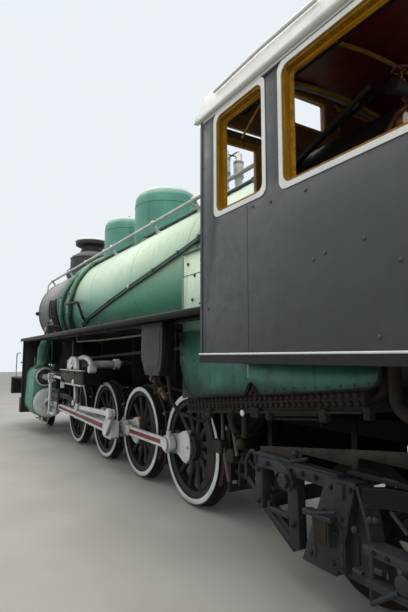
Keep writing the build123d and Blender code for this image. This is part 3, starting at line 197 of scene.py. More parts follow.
def prism(poly, axis, a0, a1, c=0.0):
    """poly holds (y, z) for axis x, (x, z) for y and (x, y) for z."""
    poly = [tuple(p) for p in poly]
    area = sum(poly[i - 1][0] * poly[i][1] - poly[i][0] * poly[i - 1][1] for i in range(len(poly)))
    if area < 0:
        poly.reverse()
    a0, a1 = min(a0, a1), max(a0, a1)
    if c:
        c = min(c, 0.4 * (a1 - a0))
        inner = inset(poly, c)
        levels = [(inner, a0), (poly, a0 + c), (poly, a1 - c), (inner, a1)]
    else:
        levels = [(poly, a0), (poly, a1)]
    n = len(poly)
    put = {"x": lambda u, v, a: (a, u, v), "y": lambda u, v, a: (u, a, v), "z": lambda u, v, a: (u, v, a)}[axis]
    v = [put(p[0], p[1], a) for ring, a in levels for p in ring]
    f = [list(range(n)), list(range((len(levels) - 1) * n, len(levels) * n))]
    for k in range(len(levels) - 1):
        for i in range(n):
            j = (i + 1) % n
            f.append([k * n + i, k * n + j, (k + 1) * n + j, (k + 1) * n + i])
    return v, f


def heads(points, normal, r, h=None, n=8):
    """Round rivet or bolt heads."""
    h = h or r * 0.6
    v, f = [], []
    for p in points:
        a, b = lathe(p, normal, [(r, -0.002), (r, h * 0.25), (r * 0.72, h * 0.8), (0, h)], n)
        f += [[i + len(v) for i in q] for q in b]
        v += a
    return v, f


def nuts(points, normal, r, h=None, stud=True):
    """Hexagon nuts, each with the end of its stud."""
    h = h or r * 0.9
    v, f = [], []
    for i, p in enumerate(points):
        prof = [(r, -0.001), (r, h * 0.85), (r * 0.88, h)]
        if stud:
            prof += [(r * 0.5, h), (r * 0.5, h * 1.45), (0, h * 1.5)]
        else:
            prof += [(0, h)]
        a, b = lathe(p, normal, prof, 6, turn=0.37 * i)
        f += [[k + len(v) for k in q] for q in b]
        v += a
    return v, f


def ring_of(o, d, r, n, start=0.0):
    o, w = Vector(o), Vector(d).normalized()
    ref = Vector((0, 0, 1)) if abs(w.z) < 0.9 else Vector((1, 0, 0))
    u = ref.cross(w).normalized()
    t = w.cross(u)
    return [tuple(o + u * (r * math.cos(start + 2 * math.pi * k / n)) + t * (r * math.sin(start + 2 * math.pi * k / n))) for k in range(n)]


def along(p, q, n):
    p, q = Vector(p), Vector(q)
    return [tuple(p + (q - p) * (k / (n - 1))) for k in range(n)]


def turn2(pts, ang, x=0.0, z=0.0):
    c, s = math.cos(math.radians(ang)), math.sin(math.radians(ang))
    return [(x + c * u - s * v, z + s * u + c * v) for u, v in pts]


def spoke(c0, ang, r0, r1, w0, w1, y0, y1, n=10):
    """Oval spoke in a wheel whose centre is c0 (x, z), between the faces y0 and y1."""
    v, f = [], []
    ym, yh = (y0 + y1) / 2, abs(y1 - y0) / 2
    for k in range(5):
        q = k / 4
        r = r0 + (r1 - r0) * q
        flare = 1 + 0.35 * (2 * q - 1) ** 4
        w = (w0 + (w1 - w0) * q) * flare
        for i in range(n):
            g = 2 * math.pi * i / n
            cu, sv = math.cos(g), math.sin(g)
            x, z = turn2([(r, w * cu)], ang, c0[0], c0[1])[0]
            v.append((x, ym + yh * sv * (0.9 + 0.1 * q), z))
    for k in range(4):
        for i in range(n):
            j = (i + 1) % n
            f.append([k * n + i, k * n + j, (k + 1) * n + j, (k + 1) * n + i])
    f.append(list(range(n)))
    f.append(list(range(4 * n, 5 * n)))
    return v, f


class Piece:
    """One visible piece: shapes are added with the number of one of its materials."""
    def __init__(self, name, body, mats, slot=None, replaces=(), sharp=35):
        self.name, self.body, self.mats, self.slot, self.rep, self.sharp = name, body, mats, slot, replaces, sharp
        self.v, self.f, self.mi = [], [], []

    def add(self, shape, mat=0):
        v, f = shape
        b = len(self.v)
        self.v.extend(v)
        self.f.extend([i + b for i in q] for q in f)
        self.mi.extend([mat] * len(f))
        return self

    def both(self, fn, mat=0):
        """fn(s) gives a shape for s = 1 (left) and -1 (right)."""
        for s in (1, -1):
            self.add(fn(s), mat)
        return self

    def done(self):
        me = bpy.data.meshes.new(self.name)
        me.from_pydata(self.v, [], self.f)
        for m in self.mats:
            me.materials.append(m)
        me.polygons.foreach_set("material_index", self.mi)
        bm = bmesh.new()
        bm.from_mesh(me)
        bmesh.ops.recalc_face_normals(bm, faces=bm.faces)
        bm.to_mesh(me)
        bm.free()
        me.polygons.foreach_set("use_smooth", [True] * len(me.polygons))
        me.set_sharp_from_angle(angle=math.radians(self.sharp))
        ob = bpy.data.objects.new(self.name, me)
        bpy.context.scene.collection.objects.link(ob)
        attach(ob, self.body)
        if self.rep:
            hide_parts(*self.rep)
        return ob


# =============================================================== materials
def lin(c):
    return tuple((x / 255 / 12.92) if x / 255 <= 0.04045 else ((x / 255 + 0.055) / 1.055) ** 2.4 for x in c) + (1.0,)


class Mat:
    def __init__(self, name):
        self.m = bpy.data.materials.new(name)
        self.m.use_nodes = True
        self.t = self.m.node_tree
        self.t.nodes.clear()
        self.out = self.node("ShaderNodeOutputMaterial")
        self.b = self.node("ShaderNodeBsdfPrincipled")
        self.link(self.b.outputs[0], self.out.inputs[0])
        self.tc = self.node("ShaderNodeTexCoord").outputs["Object"]

    def node(self, kind, **kw):
        n = self.t.nodes.new(kind)
        for k, v in kw.items():
            setattr(n, k, v)
        return n

    def link(self, a, b):
        self.t.links.new(a, b)

    def noise(self, scale, detail=4.0, rough=0.6, stretch=None, shift=(0, 0, 0), distort=0.0):
        n = self.node("ShaderNodeTexNoise")
        n.inputs["Scale"].default_value = scale
        n.inputs["Detail"].default_value = detail
        n.inputs["Roughness"].default_value = rough
        n.inputs["Distortion"].default_value = distort
        m = self.node("ShaderNodeMapping")
        m.inputs["Scale"].default_value = stretch or (1, 1, 1)
        m.inputs["Location"].default_value = shift
        self.link(self.tc, m.inputs["Vector"])
        self.link(m.outputs[0], n.inputs["Vector"])
        return n.outputs["Fac"]

    def span(self, x, lo, hi, a=0.0, b=1.0):
        n = self.node("ShaderNodeMapRange", interpolation_type="SMOOTHSTEP")
        self.link(x, n.inputs["Value"])
        for k, v in zip(("From Min", "From Max", "To Min", "To Max"), (lo, hi, a, b)):
            n.inputs[k].default_value = v
        return n.outputs[0]

    def math(self, op, a, b):
        n = self.node("ShaderNodeMath", operation=op)
        for i, x in enumerate((a, b)):
            if isinstance(x, (int, float)):
                n.inputs[i].default_value = x
            else:
                self.link(x, n.inputs[i])
        return n.outputs[0]

    def mix(self, fac, a, b):
        n = self.node("ShaderNodeMix", data_type="RGBA")
        for i, x in ((0, fac), (6, a), (7, b)):
            if isinstance(x, (int, float, tuple)):
                n.inputs[i].default_value = x
            else:
                self.link(x, n.inputs[i])
        return n.outputs[2]

    def up(self, lo, hi):
        g = self.node("ShaderNodeNewGeometry")
        s = self.node("ShaderNodeSeparateXYZ")
        self.link(g.outputs["Normal"], s.inputs[0])
        return self.span(s.outputs["Z"], lo, hi)

    def height(self, lo, hi):
        s = self.node("ShaderNodeSeparateXYZ")
        self.link(self.tc, s.inputs[0])
        return self.span(s.outputs["Z"], lo, hi)

    def part(self, what, axis):
        """One component of the object coordinates or of the surface normal."""
        s = self.node("ShaderNodeSeparateXYZ")
        self.link(self.tc if what == "P" else self.node("ShaderNodeNewGeometry").outputs["True Normal"], s.inputs[0])
        return s.outputs[axis]

    def inside(self, x, lo, hi, soft=0.001):
        """1 where x lies between lo and hi."""
        return self.math("MULTIPLY", self.span(x, lo - soft, lo + soft), self.span(x, hi - soft, hi + soft, 1.0, 0.0))

    def ao(self, dist=0.12, samples=4):
        n = self.node("ShaderNodeAmbientOcclusion", samples=samples)
        n.inputs["Distance"].default_value = dist
        return n.outputs["AO"]

    def bump(self, *layers):
        prev = None
        for h, dist, strength in layers:
            n = self.node("ShaderNodeBump")
            n.inputs["Distance"].default_value = dist
            n.inputs["Strength"].default_value = strength
            self.link(h, n.inputs["Height"])
            if prev is not None:
                self.link(prev, n.inputs["Normal"])
            prev = n.outputs[0]
        self.link(prev, self.b.inputs["Normal"])


def paint(name, base, other=None, pale=None, pale_span=(0.3, 0.95), pale_amt=0.8, dirt=(46, 40, 32), dirt_amt=0.5, crevice_grime_shade=0.6,
          streak=0.25, rust=0.0, rust_col=(92, 52, 28), rough=0.5, rough_var=0.18, scale=2.2, grain=60.0, dents=0.0, metallic=0.0,
          spec=0.5, low_dust=None, low_span=(1.2, 0.2), bump=0.25, coat=0.0, under=0.55, extra=None):
    M = Mat(name)
    base = lin(base)
    other = lin(other) if other else tuple(min(1, x * 0.72) for x in base[:3]) + (1.0,)
    big = M.noise(scale, 5, 0.62)
    mid = M.noise(scale * 7, 5, 0.65, shift=(3, 1, 7))
    fine = M.noise(grain, 3, 0.6, shift=(5, 2, 1))
    col = M.mix(M.span(big, 0.32, 0.68), base, other)
    # pale: a colour mixed onto up-facing faces by their normal, painted top light and sky reflection together with some
    # real chalky fading and dust
    if pale:
        k = M.math("MULTIPLY", M.up(*pale_span), M.span(mid, 0.2, 0.7, 0.75 * pale_amt, pale_amt))
        col = M.mix(k, col, lin(pale))
    if streak:
        st = M.noise(9.0, 4, 0.6, stretch=(1.6, 1.6, 0.09), shift=(0, 4, 0))
        col = M.mix(M.math("MULTIPLY", M.span(st, 0.52, 0.75), streak), col, lin(dirt))
    if dirt_amt:
        col = M.mix(M.math("MULTIPLY", M.span(mid, 0.5, 0.78), dirt_amt), col, lin(dirt))
    if rust:
        sp = M.noise(scale * 11, 6, 0.72, shift=(9, 9, 2))
        col = M.mix(M.span(sp, 0.74 - 0.2 * rust, 0.80 - 0.2 * rust), col, lin(rust_col))
    # crevices: darker towards the dirt colour where ambient occlusion is low, partly grime and partly painted shade
    if crevice_grime_shade:
        a = M.ao(0.10)
        k = M.math("MULTIPLY", M.span(a, 0.95, 0.35), crevice_grime_shade)
        col = M.mix(k, col, lin(dirt))
    if low_dust:
        k = M.math("MULTIPLY", M.height(*low_span), M.span(mid, 0.25, 0.7, 0.3, 0.85))
        col = M.mix(k, col, lin(low_dust))
    # painted shade: downward-facing faces are darkened towards near-black
    if under:
        col = M.mix(M.math("MULTIPLY", M.up(-0.25, -0.9), under), col, lin((24, 22, 20)))
    if extra:
        col = extra(M, col)
    M.link(col, M.b.inputs["Base Color"])
    M.link(M.span(mid, 0.25, 0.75, rough - rough_var / 2, rough + rough_var / 2), M.b.inputs["Roughness"])
    M.b.inputs["Metallic"].default_value = metallic
    M.b.inputs["Specular IOR Level"].default_value = spec
    if coat:
        M.b.inputs["Coat Weight"].default_value = coat
        M.b.inputs["Coat Roughness"].default_value = 0.25
    layers = [(fine, 0.0012, bump)]
    if dents:
        layers.append((M.noise(3.1, 2, 0.45, shift=(2, 8, 5)), 0.02, dents))
    M.bump(*layers)
    return M.m


def wood(name, base, dark, rough=0.55, along="x"):
    M = Mat(name)
    st = {"x": (0.7, 9, 9), "y": (9, 0.7, 9), "z": (9, 9, 0.7)}[along]
    g = M.noise(3.0, 6, 0.7, stretch=st, distort=0.4)
    m = M.noise(14, 4, 0.6)
    col = M.mix(M.span(g, 0.35, 0.66), lin(base), lin(dark))
    col = M.mix(M.math("MULTIPLY", M.span(m, 0.55, 0.8), 0.45), col, lin((60, 42, 14)))
    M.link(col, M.b.inputs["Base Color"])
    M.link(M.span(m, 0.2, 0.8, rough - 0.1, rough + 0.15), M.b.inputs["Roughness"])
    M.b.inputs["Specular IOR Level"].default_value = 0.2
    M.bump((g, 0.002, 0.35), (m, 0.001, 0.3))
    return M.m


# the third colour is the boiler's pale top: chalky faded paint with painted top light
GREEN, GREEN_DK, CHALK_AND_TOP_LIGHT = (84, 162, 132), (62, 138, 112), (224, 238, 212)
DARK_RED, OCHRE = (44, 12, 8), (172, 122, 5)


def cab_side_inside(M, col):
    """Dark red inside face and ochre window jambs of a cab side."""
    y = M.math("ABSOLUTE", M.part("P", "Y"), 0)
    x, z = M.part("P", "X"), M.part("P", "Z")
    g = M.noise(3.0, 5, 0.7, stretch=(9, 9, 0.8), distort=0.3)
    red = M.mix(M.span(g, 0.3, 0.7), lin(DARK_RED), lin((30, 12, 8)))
    och = M.mix(M.span(g, 0.35, 0.66), lin(OCHRE), lin((126, 88, 3)))
    jamb = M.math("MULTIPLY", M.inside(x, D(-3300), D(-1650)), M.inside(z, H(2420), H(3140)))
    flat = M.math("ABSOLUTE", M.part("N", "Y"), 0)
    jamb = M.math("MULTIPLY", jamb, M.math("LESS_THAN", flat, 0.5))
    col = M.mix(jamb, col, och)
    col = M.mix(M.span(z, H(3162), H(3168)), col, lin((206, 206, 200)))
    return M.mix(M.math("LESS_THAN", y, 1.2755), col, red)


def cab_front_inside(M, col):
    """Ochre boarding on the rear face of the cab front."""
    g = M.noise(3.0, 5, 0.7, stretch=(9, 0.8, 9), distort=0.3)
    och = M.mix(M.span(g, 0.35, 0.66), lin((96, 66, 26)), lin((64, 42, 18)))
    x, y = M.part("P", "X"), M.math("ABSOLUTE", M.part("P", "Y"), 0)
    back = M.math("LESS_THAN", M.part("N", "X"), -0.5)
    jamb = M.math("MULTIPLY", M.math("LESS_THAN", M.math("ABSOLUTE", M.part("N", "X"), 0), 0.5), M.math("LESS_THAN", y, 1.28))
    return M.mix(M.math("MAXIMUM", back, jamb), col, och)


def roof_inside(M, col):
    """Dark boarding under the roof."""
    g = M.noise(3.0, 5, 0.7, stretch=(0.8, 9, 9), distort=0.3)
    red = M.mix(M.span(g, 0.3, 0.7), lin((104, 14, 11)), lin((70, 9, 7)))
    ny, nz = M.part("N", "Y"), M.part("N", "Z")
    y, z = M.part("P", "Y"), M.part("P", "Z")
    dot = M.math("ADD", M.math("MULTIPLY", ny, y), M.math("MULTIPLY", nz, M.math("SUBTRACT", z, 2.60)))
    ends = M.math("LESS_THAN", M.math("ABSOLUTE", M.part("N", "X"), 0), 0.5)
    within = M.math("MULTIPLY", ends, M.math("LESS_THAN", M.math("ABSOLUTE", y, 0), 1.268))
    return M.mix(M.math("MULTIPLY", within, M.math("LESS_THAN", dot, -0.05)), col, red)


def lagging_and_low_shade(M, col):
    """Black lagging where the boiler stands in the cab, and painted shade low down between the frames: near-black under
    the barrel, dark brown at the firebox's foot.
    """
    x, z = M.part("P", "X"), M.part("P", "Z")
    low = M.mix(M.noise(5.0, 5, 0.7), lin((16, 22, 18)), lin((28, 30, 24)))
    ahead = M.math("GREATER_THAN", x, D(-415))
    # painted shade under the barrel and at the firebox's foot
    col = M.mix(M.math("MULTIPLY", ahead, M.span(z, H(1880), H(1800))), col, low)
    col = M.mix(M.math("MULTIPLY", M.math("SUBTRACT", 1.0, ahead), M.span(z, H(1500), H(1470))), col, lin((22, 17, 13)))
    g = M.noise(6.0, 5, 0.7)
    blk = M.mix(M.span(g, 0.3, 0.7), lin((30, 33, 31)), lin((20, 20, 19)))
    return M.mix(M.math("LESS_THAN", x, D(-1469)), col, blk)


def saddle_painted_shade(M, col):
    """Painted shade: the saddle under the smokebox is made near-black, only the casings show their paint."""
    y = M.math("ABSOLUTE", M.part("P", "Y"), 0)
    blk = M.mix(M.noise(6.0, 5, 0.7), lin((16, 17, 17)), lin((34, 32, 28)))
    return M.mix(M.span(y, .735, .690), col, blk)


def cover_ring(M, col):
    """Dark ring inside the white rim of each valve chest cover."""
    y = M.math("SUBTRACT", M.math("ABSOLUTE", M.part("P", "Y"), 0), .93)
    z = M.math("SUBTRACT", M.part("P", "Z"), H(1090))
    r = M.math("SQRT", M.math("ADD", M.math("MULTIPLY", y, y), M.math("MULTIPLY", z, z)), 0)
    dk = M.mix(M.noise(9.0, 5, 0.7), lin((34, 34, 30)), lin((64, 60, 50)))
    return M.mix(M.inside(r, .058, .150, .004), col, dk)


# painted shade: the reversing shaft is near-black between the frames and along the right side
def shaft_painted_shade(M, col):
    y = M.part("P", "Y")
    return M.mix(M.inside(y, -.95, .30, .03), col, lin((20, 20, 19)))


def head_dark(M, col):
    """Oily body of the crosshead above its white lower part."""
    z, y = M.part("P", "Z"), M.math("ABSOLUTE", M.part("P", "Y"), 0)
    dk = M.mix(M.noise(9.0, 5, 0.7), lin((40, 42, 42)), lin((66, 60, 52)))
    return M.mix(M.span(z, H(662), H(690)), col, dk)


def bracket_dark(M, col):
    """Dusty outer plate with a pale lower rim; black behind."""
    y = M.math("ABSOLUTE", M.part("P", "Y"), 0)
    z = M.part("P", "Z")
    dusty = M.mix(M.noise(7.0, 5, 0.7), lin((78, 74, 64)), lin((48, 46, 40)))
    col = M.mix(M.math("MULTIPLY", M.span(y, 1.034, 1.040), M.inside(z, H(1079), H(1262))), col, dusty)
    return M.mix(M.math("MULTIPLY", M.span(y, 1.015, 1.020), M.math("MAXIMUM", M.span(z, H(1080), H(1076)), M.span(z, H(1268), H(1272)))), col, lin((190, 194, 190)))


def pan_painted_shade(M, col):
    """Painted shade: near-black above the slanting upper edge of the sheet, where only the straps are."""
    x, z = M.part("P", "X"), M.part("P", "Z")
    line = M.math("SUBTRACT", M.math("MULTIPLY", M.math("SUBTRACT", D(-1330), x), .1312), M.math("SUBTRACT", z, H(792)))
    return M.mix(M.math("LESS_THAN", line, -.003), col, lin((12, 12, 11)))


# painted shade: the side boxes' rearward faces are near-black
def box_rear_painted_shade(M, col):
    return M.mix(M.math("LESS_THAN", M.part("N", "X"), -0.35), col, lin((20, 20, 20)))


# the pale tops of the boiler, domes, smokebox and chimney are painted top light and sky reflection, with some real
# fading and dust
m_boiler = paint("boiler_paint", GREEN, (92, 160, 132), pale=CHALK_AND_TOP_LIGHT, pale_span=(-0.42, 0.42), pale_amt=0.95, dirt=(70, 84, 70), dirt_amt=0.2, streak=0.2,
                 crevice_grime_shade=0.35, rough=0.42, rust=0.12, scale=1.3, dents=0.10, bump=0.15, under=0.85, extra=lagging_and_low_shade)
m_dome = paint("dome_paint", (66, 128, 112), (84, 146, 128), pale=(196, 206, 190), pale_span=(0.25, 0.95), pale_amt=0.85, dirt=(48, 66, 54), dirt_amt=0.25,
               streak=0.35, crevice_grime_shade=0.5, rough=0.38, rust=0.08, scale=1.8, dents=0.06, bump=0.15)
m_green = paint("green_paint", (58, 108, 92), (46, 94, 78), pale=(150, 176, 156), pale_span=(0.4, 1.0), pale_amt=0.6, dirt=(38, 44, 34), dirt_amt=0.3,
                streak=0.4, crevice_grime_shade=0.7, rough=0.42, rust=0.15, scale=2.4, dents=0.05, bump=0.2, under=0.8)
m_casing = paint("casing_green", (82, 140, 116), (64, 118, 98), pale=(170, 184, 160), pale_span=(0.3, 1.0), pale_amt=0.6, dirt=(58, 58, 44), dirt_amt=0.35,
                 streak=0.4, crevice_grime_shade=0.6, rough=0.45, rust=0.2, scale=2.4, dents=0.08, bump=0.25, under=0.85, extra=saddle_painted_shade)
m_skirt = paint("skirt_green", (52, 124, 104), (38, 98, 82), pale=(110, 146, 126), pale_span=(0.4, 1.0), pale_amt=0.6, dirt=(26, 34, 26), dirt_amt=0.35,
                streak=0.5, crevice_grime_shade=0.6, rough=0.4, rust=0.1, scale=2.2, dents=0.10, bump=0.15, under=0.85)
m_band = paint("band_paint", (104, 152, 130), (84, 136, 116), pale=(186, 204, 184), pale_span=(0.0, 0.9), pale_amt=0.7, dirt=(40, 66, 54), dirt_amt=0.3,
               streak=0.2, crevice_grime_shade=0.6, rough=0.4, scale=2.6, bump=0.15, under=0.8)
m_pipe_green = paint("pipe_green", (44, 84, 70), (34, 66, 54), pale=(110, 140, 122), pale_span=(0.5, 1.0), pale_amt=0.5, dirt=(30, 36, 28), dirt_amt=0.3, streak=0.1,
                     crevice_grime_shade=0.5, rough=0.45, rust=0.1, scale=5, bump=0.2, under=0.6)
m_line = paint("seam_dark", (58, 76, 66), (40, 56, 48), dirt=(30, 30, 24), dirt_amt=0.4, streak=0.0, crevice_grime_shade=0.3, rough=0.7, scale=6, bump=0.2)
m_smoke = paint("smokebox_paint", (42, 46, 44), (68, 73, 70), pale=(176, 177, 170), pale_span=(-0.25, 0.7), pale_amt=0.85, dirt=(70, 58, 46), dirt_amt=0.35,
                streak=0.25, crevice_grime_shade=0.5, rough=0.6, rust=0.3, scale=2.0, dents=0.08, bump=0.3, under=0.8)
m_chim = paint("chimney_paint", (22, 23, 24), (36, 38, 40), pale=(150, 150, 148), pale_span=(0.55, 0.98), pale_amt=0.75, dirt=(58, 50, 42), dirt_amt=0.25,
               streak=0.3, rough=0.5, rust=0.2, scale=3.0, bump=0.3, under=0.8)
m_cab = paint("cab_grey_paint", (60, 64, 65), (53, 57, 58), pale=(120, 126, 126), pale_span=(0.5, 1.0), pale_amt=0.6, spec=0.4, dirt=(50, 46, 40), dirt_amt=0.28, streak=0.35,
              crevice_grime_shade=0.3, rust=0.12, rough=0.42, rough_var=0.2, scale=1.6, dents=0.26, bump=0.15)
m_cabside = paint("cab_side_paint", (60, 64, 65), (53, 57, 58), pale=(120, 126, 126), pale_span=(0.5, 1.0), pale_amt=0.6, dirt=(50, 46, 40), dirt_amt=0.28, streak=0.35,
                  crevice_grime_shade=0.3, rust=0.12, rough=0.42, rough_var=0.2, scale=1.6, dents=0.26, bump=0.15, under=0.3, extra=cab_side_inside)
m_cabfront = paint("cab_front_paint", (60, 64, 65), (53, 57, 58), dirt=(50, 46, 40), dirt_amt=0.28, streak=0.35,
                   crevice_grime_shade=0.3, rust=0.12, rough=0.45, scale=1.6, dents=0.2, bump=0.15, extra=cab_front_inside)
m_cabin = paint("cab_inside_paint", (50, 20, 12), (32, 13, 9), spec=0.2, dirt=(14, 9, 7), dirt_amt=0.5, streak=0.4, crevice_grime_shade=0.8, rough=0.6, scale=2.2, bump=0.25)
m_roof = paint("roof_white_paint", (222, 222, 216), (208, 209, 204), spec=0.3, dirt=(140, 132, 116), dirt_amt=0.14, streak=0.12, crevice_grime_shade=0.05, rough=0.45,
               rust=0.05, scale=1.4, dents=0.08, bump=0.1, under=0.0, extra=roof_inside)
m_white = paint("white_paint", (206, 208, 204), (182, 186, 184), dirt=(92, 82, 66), dirt_amt=0.34, streak=0.2, crevice_grime_shade=0.8, rough=0.42, rust=0.1,
                rust_col=(120, 78, 44), scale=4.5, bump=0.25, under=0.65)
m_trim = paint("white_trim", (222, 222, 216), (206, 208, 202), dirt=(120, 110, 92), dirt_amt=0.18, streak=0.1, crevice_grime_shade=0.3, rough=0.4, rust=0.06, scale=5, bump=0.15, under=0.2)
m_red = paint("flute_red", (140, 30, 32), (108, 26, 28), dirt=(64, 40, 34), dirt_amt=0.35, streak=0.2, crevice_grime_shade=0.5, rough=0.45, scale=6, bump=0.2)
m_rail = paint("rail_paint", (196, 200, 194), (168, 174, 168), pale=(226, 228, 222), pale_span=(0.2, 0.9), pale_amt=0.7, dirt=(70, 62, 50), dirt_amt=0.3, streak=0.0,
               crevice_grime_shade=0.4, rough=0.4, rust=0.1, scale=6, bump=0.1, under=0.5)
m_black = paint("running_black", (28, 29, 28), (38, 38, 36), pale=(118, 112, 100), pale_span=(0.6, 1.0), pale_amt=0.7, spec=0.25, dirt=(58, 50, 40), dirt_amt=0.35, streak=0.3,
                crevice_grime_shade=0.5, rough=0.6, rust=0.2, scale=3, bump=0.3, under=0.8)
m_edge = paint("valance_black", (18, 19, 17), (13, 14, 12), spec=0.15, dirt=(54, 44, 32), dirt_amt=0.3, streak=0.4, crevice_grime_shade=0.2, rough=0.6, rust=0.15, scale=4, bump=0.2, under=0.8)
m_frame = paint("frame_black", (10, 11, 11), (14, 15, 14), pale=(34, 33, 30), pale_span=(0.5, 1.0), pale_amt=0.65, spec=0.12, dirt=(40, 33, 26), dirt_amt=0.5, streak=0.2,
                crevice_grime_shade=0.7, rough=0.66, rust=0.25, scale=4, bump=0.45, under=0.8)
m_truck = paint("truck_grey", (40, 45, 49), (31, 35, 38), pale=(78, 82, 82), pale_span=(0.35, 1.0), pale_amt=0.65, spec=0.35, dirt=(38, 33, 28), dirt_amt=0.45, streak=0.25,
                crevice_grime_shade=0.75, rough=0.55, rust=0.18, scale=4, bump=0.45, under=0.75)
m_spring = paint("spring_black", (14, 16, 17), (22, 23, 23), pale=(84, 82, 76), pale_span=(0.4, 1.0), pale_amt=0.6, spec=0.15, dirt=(54, 42, 30), dirt_amt=0.5, streak=0.1,
                 crevice_grime_shade=0.9, rough=0.6, rust=0.3, scale=6, bump=0.4, under=0.7)
m_wheel = paint("wheel_dark", (19, 22, 25), (14, 16, 18), pale=(52, 55, 56), pale_span=(0.4, 1.0), pale_amt=0.5, spec=0.3, dirt=(52, 42, 32), dirt_amt=0.35, streak=0.15,
                crevice_grime_shade=0.85, rough=0.5, rust=0.15, scale=5, bump=0.35, under=0.6)
m_tread = paint("tread_steel", (27, 24, 21), (19, 17, 15), dirt=(60, 40, 26), dirt_amt=0.55, streak=0.0, crevice_grime_shade=0.4, rough=0.5, metallic=0.6, scale=8, bump=0.3, rust=0.3)
m_weight = paint("counterweight_brown", (48, 41, 33), (36, 30, 24), spec=0.25, dirt=(36, 29, 20), dirt_amt=0.5, streak=0.3, crevice_grime_shade=0.5, rough=0.65, rust=0.3, scale=6, bump=0.4)
m_rust = paint("rusty_brown", (44, 38, 32), (34, 28, 23), pale=(84, 74, 60), pale_span=(0.4, 1.0), pale_amt=0.6, spec=0.2, dirt=(62, 42, 26), dirt_amt=0.45, streak=0.3,
               crevice_grime_shade=0.8, rough=0.75, rust=0.35, scale=5, bump=0.6, under=0.7)
m_steel = paint("bare_steel", (150, 150, 146), (120, 118, 112), dirt=(86, 70, 52), dirt_amt=0.3, streak=0.1, crevice_grime_shade=0.4, rough=0.34, metallic=0.85, scale=9, bump=0.1, rust=0.12)
m_cover = paint("cover_white", (196, 202, 198), (176, 182, 178), dirt=(92, 82, 66), dirt_amt=0.3, streak=0.2, crevice_grime_shade=0.6, rough=0.42, rust=0.1,
                rust_col=(120, 78, 44), scale=4.5, bump=0.25, under=0.6, extra=cover_ring)
m_shaft = paint("shaft_white", (196, 198, 192), (150, 146, 134), dirt=(80, 70, 54), dirt_amt=0.4, streak=0.1, crevice_grime_shade=0.7, rough=0.5, rust=0.15, scale=5, bump=0.3, under=0.7,
                extra=shaft_painted_shade)
m_xhead = paint("crosshead_white", (196, 200, 196), (168, 170, 166), dirt=(80, 70, 54), dirt_amt=0.35, streak=0.2, crevice_grime_shade=0.7, rough=0.45, rust=0.12, scale=5, bump=0.3,
                under=0.7, extra=head_dark)
m_bracket = paint("bracket_black", (16, 17, 16), (24, 24, 22), pale=(54, 52, 46), pale_span=(0.6, 1.0), pale_amt=0.6, spec=0.15, dirt=(44, 38, 30), dirt_amt=0.35, streak=0.3,
                  crevice_grime_shade=0.5, rough=0.6, rust=0.2, scale=3, bump=0.3, under=0.7, extra=bracket_dark)
m_ash = paint("ash_pan_soot", (7, 7, 7), (10, 10, 9), spec=0.03, dirt=(15, 13, 11), dirt_amt=0.4, streak=0.2, crevice_grime_shade=0.6, rough=0.8, rust=0.1, scale=4, bump=0.4, under=0.7)
m_pan = paint("pan_side_brown", (84, 77, 68), (66, 60, 52), pale=(108, 102, 92), pale_span=(0.4, 1.0), pale_amt=0.5, spec=0.2, dirt=(34, 32, 29), dirt_amt=0.5, streak=0.4, crevice_grime_shade=0.3,
              rough=0.7, rust=0.2, scale=3, bump=0.4, under=0.5, extra=pan_painted_shade)
m_ring = paint("ring_brown", (40, 38, 33), (30, 28, 24), pale=(78, 72, 62), pale_span=(0.3, 1.0), pale_amt=0.6, spec=0.25, dirt=(50, 38, 26), dirt_amt=0.35, streak=0.3,
               crevice_grime_shade=0.8, rough=0.75, rust=0.3, scale=5, bump=0.6, under=0.5)
m_silver = paint("silver_paint", (205, 206, 204), (176, 178, 178), dirt=(104, 96, 84), dirt_amt=0.3, streak=0.2, crevice_grime_shade=0.6, rough=0.38, metallic=0.35, scale=8, bump=0.2)
m_bronze = paint("bronze", (168, 112, 58), (120, 78, 40), dirt=(52, 42, 26), dirt_amt=0.4, streak=0.0, crevice_grime_shade=0.5, rough=0.4, metallic=0.8, scale=12, bump=0.2)
m_copper = paint("copper_pipe", (150, 88, 60), (96, 58, 44), dirt=(44, 34, 28), dirt_amt=0.5, streak=0.0, crevice_grime_shade=0.4, rough=0.45, metallic=0.7, scale=12, bump=0.2)
m_tan = paint("dusty_pipe", (98, 84, 66), (72, 62, 50), dirt=(44, 36, 28), dirt_amt=0.4, streak=0.0, crevice_grime_shade=0.5, rough=0.6, scale=8, bump=0.2)
m_box = paint("side_box_grey", (60, 63, 60), (48, 50, 46), pale=(118, 114, 102), pale_span=(0.5, 1.0), pale_amt=0.5, spec=0.25, dirt=(84, 68, 48), dirt_amt=0.4, streak=0.5,
              crevice_grime_shade=0.4, rough=0.6, rust=0.25, scale=3, bump=0.3, under=0.7, extra=box_rear_painted_shade)
m_ochre = wood("ochre_timber_x", (176, 128, 6), (140, 98, 3), along="x")
m_ochre_z = wood("ochre_timber_z", (146, 104, 14), (112, 78, 8), along="z")
m_plank = wood("dark_planks", (60, 27, 16), (38, 16, 11), along="x")
m_seat = wood("seat_wood", (96, 62, 32), (66, 40, 20), along="x")
m_floorw = wood("floor_boards", (70, 60, 48), (48, 39, 30), along="x", rough=0.75)


def glass(name, tint, rough):
    M = Mat(name)
    n = M.noise(18, 3, 0.6)
    M.link(M.mix(M.span(n, 0.3, 0.8), lin(tint), lin(tuple(0.8 * x for x in tint))), M.b.inputs["Base Color"])
    M.b.inputs["Roughness"].default_value = rough
    M.b.inputs["Transmission Weight"].default_value = 0.35
    M.b.inputs["IOR"].default_value = 1.45
    return M.m


m_glass = glass("lamp_glass", (226, 230, 226), 0.08)
m_dial = paint("dial_face", (220, 216, 200), (206, 200, 184), dirt=(120, 104, 80), dirt_amt=0.2, streak=0.0, crevice_grime_shade=0.2, rough=0.3, scale=20, bump=0.05)

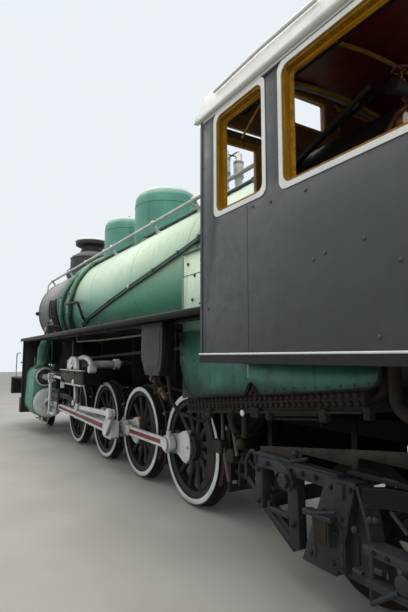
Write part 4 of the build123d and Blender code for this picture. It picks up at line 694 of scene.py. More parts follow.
# =============================================================== the CAD nodes that stay
FINISH = {
    m_boiler: ["boiler_barrel", "firebox"], m_dome: ["sand_dome", "steam_dome"], m_green: ["steam_pipes"], m_skirt: ["firebox_skirt"],
    m_casing: ["cylinder_left", "cylinder_right"],
    m_smoke: ["smokebox", "smokebox_front", "smokebox_door"], m_chim: ["chimney", "headlamp"],
    m_cabside: ["cab_side_left", "cab_side_right"], m_cabfront: ["cab_front"], m_cab: ["cab_posts"], m_roof: ["cab_roof"], m_rail: ["handrails"],
    m_cover: ["cylinder_covers"], m_xhead: ["crosshead_left", "crosshead_right"], m_shaft: ["reversing_shaft"], m_bracket: ["motion_brackets"],
    m_ash: ["ash_pan"], m_pan: ["ash_pan_sides"], m_ring: ["foundation_ring"],
    m_white: ["valve_gear_left", "valve_gear_right",
              "main_rod_left", "main_rod_right", "side_rod_left", "side_rod_right"], m_silver: ["safety_valves"],
    m_black: ["running_board_left", "running_board_right", "front_platform", "front_steps", "cab_steps", "buffer_beam", "guide_bars"],
    m_box: ["side_boxes"], m_floorw: ["cab_floor"], m_seat: ["cab_seats"],
    m_frame: ["main_frame", "driving_axleboxes", "drag_box", "front_coupler", "pony_truck_frame", "waist_sheets"],
    m_spring: ["driver_springs", "trailing_springs"], m_truck: ["trailing_truck_frame"], m_rust: ["brake_gear"],
    m_wheel: ["wheelset_1", "wheelset_2", "wheelset_3", "wheelset_4", "pony_wheelset", "trailing_wheelset"],
}
FINISH = {m: [n for n in v if n in NODES] for m, v in FINISH.items()}
EDGE = {"main_frame": 0.004, "driving_axleboxes": 0.005, "driver_springs": 0.003, "brake_gear": 0.004, "buffer_beam": 0.005, "front_coupler": 0.008,
        "drag_box": 0.005, "cab_steps": 0.002, "front_steps": 0.002, "cylinder_left": 0.006, "cylinder_right": 0.006, "side_boxes": 0.008, "guide_bars": 0.004,
        "motion_brackets": 0.003, "reversing_shaft": 0.004, "valve_gear_left": 0.004, "valve_gear_right": 0.004, "crosshead_left": 0.004, "crosshead_right": 0.004,
        "pony_truck_frame": 0.005, "trailing_truck_frame": 0.005, "trailing_springs": 0.002, "cab_seats": 0.006, "cab_side_left": 0.003, "cab_side_right": 0.003,
        "ash_pan": 0.004, "foundation_ring": 0.004, "cab_front": 0.003, "cab_posts": 0.004, "smokebox_door": 0.003, "smokebox_front": 0.003}
for mat, names in FINISH.items():
    for nm in names:
        ob = NODES[nm]
        me = ob.data
        me.materials.clear()
        me.materials.append(mat)
        w = ob.modifiers.new("weld", "WELD")
        w.merge_threshold = 0.00002
        if nm in EDGE:
            b = ob.modifiers.new("edge", "BEVEL")
            b.width, b.segments, b.limit_method, b.angle_limit = EDGE[nm], 2, "ANGLE", math.radians(40)
            b.harden_normals = False
        me.polygons.foreach_set("use_smooth", [True] * len(me.polygons))
left_over = sorted(set(NODES) - {n for v in FINISH.values() for n in v})
assert not left_over, left_over



# =============================================================== driving wheels
AX = H(550)
DRIVER = {4: 0.0, 3: 1295.0, 2: 2590.0, 1: 4030.0}
PIN = {1: 0.0, -1: -90.0}
CR = 0.305


def wheel_parts(P, xc, s, pin, main):
    """One driving wheel: 0 dark, 1 white, 2 steel, 3 brown weight, 4 bronze."""
    o, d = (xc, 0, AX), (0, s, 0)
    P.add(lathe(o, d, [(.482, .4632), (.570, .4632), (.578, .473), (.5755, .486), (.566, .494), (.554, .500), (.548, .584), (.545, .5915), (.540, .5925),
                       (.482, .5925)], 96, closed=True), 2)
    P.add(lathe(o, d, [(.4915, .590), (.4915, .5945), (.4935, .5958), (.5375, .5958), (.5405, .5940), (.5405, .590)], 96, closed=True), 1)
    P.add(lathe(o, d, [(.4305, .480), (.436, .468), (.483, .465), (.483, .582), (.476, .584), (.470, .578), (.438, .574), (.4305, .566)], 96, closed=True), 0)
    for k in range(12):
        P.add(spoke((xc, AX), pin + 15 + 30 * k, .105, .436, .038, .025, s * .488, s * .556), 0)
    P.add(lathe(o, d, [(0, .455), (.118, .455), (.128, .463), (.134, .500), (.130, .590), (.122, .602), (.092, .605), (.088, .612), (.060, .612), (.056, .606), (0, .606)], 40), 0)
    # crescent balance weight opposite the pin
    a = math.radians(pin + 180)
    outer, inner = [], []
    for k in range(25):
        g = a + math.radians(-62 + 124 * k / 24)
        outer.append((xc + .434 * math.cos(g), AX + .434 * math.sin(g)))
    for k in range(25):
        g = a + math.radians(62 - 124 * k / 24)
        t = 1 - (abs(62 - 124 * k / 24) / 62) ** 2
        r = .425 - .13 * (0.35 + 0.65 * t)
        inner.append((xc + r * math.cos(g), AX + r * math.sin(g)))
    P.add(prism(outer + inner, "y", s * .474, s * .578, .006), 3)
    # fan shaped crank boss, wide at the hub
    fan = [(.305 + .085 * math.cos(g), .085 * math.sin(g)) for g in [math.radians(-100 + 200 * k / 14) for k in range(15)]]
    fan += [(.20, .108), (.12, .150), (.045, .166)]
    fan += [(.045 - .085 * math.cos(g) * 1.0, .160 * math.sin(g)) for g in [math.radians(78 - 156 * k / 12) for k in range(13)]]
    fan += [(.045, -.166), (.12, -.150), (.20, -.108)]
    P.add(prism(turn2(fan, pin, xc, AX), "y", s * .560, s * .624, .006), 1)
    P.add(prism(turn2([(0, -.120), (.305, -.098), (.305, .098), (0, .120)], pin, xc, AX), "y", s * .485, s * .565, .006), 0)
    px, pz = turn2([(CR, 0)], pin, xc, AX)[0]
    po = (px, 0, pz)
    P.add(lathe(po, d, [(0, .480), (.100, .480), (.102, .600), (.098, .628), (.080, .6335), (.072, .6335), (.070, .640), (.050, .640), (.050, .7395), (0, .7395)], 40), 1)
    if not main:
        P.add(lathe(po, d, [(0, .7352), (.064, .7352), (.066, .7370), (.064, .7399), (.030, .7399), (0, .7399)], 32), 1)
    # small oil plug on the axle end
    P.add(lathe((xc, 0, AX + .0), d, [(0, .604), (.020, .604), (.020, .622), (.014, .628), (0, .628)], 12), 4)
    ex, ez = turn2([(-.02, .145)], pin + (0 if s > 0 else 0), xc, AX)[0]
    P.add(lathe((ex, 0, ez), d, [(0, .575), (.016, .575), (.016, .606), (.010, .613), (0, .613)], 10), 4)


for n, dd in DRIVER.items():
    P = Piece("driving_wheels_%d" % n, "wheelset_%d" % n, [m_wheel, m_white, m_tread, m_weight, m_bronze], "wheel_dark", ["wheelset_%d" % n])
    xc = D(dd)
    P.add(lathe((xc, -.60, AX), (0, 1, 0), [(0, 0), (.078, 0), (.0795, .004), (.0795, .14), (.0795, .17), (.076, .30), (.076, .90), (.0795, 1.03), (.0795, 1.196), (.078, 1.2), (0, 1.2)], 40), 0)
    for s in (1, -1):
        wheel_parts(P, xc, s, PIN[s], n == 3)
    P.done()


# =============================================================== coupling and main rods
def fluted(P, p, ang, u0, u1, h0, h1, y0, y1, end0, end1, steps=1):
    """Bar along a line in the xz plane, I section with a red flute on both faces."""
    t = abs(y1 - y0)
    ys, ye = min(y0, y1), max(y0, y1)

    def hh(u):
        return h0 + (h1 - h0) * (u - u0) / (u1 - u0)

    def quad(a, b, f0, f1, c0, c1, mat, c=.003):
        P.add(prism(turn2([(a, f0 * hh(a)), (b, f0 * hh(b)), (b, f1 * hh(b)), (a, f1 * hh(a))], ang, p[0], p[1]), "y", c0, c1, c), mat)
    quad(u0, u0 + end0, -1, 1, ys, ye, 0)
    quad(u1 - end1, u1, -1, 1, ys, ye, 0)
    a, b = u0 + end0 - .002, u1 - end1 + .002
    quad(a, b, .46, 1, ys, ye, 0)
    quad(a, b, -1, -.46, ys, ye, 0)
    quad(a - .01, b + .01, -.60, .60, ys + .32 * t, ye - .32 * t, 1, 0)


def eye(P, x, z, s, y0, y1, r, rings, mat=0, n=40):
    """Rod end round a pin with stepped rings on its outer face."""
    prof = [(.052, y0), (r - .004, y0), (r, y0 + .004), (r, y1 - .006), (r - .006, y1)]
    for q, dy in rings:
        prof += [(q, y1), (q - .002, y1 + dy)]
    prof += [(.054, prof[-1][1]), (.052, prof[-1][1] - .002)]
    P.add(lathe((x, 0, z), (0, s, 0), prof, n, closed=True), mat)


for s, side in ((1, "left"), (-1, "right")):
    a = math.radians(PIN[s])
    ox, oz = CR * math.cos(a), AX + CR * math.sin(a)
    P = Piece("side_rod_detail_" + side, "side_rod_" + side, [m_white, m_red, m_steel, m_bronze], "white_paint", ["side_rod_" + side])
    xs = {n: D(d) + ox for n, d in DRIVER.items()}
    for n in DRIVER:
        eye(P, xs[n], oz, s, .646, .722, .106 if n == 3 else .094, [(.084, .004), (.074, .006)])
        P.add(cyl((xs[n], s * .684, oz + .085), (xs[n], s * .684, oz + .138), .030, .024, 16, .003), 0)
        P.add(cyl((xs[n], s * .684, oz + .138), (xs[n], s * .684, oz + .150), .014, .012, 10, .002), 3)
    for i, j in ((4, 3), (3, 2), (2, 1)):
        fluted(P, (xs[i], oz), 0, .07, xs[j] - xs[i] - .07, .052, .052, s * .669, s * .711, .08, .08)
    for n, e in ((3, -1), (3, 1), (2, 1)):
        x = xs[n] + e * .19
        P.add(lathe((x, 0, oz), (0, s, 0), [(0, .656), (.060, .656), (.064, .660), (.064, .718), (.058, .723), (.030, .723), (.028, .727), (0, .727)], 28), 0)
    P.done()

    # main rod with its strap end, gib bolts, and the return crank on its outer journal
    L = 2.770
    wz = H(600)
    wx = xs[3] + math.sqrt(L * L - (wz - oz) ** 2)
    ang = math.degrees(math.atan2(wz - oz, wx - xs[3]))
    P = Piece("main_rod_detail_" + side, "main_rod_" + side, [m_white, m_red, m_steel, m_bronze], "white_paint", ["main_rod_" + side])
    fluted(P, (xs[3], oz), ang, .14, L - .05, .068, .046, s * .823, s * .877, .10, .10)
    y0, y1 = s * .794, s * .906
    P.add(prism(turn2([(-.116, -.086), (-.086, -.116), (.150, -.116), (.150, .116), (-.086, .116), (-.116, .086)], ang, xs[3], oz), "y", y0, y1, .006), 0)
    P.add(prism(turn2([(-.050, -.117), (.048, -.117), (.048, .117), (-.050, .117)], ang, xs[3], oz), "y", s * .8065, s * .8935, .003), 3)
    for u in (.075, .120):
        for v in (-.116, .116):
            q = turn2([(u, v * .92)], ang, xs[3], oz)[0]
            e = turn2([(u, v * 1.16)], ang, xs[3], oz)[0]
            P.add(cyl((q[0], s * .850, q[1]), (e[0], s * .850, e[1]), .020, .018, 6, .002), 2)
    q = turn2([(0, .112)], ang, xs[3], oz)[0]
    P.add(cyl((q[0], s * .85, q[1]), (q[0], s * .85, q[1] + .055), .034, .028, 16, .004), 0)
    P.add(cyl((q[0], s * .85, q[1] + .055), (q[0], s * .85, q[1] + .070), .016, .014, 10, .002), 3)
    P.add(lathe((wx, 0, wz), (0, s, 0), [(.0405, .822), (.070, .822), (.074, .826), (.074, .874), (.070, .878), (.0405, .878)], 36, closed=True), 0)
    P.add(lathe((xs[3], 0, oz), (0, s, 0), [(0, .7452), (.056, .7452), (.058, .748), (.058, .914), (0, .914)], 32), 2)
    ex, ez = (D(1360), H(775)) if s > 0 else (D(1520), H(485))
    ra = math.degrees(math.atan2(ez - oz, ex - xs[3]))
    rl = math.hypot(ex - xs[3], ez - oz)
    pts = [(.078 * math.cos(g), .078 * math.sin(g)) for g in [math.radians(90 + 180 * k / 12) for k in range(13)]]
    pts += [(rl + .054 * math.cos(g), .054 * math.sin(g)) for g in [math.radians(-90 + 180 * k / 12) for k in range(13)]]
    P.add(prism(turn2(pts, ra, xs[3], oz), "y", s * .9145, s * .9535, .005), 0)
    P.add(lathe((xs[3], 0, oz), (0, s, 0), [(0, .950), (.046, .950), (.046, .9530), (0, .9535)], 6), 0)
    P.add(lathe((ex, 0, ez), (0, s, 0), [(0, .950), (.030, .950), (.030, .9535), (0, .9535)], 24), 2)
    P.done()

# =============================================================== carrying wheels
P = Piece("pony_wheels_detail", "pony_wheels", [m_wheel, m_white, m_tread, m_bronze], "wheel_dark", ["pony_wheelset"])
xc, zc = D(6450), H(350)
P.add(lathe((xc, -.604, zc), (0, 1, 0), [(0, 0), (.062, 0), (.065, .004), (.065, .2), (.060, .32), (.060, .888), (.065, 1.0), (.065, 1.204), (.062, 1.208), (0, 1.208)], 36), 0)
for s in (1, -1):
    o, d = (xc, 0, zc), (0, s, 0)
    P.add(lathe(o, d, [(.296, .4632), (.370, .4632), (.378, .473), (.3755, .486), (.364, .495), (.354, .500), (.348, .586), (.342, .5925), (.296, .5925)], 80, closed=True), 2)
    P.add(lathe(o, d, [(.300, .590), (.300, .5945), (.302, .5955), (.338, .5955), (.341, .5940), (.341, .590)], 80, closed=True), 1)
    P.add(lathe(o, d, [(.060, .458), (.098, .458), (.106, .470), (.112, .505), (.200, .522), (.270, .500), (.297, .468), (.297, .586), (.288, .584), (.270, .556),
                       (.200, .545), (.120, .548), (.106, .590), (.098, .604), (.060, .604)], 60, closed=True), 0)
    P.add(lathe(o, d, [(0, .598), (.040, .598), (.040, .606), (.030, .607), (0, .607)], 24), 0)
P.done()

P = Piece("trailing_wheels_detail", "trailing_wheels", [m_wheel, m_white, m_tread, m_bronze], "wheel_dark", ["trailing_wheelset"])
xc, zc = D(-2250), H(430)
P.add(lathe((xc, -.950, zc), (0, 1, 0), [(0, 0), (.057, 0), (.060, .003), (.060, .357), (.075, .362), (.075, .55), (.068, .65), (.068, 1.25), (.075, 1.35), (.075, 1.538), (.060, 1.543), (.060, 1.897), (.057, 1.9), (0, 1.9)], 36), 0)
for s in (1, -1):
    o, d = (xc, 0, zc), (0, s, 0)
    P.add(lathe(o, d, [(.354, .4632), (.450, .4632), (.458, .473), (.4555, .486), (.444, .495), (.434, .500), (.428, .586), (.422, .5925), (.354, .5925)], 88, closed=True), 2)
    P.add(lathe(o, d, [(.320, .478), (.326, .468), (.356, .465), (.356, .582), (.350, .580), (.326, .572), (.320, .562)], 80, closed=True), 0)
    for k in range(10):
        P.add(spoke((xc, zc), 36 * k, .095, .326, .034, .023, s * .490, s * .552), 0)
    P.add(lathe(o, d, [(0, .455), (.104, .455), (.114, .465), (.116, .500), (.112, .590), (.104, .602), (.074, .602), (0, .602)], 36), 0)
P.done()

# =============================================================== boiler fittings
BZ = H(2473)


def onb(d, ang, rho):
    """A point at the angle ang from the top of the boiler, positive to the left side."""
    a = math.radians(ang)
    return (D(d), rho * math.sin(a), BZ + rho * math.cos(a))


def hoop(d0, d1, r0, r1, n=128, c=.002):
    return lathe((D(d0), 0, BZ), (1, 0, 0), [(r0, 0), (r1 - c, 0), (r1, c), (r1, (d1 - d0) / 1000 - c), (r1 - c, (d1 - d0) / 1000), (r0, (d1 - d0) / 1000)], n, closed=True)


def curve(pts, n):
    """Points (d, angle, rho) joined smoothly over the boiler."""
    out = []
    for i in range(len(pts) - 1):
        for k in range(n):
            t = k / n
            out.append(onb(*[a + (b - a) * t for a, b in zip(pts[i], pts[i + 1])]))
    out.append(onb(*pts[-1]))
    return out


def knobs(P, pts, normal, r, mat=0, n=12):
    for p in pts:
        P.add(lathe(p, normal, [(0, -r), (r * .5, -r * .87), (r * .87, -r * .5), (r, 0), (r * .87, r * .5), (r * .5, r * .87), (0, r)], n), mat)


def radial_heads(d_list, angs, rho, r, h, n=6):
    v, f = [], []
    for d in d_list:
        for a in angs:
            p = onb(d, a, rho)
            w = (0, math.sin(math.radians(a)), math.cos(math.radians(a)))
            s, q = lathe(p, w, [(r, -.002), (r * .8, h * .7), (0, h)], n)
            f += [[i + len(v) for i in k] for k in q]
            v += s
    return v, f


P = Piece("boiler_fittings", "engine", [m_band, m_pipe_green, m_line, m_rail, m_bronze, m_black, m_skirt, m_boiler], "boiler_green")
for d in (2950, 1290, -180):
    P.add(hoop(d - 3, d + 3, .7485, .7512), 2)
for d0, d1 in ((4655, 4735), (4120, 4180)):
    P.add(hoop(d0, d1, .7485, .7545), 0)
P.add(hoop(-426, -380, .7485, .7570), 0)
for s in (1, -1):
    # sand pipes down both sides of the boiler, ahead of and beside the sand dome
    P.add(pipe(curve([(3640, s * 14, .800), (3713, s * 34, .800), (3800, s * 60, .795), (3920, s * 83, .795), (4130, s * 106, .795), (4400, s * 127, .795), (4560, s * 136, .795)], 4), .042, 14), 0)
    P.add(pipe(curve([(3720, s * 10, .800), (3900, s * 34, .800), (4120, s * 52, .798), (4480, s * 83, .798), (4690, s * 106, .798), (4870, s * 127, .798), (4960, s * 136, .798)], 4), .042, 14), 0)
    for d, a in ((3800, 60), (3920, 83), (4130, 106), (4260, 62), (4480, 83), (4690, 106)):
        p = onb(d, s * a, .745)
        q = onb(d, s * a, .846)
        P.add(cyl(p, q, .016, .016, 8), 5)
    # two pipes side by side that slope down the barrel from the cab
    run = ((-1440, .700, 2.760), (-900, .732, 2.690), (-532, .750, 2.641), (-127, .766, 2.564), (484, .7715, 2.477), (1230, .7675, 2.382), (2052, .748, 2.277), (3146, .695, 2.138), (3800, .640, 2.030), (4048, .602, 1.975), (4180, .56, 1.90))
    for off, lift in ((0, 0), (.040, .006)):
        pts = []
        for d, y, z in run:
            a = math.atan2(y, z - 2.473) + off
            pts.append((D(d), s * (.776 + lift) * math.sin(a), BZ + (.776 + lift) * math.cos(a)))
        P.add(pipe(pts, .0145 if off else .017, 10, .25), 1)
    for d, y, z in run[2:9]:
        a = math.degrees(math.atan2(y, z - 2.473)) + 1.2
        p, q = onb(d + 60, s * a, .748), onb(d + 60, s * a, .806)
        P.add(cyl(p, q, .028, .022, 8, .003), 3 if d == 1230 else 1)
    # blower pipe high on the barrel, under the handrail
    P.add(pipe([onb(-1440, s * 32, .778), onb(1200, s * 32.5, .778), onb(3500, s * 33, .778), onb(3900, s * 36, .790), onb(4900, s * 36, .805), onb(5200, s * 30, .80)], .021, 10), 1)
    for d in (-900, 100, 1150, 2100, 3100, 4500):
        P.add(cyl(onb(d, s * 32.5, .745), onb(d, s * 32.5, .806), .030, .026, 8, .004), 0)
    # dark bent pipe beside the second sand pipe
    P.add(pipe([onb(4080, s * 94.5, .750), onb(4060, s * 94.5, .830), onb(3420, s * 96, .830), onb(3440, s * 116, .800), onb(3440, s * 124, .765)], .024, 10, .05), 5)
    # joint strip where the wide lower box starts, and the ledge along its top
    P.add(prism([(s * .905, H(1850)), (s * .921, H(1850)), (s * .921, H(2434)), (s * .905, H(2432))], "x", D(-428), D(-408), .002), 0)
    P.add(pipe([(D(-440), s * .925, H(2436)), (D(-830), s * .925, H(2434)), (D(-1430), s * .925, H(2434))], .010, 8), 1)
    P.add(heads([(D(-520), s * .915, H(2330)), (D(-760), s * .915, H(2330)), (D(-640), s * .915, H(2210)), (D(-900), s * .915, H(2210)), (D(-600), s * .915, H(1990)), (D(-980), s * .915, H(1990)),
                 (D(-1200), s * .915, H(2330)), (D(-1200), s * .915, H(1990))], (0, s, 0), .017, .012, 8), 2)
    P.add(prism([(D(-430), H(2228)), (D(-1440), H(2228)), (D(-1440), H(2222)), (D(-430), H(2222))], "y", s * .913, s * .9172, .001), 2)
    # handrail stands with their balls
    for d in (6480, 5050, 3970, 2620, 1090, 30):
        rr = .775 if d > 4740 else .750
        P.add(lathe(onb(d, s * 37.3, rr - .004), (0, s * math.sin(math.radians(37.3)), math.cos(math.radians(37.3))), [(0, 0), (.044, 0), (.044, .010), (.026, .020), (.022, .050), (.019, .105), (0, .105)], 14), 3)
        knobs(P, [onb(d, s * 37.3, .893)], (1, 0, 0), .036, 3, 14)
    knobs(P, [onb(6520, s * 37.3, .893)], (1, 0, 0), .030, 3)
# washout plugs along the top line
for d in (-1050, 700, 2540):
    P.add(lathe((D(d), 0, BZ + .745), (0, 0, 1), [(0, 0), (.060, 0), (.060, .016), (.046, .020), (.046, .034), (0, .034)], 20), 4)
    P.add(lathe((D(d), 0, BZ + .779), (0, 0, 1), [(.022, 0), (.022, .022), (0, .022)], 4), 4)


def saddle(xc, R, lift, r, boiler_r=.750, n=72):
    """Closed bead where a vertical drum meets the boiler."""
    v, f, m = [], [], 8
    pts = []
    for k in range(n):
        g = 2 * math.pi * k / n
        x, y = R * math.cos(g), R * math.sin(g)
        pts.append(Vector((xc + x, y, BZ + math.sqrt(max(0.0, boiler_r ** 2 - y * y)) + lift)))
    for k in range(n):
        w = (pts[(k + 1) % n] - pts[k - 1]).normalized()
        u = Vector((pts[k].x - xc, pts[k].y, 0)).normalized()
        t = w.cross(u).normalized()
        u = t.cross(w).normalized()
        for i in range(m):
            g = 2 * math.pi * i / m
            v.append(tuple(pts[k] + u * (r * math.cos(g)) + t * (r * math.sin(g))))
    for k in range(n):
        for i in range(m):
            k2, i2 = (k + 1) % n, (i + 1) % m
            f.append([k * m + i, k2 * m + i, k2 * m + i2, k * m + i2])
    return v, f


P.add(saddle(D(3300), .412, .004, .018), 0)
P.add(saddle(D(1780), .478, .004, .018), 0)
# seams round the domes' shoulders, and a lid on the sand dome
for xc, R, z in ((D(3300), .4025, BZ + 1.16), (D(1780), .4675, BZ + 1.16)):
    P.add(lathe((xc, 0, z), (0, 0, 1), [(R - .004, 0), (R + .0016, .001), (R + .0016, .003), (R - .004, .004)], 96, closed=True), 6)
P.add(lathe((D(3300), 0, BZ + 1.398), (0, 0, 1), [(0, 0), (.150, 0), (.150, .014), (.130, .022), (0, .026)], 40), 0)
P.add(pipe([(D(3240), 0, BZ + 1.42), (D(3240), 0, BZ + 1.462), (D(3360), 0, BZ + 1.462), (D(3360), 0, BZ + 1.42)], .009, 8, .03), 5)
# whistle and two small steam cocks on the turret at the cab
P.add(lathe((D(-1150), -.18, BZ + .735), (0, 0, 1), [(0, 0), (.045, 0), (.045, .020), (.020, .030), (.020, .110), (.038, .118), (.038, .150), (.012, .156), (.012, .172), (.040, .176), (.040, .290), (.030, .306), (.010, .312), (.010, .335), (0, .335)], 20), 4)
for y in (-.36, .05, .24):
    P.add(lathe((D(-1330), y, BZ + .735 - .12 * y * y), (0, 0, 1), [(0, 0), (.032, 0), (.032, .018), (.016, .026), (.016, .070), (.026, .076), (.026, .110), (.010, .120), (.010, .140), (.034, .142), (.034, .152), (0, .152)], 14), 4)
P.add(lathe((D(-1335), -.42, BZ + .66), (0, 1, 0), [(0, 0), (.055, 0), (.060, .006), (.060, .80), (.055, .806), (0, .806)], 24), 0)
P.done()

# spring casings, levers and drain pipe of the safety valves
P = Piece("safety_valve_trim", "engine", [m_silver, m_steel, m_bronze, m_black], "bare_metal")
for y in (-.095, .095):
    o = (D(75), y, BZ)
    P.add(lathe(o, (0, 0, 1), [(.0455, .930), (.0505, .932), (.0505, .944), (.0455, .946)], 32, closed=True), 1)
    P.add(lathe(o, (0, 0, 1), [(.0575, 1.100), (.0635, 1.102), (.0635, 1.122), (.0575, 1.124)], 32, closed=True), 1)
    P.add(lathe(o, (0, 0, 1), [(.0575, 1.270), (.0630, 1.272), (.0630, 1.296), (.0575, 1.298)], 32, closed=True), 1)
    for k in range(10):
        g = 2 * math.pi * k / 10
        P.add(cyl((D(75) + .0585 * math.cos(g), y + .0585 * math.sin(g), BZ + 1.124), (D(75) + .0585 * math.cos(g), y + .0585 * math.sin(g), BZ + 1.270), .0045, .0045, 6), 0)
    P.add(nuts(ring_of((D(75), y, BZ + .825), (0, 0, 1), .062, 6, .3), (0, 0, 1), .010, .012), 1)
    P.add(cyl((D(75), y, BZ + 1.400), (D(75), y, BZ + 1.432), .014, .010, 10, .002), 2)
P.add(pipe([(D(75) - .10, 0, BZ + 1.36), (D(75) + .02, 0, BZ + 1.36), (D(75) + .15, 0, BZ + 1.35)], .008, 8), 3)
P.add(pipe([(D(75), -.095, BZ + 1.36), (D(75), .095, BZ + 1.36)], .008, 8), 3)
P.add(heads([(D(75) + dx, dy, BZ + .800) for dx in (-.08, .08) for dy in (-.17, 0, .17)], (0, 0, 1), .012, .010, 8), 1)
P.done()

# =============================================================== smokebox, door, chimney and lamp
P = Piece("smokebox_fittings", "engine", [m_smoke, m_black, m_chim, m_rail, m_white, m_steel], "smokebox_black")
angs = [a for a in range(-150, 181, 6)]
P.add(radial_heads((4790, 4850), angs, .775, .011, .008), 0)
P.add(radial_heads((6600,), [a + 3 for a in angs], .775, .011, .008), 0)
P.add(radial_heads((5800,), angs, .775, .009, .006), 0)
P.add(hoop(5795 - 40, 5795 + 40, .7735, .7770), 0)
P.add(hoop(4742, 4768, .7735, .7830), 0)
P.add(hoop(6632, 6660, .7735, .7825), 0)
for s in (1, -1):
    # dark strap and pipes down the side, behind the steam pipe
    for d, r, a0, a1 in ((5060, .030, 80, 126), (5190, .022, 82, 124), (5330, .026, 80, 118)):
        P.add(pipe(curve([(d + 60, s * a0, .775), (d + 20, s * (a0 + 6), .80), (d, s * 95, .802), (d + 30, s * a1, .800)], 4), r, 10), 1)
    P.add(pipe(curve([(5560, s * 78, .79), (5560, s * 96, .80), (5600, s * 122, .80)], 5), .014, 8), 1)
    P.add(cbox(D(5030), D(5380), s * .775, s * .815, H(2470), H(2500), .004), 1)
    # white joint ring and flange of the outside steam pipe
    a = Vector((0, s * (.905 - .690), (1.620 - 2.190))).normalized()
    o = Vector((D(5430), s * .690, H(2190)))
    P.add(lathe(o + a * .060, a, [(.114, 0), (.160, -.004), (.162, .012), (.152, .018), (.114, .020)], 40, closed=True), 2)
    P.add(nuts([tuple(Vector(p)) for p in ring_of(o + a * .078, a, .138, 10)], a, .013, .012), 5)
    knobs(P, [onb(6750 - 60, s * 92, .80)], (1, 0, 0), .045, 1)
    # white edge of the pipe's flange, on the side towards the cab
    P.add(pipe([onb(5430 - 175 * math.cos(math.radians(t)), s * (112 - 12.6 * math.sin(math.radians(t))), .786) for t in range(-40, 91, 10)], .016, 8, .1), 4)
    # pale bracket from the platform to the smokebox, a sheet triangle with a web
    P.add(pipe([(D(6560), s * .62, H(1030)), (D(6420), s * .60, H(2010))], .022, 10), 3)
    P.add(pipe([(D(7060), s * .62, H(1030)), (D(6560), s * .58, H(1960))], .022, 10), 3)
    # handrail down the front
    P.add(pipe([onb(6520, s * 37.3, .893), onb(6640, s * 38, .885), onb(6705, s * 42, .86), (D(6715), s * .600, BZ + .45)], .015, 10, .06), 3)
# ring of bolts round the front plate
P.add(nuts([(D(6700) + .0005, .725 * math.sin(math.radians(a)), BZ + .725 * math.cos(math.radians(a))) for a in range(0, 360, 12)], (1, 0, 0), .013, .011), 5)
# chimney: base bolts, bands and the pale rim of its cap
o = (D(5350), 0, BZ)
P.add(saddle(D(5350), .472, .004, .020, .775), 2)
P.add(lathe(o, (0, 0, 1), [(.4305, 1.046), (.4400, 1.050), (.4400, 1.068), (.4250, 1.078)], 64, closed=True), 2)
P.add(lathe(o, (0, 0, 1), [(.2135, 1.300), (.2300, 1.304), (.2300, 1.322), (.2135, 1.326)], 48, closed=True), 2)
P.add(lathe(o, (0, 0, 1), [(.3415, 1.425), (.3480, 1.430), (.3480, 1.446), (.3300, 1.466), (.3180, 1.472)], 72, closed=True), 3)
P.add(nuts(ring_of((D(5350), 0, BZ + 1.098), (0, 0, 1), .3960, 12), (0, 0, 1), .016, .014), 5)
P.add(lathe(o, (0, 0, 1), [(.176, .62), (.1855, .62), (.1855, 1.484), (.176, 1.484)], 48, closed=True), 1)
P.done()

P = Piece("smokebox_door_fittings", "smokebox_door", [m_smoke, m_steel, m_black, m_rail], "smokebox_black")
dx = D(6660)
P.add(lathe((dx + .060, 0, BZ), (1, 0, 0), [(.572, 0), (.590, 0), (.590, .008), (.580, .014), (.572, .014)], 96, closed=True), 0)
P.add(lathe((dx + .088, 0, BZ), (1, 0, 0), [(.455, .006), (.475, .006), (.475, .014), (.455, .016)], 80, closed=True), 0)
for k in range(10):
    g = math.radians(18 + 36 * k)
    y, z = .545 * math.cos(g), .545 * math.sin(g)
    P.add(lathe((dx + .070, y, BZ + z), (1, 0, 0), [(0, 0), (.026, 0), (.026, .012), (.016, .014), (.016, .034), (0, .036)], 6), 1)
for z in (-.230, .230):
    P.add(heads([(dx + .084, y, BZ + z) for y in (-.56, -.50, -.45)], (1, 0, 0), .012, .010, 8), 1)
# hand wheel on the dart, and a blank round plate
P.add(lathe((dx + .200, 0, BZ), (1, 0, 0), [(.100, -.010), (.112, -.010), (.118, 0), (.112, .010), (.100, .010), (.096, 0)], 48, closed=True), 3)
for k in range(4):
    g = math.radians(45 + 90 * k)
    P.add(cyl((dx + .200, .020 * math.cos(g), BZ + .020 * math.sin(g)), (dx + .200, .104 * math.cos(g), BZ + .104 * math.sin(g)), .008, .008, 8), 3)
P.add(lathe((dx + .205, 0, BZ), (1, 0, 0), [(0, 0), (.030, 0), (.030, .016), (.018, .020), (0, .020)], 6), 1)
P.add(lathe((dx + .112, 0, BZ - .32), (1, 0, 0), [(0, 0), (.105, -.004), (.105, .010), (.098, .012), (.094, .008), (0, .008)], 40), 2)
P.done()

P = Piece("headlamp_detail", "engine", [m_chim, m_glass, m_steel, m_black, m_white], "smokebox_black")
o = (D(6740), 0, BZ + .960)
P.add(lathe(o, (1, 0, 0), [(0, -.004), (.138, -.004), (.138, .006), (.110, .012), (.060, .016), (0, .018)], 48), 1)
P.add(lathe(o, (1, 0, 0), [(.1395, .004), (.1395, .018), (.150, .028), (.170, .024), (.174, .010), (.166, .002)], 56, closed=True), 2)
P.add(lathe((D(6560), 0, BZ + .960), (1, 0, 0), [(.1645, 0), (.1700, .002), (.1700, .020), (.1645, .022)], 56, closed=True), 0)
P.add(lathe((D(6640), 0, BZ + 1.168), (0, 0, 1), [(0, 0), (.078, 0), (.084, .010), (.060, .034), (.030, .044), (0, .046)], 32), 0)
P.add(cbox(D(6600), D(6650), .118, .145, BZ + .78, BZ + .98, .004), 3)
P.add(cbox(D(6600), D(6650), -.145, -.118, BZ + .78, BZ + .98, .004), 3)
P.add(heads([(D(6560) - .001, s * .11, BZ + .775) for s in (1, -1)], (-1, 0, 0), .012, .010, 8), 2)
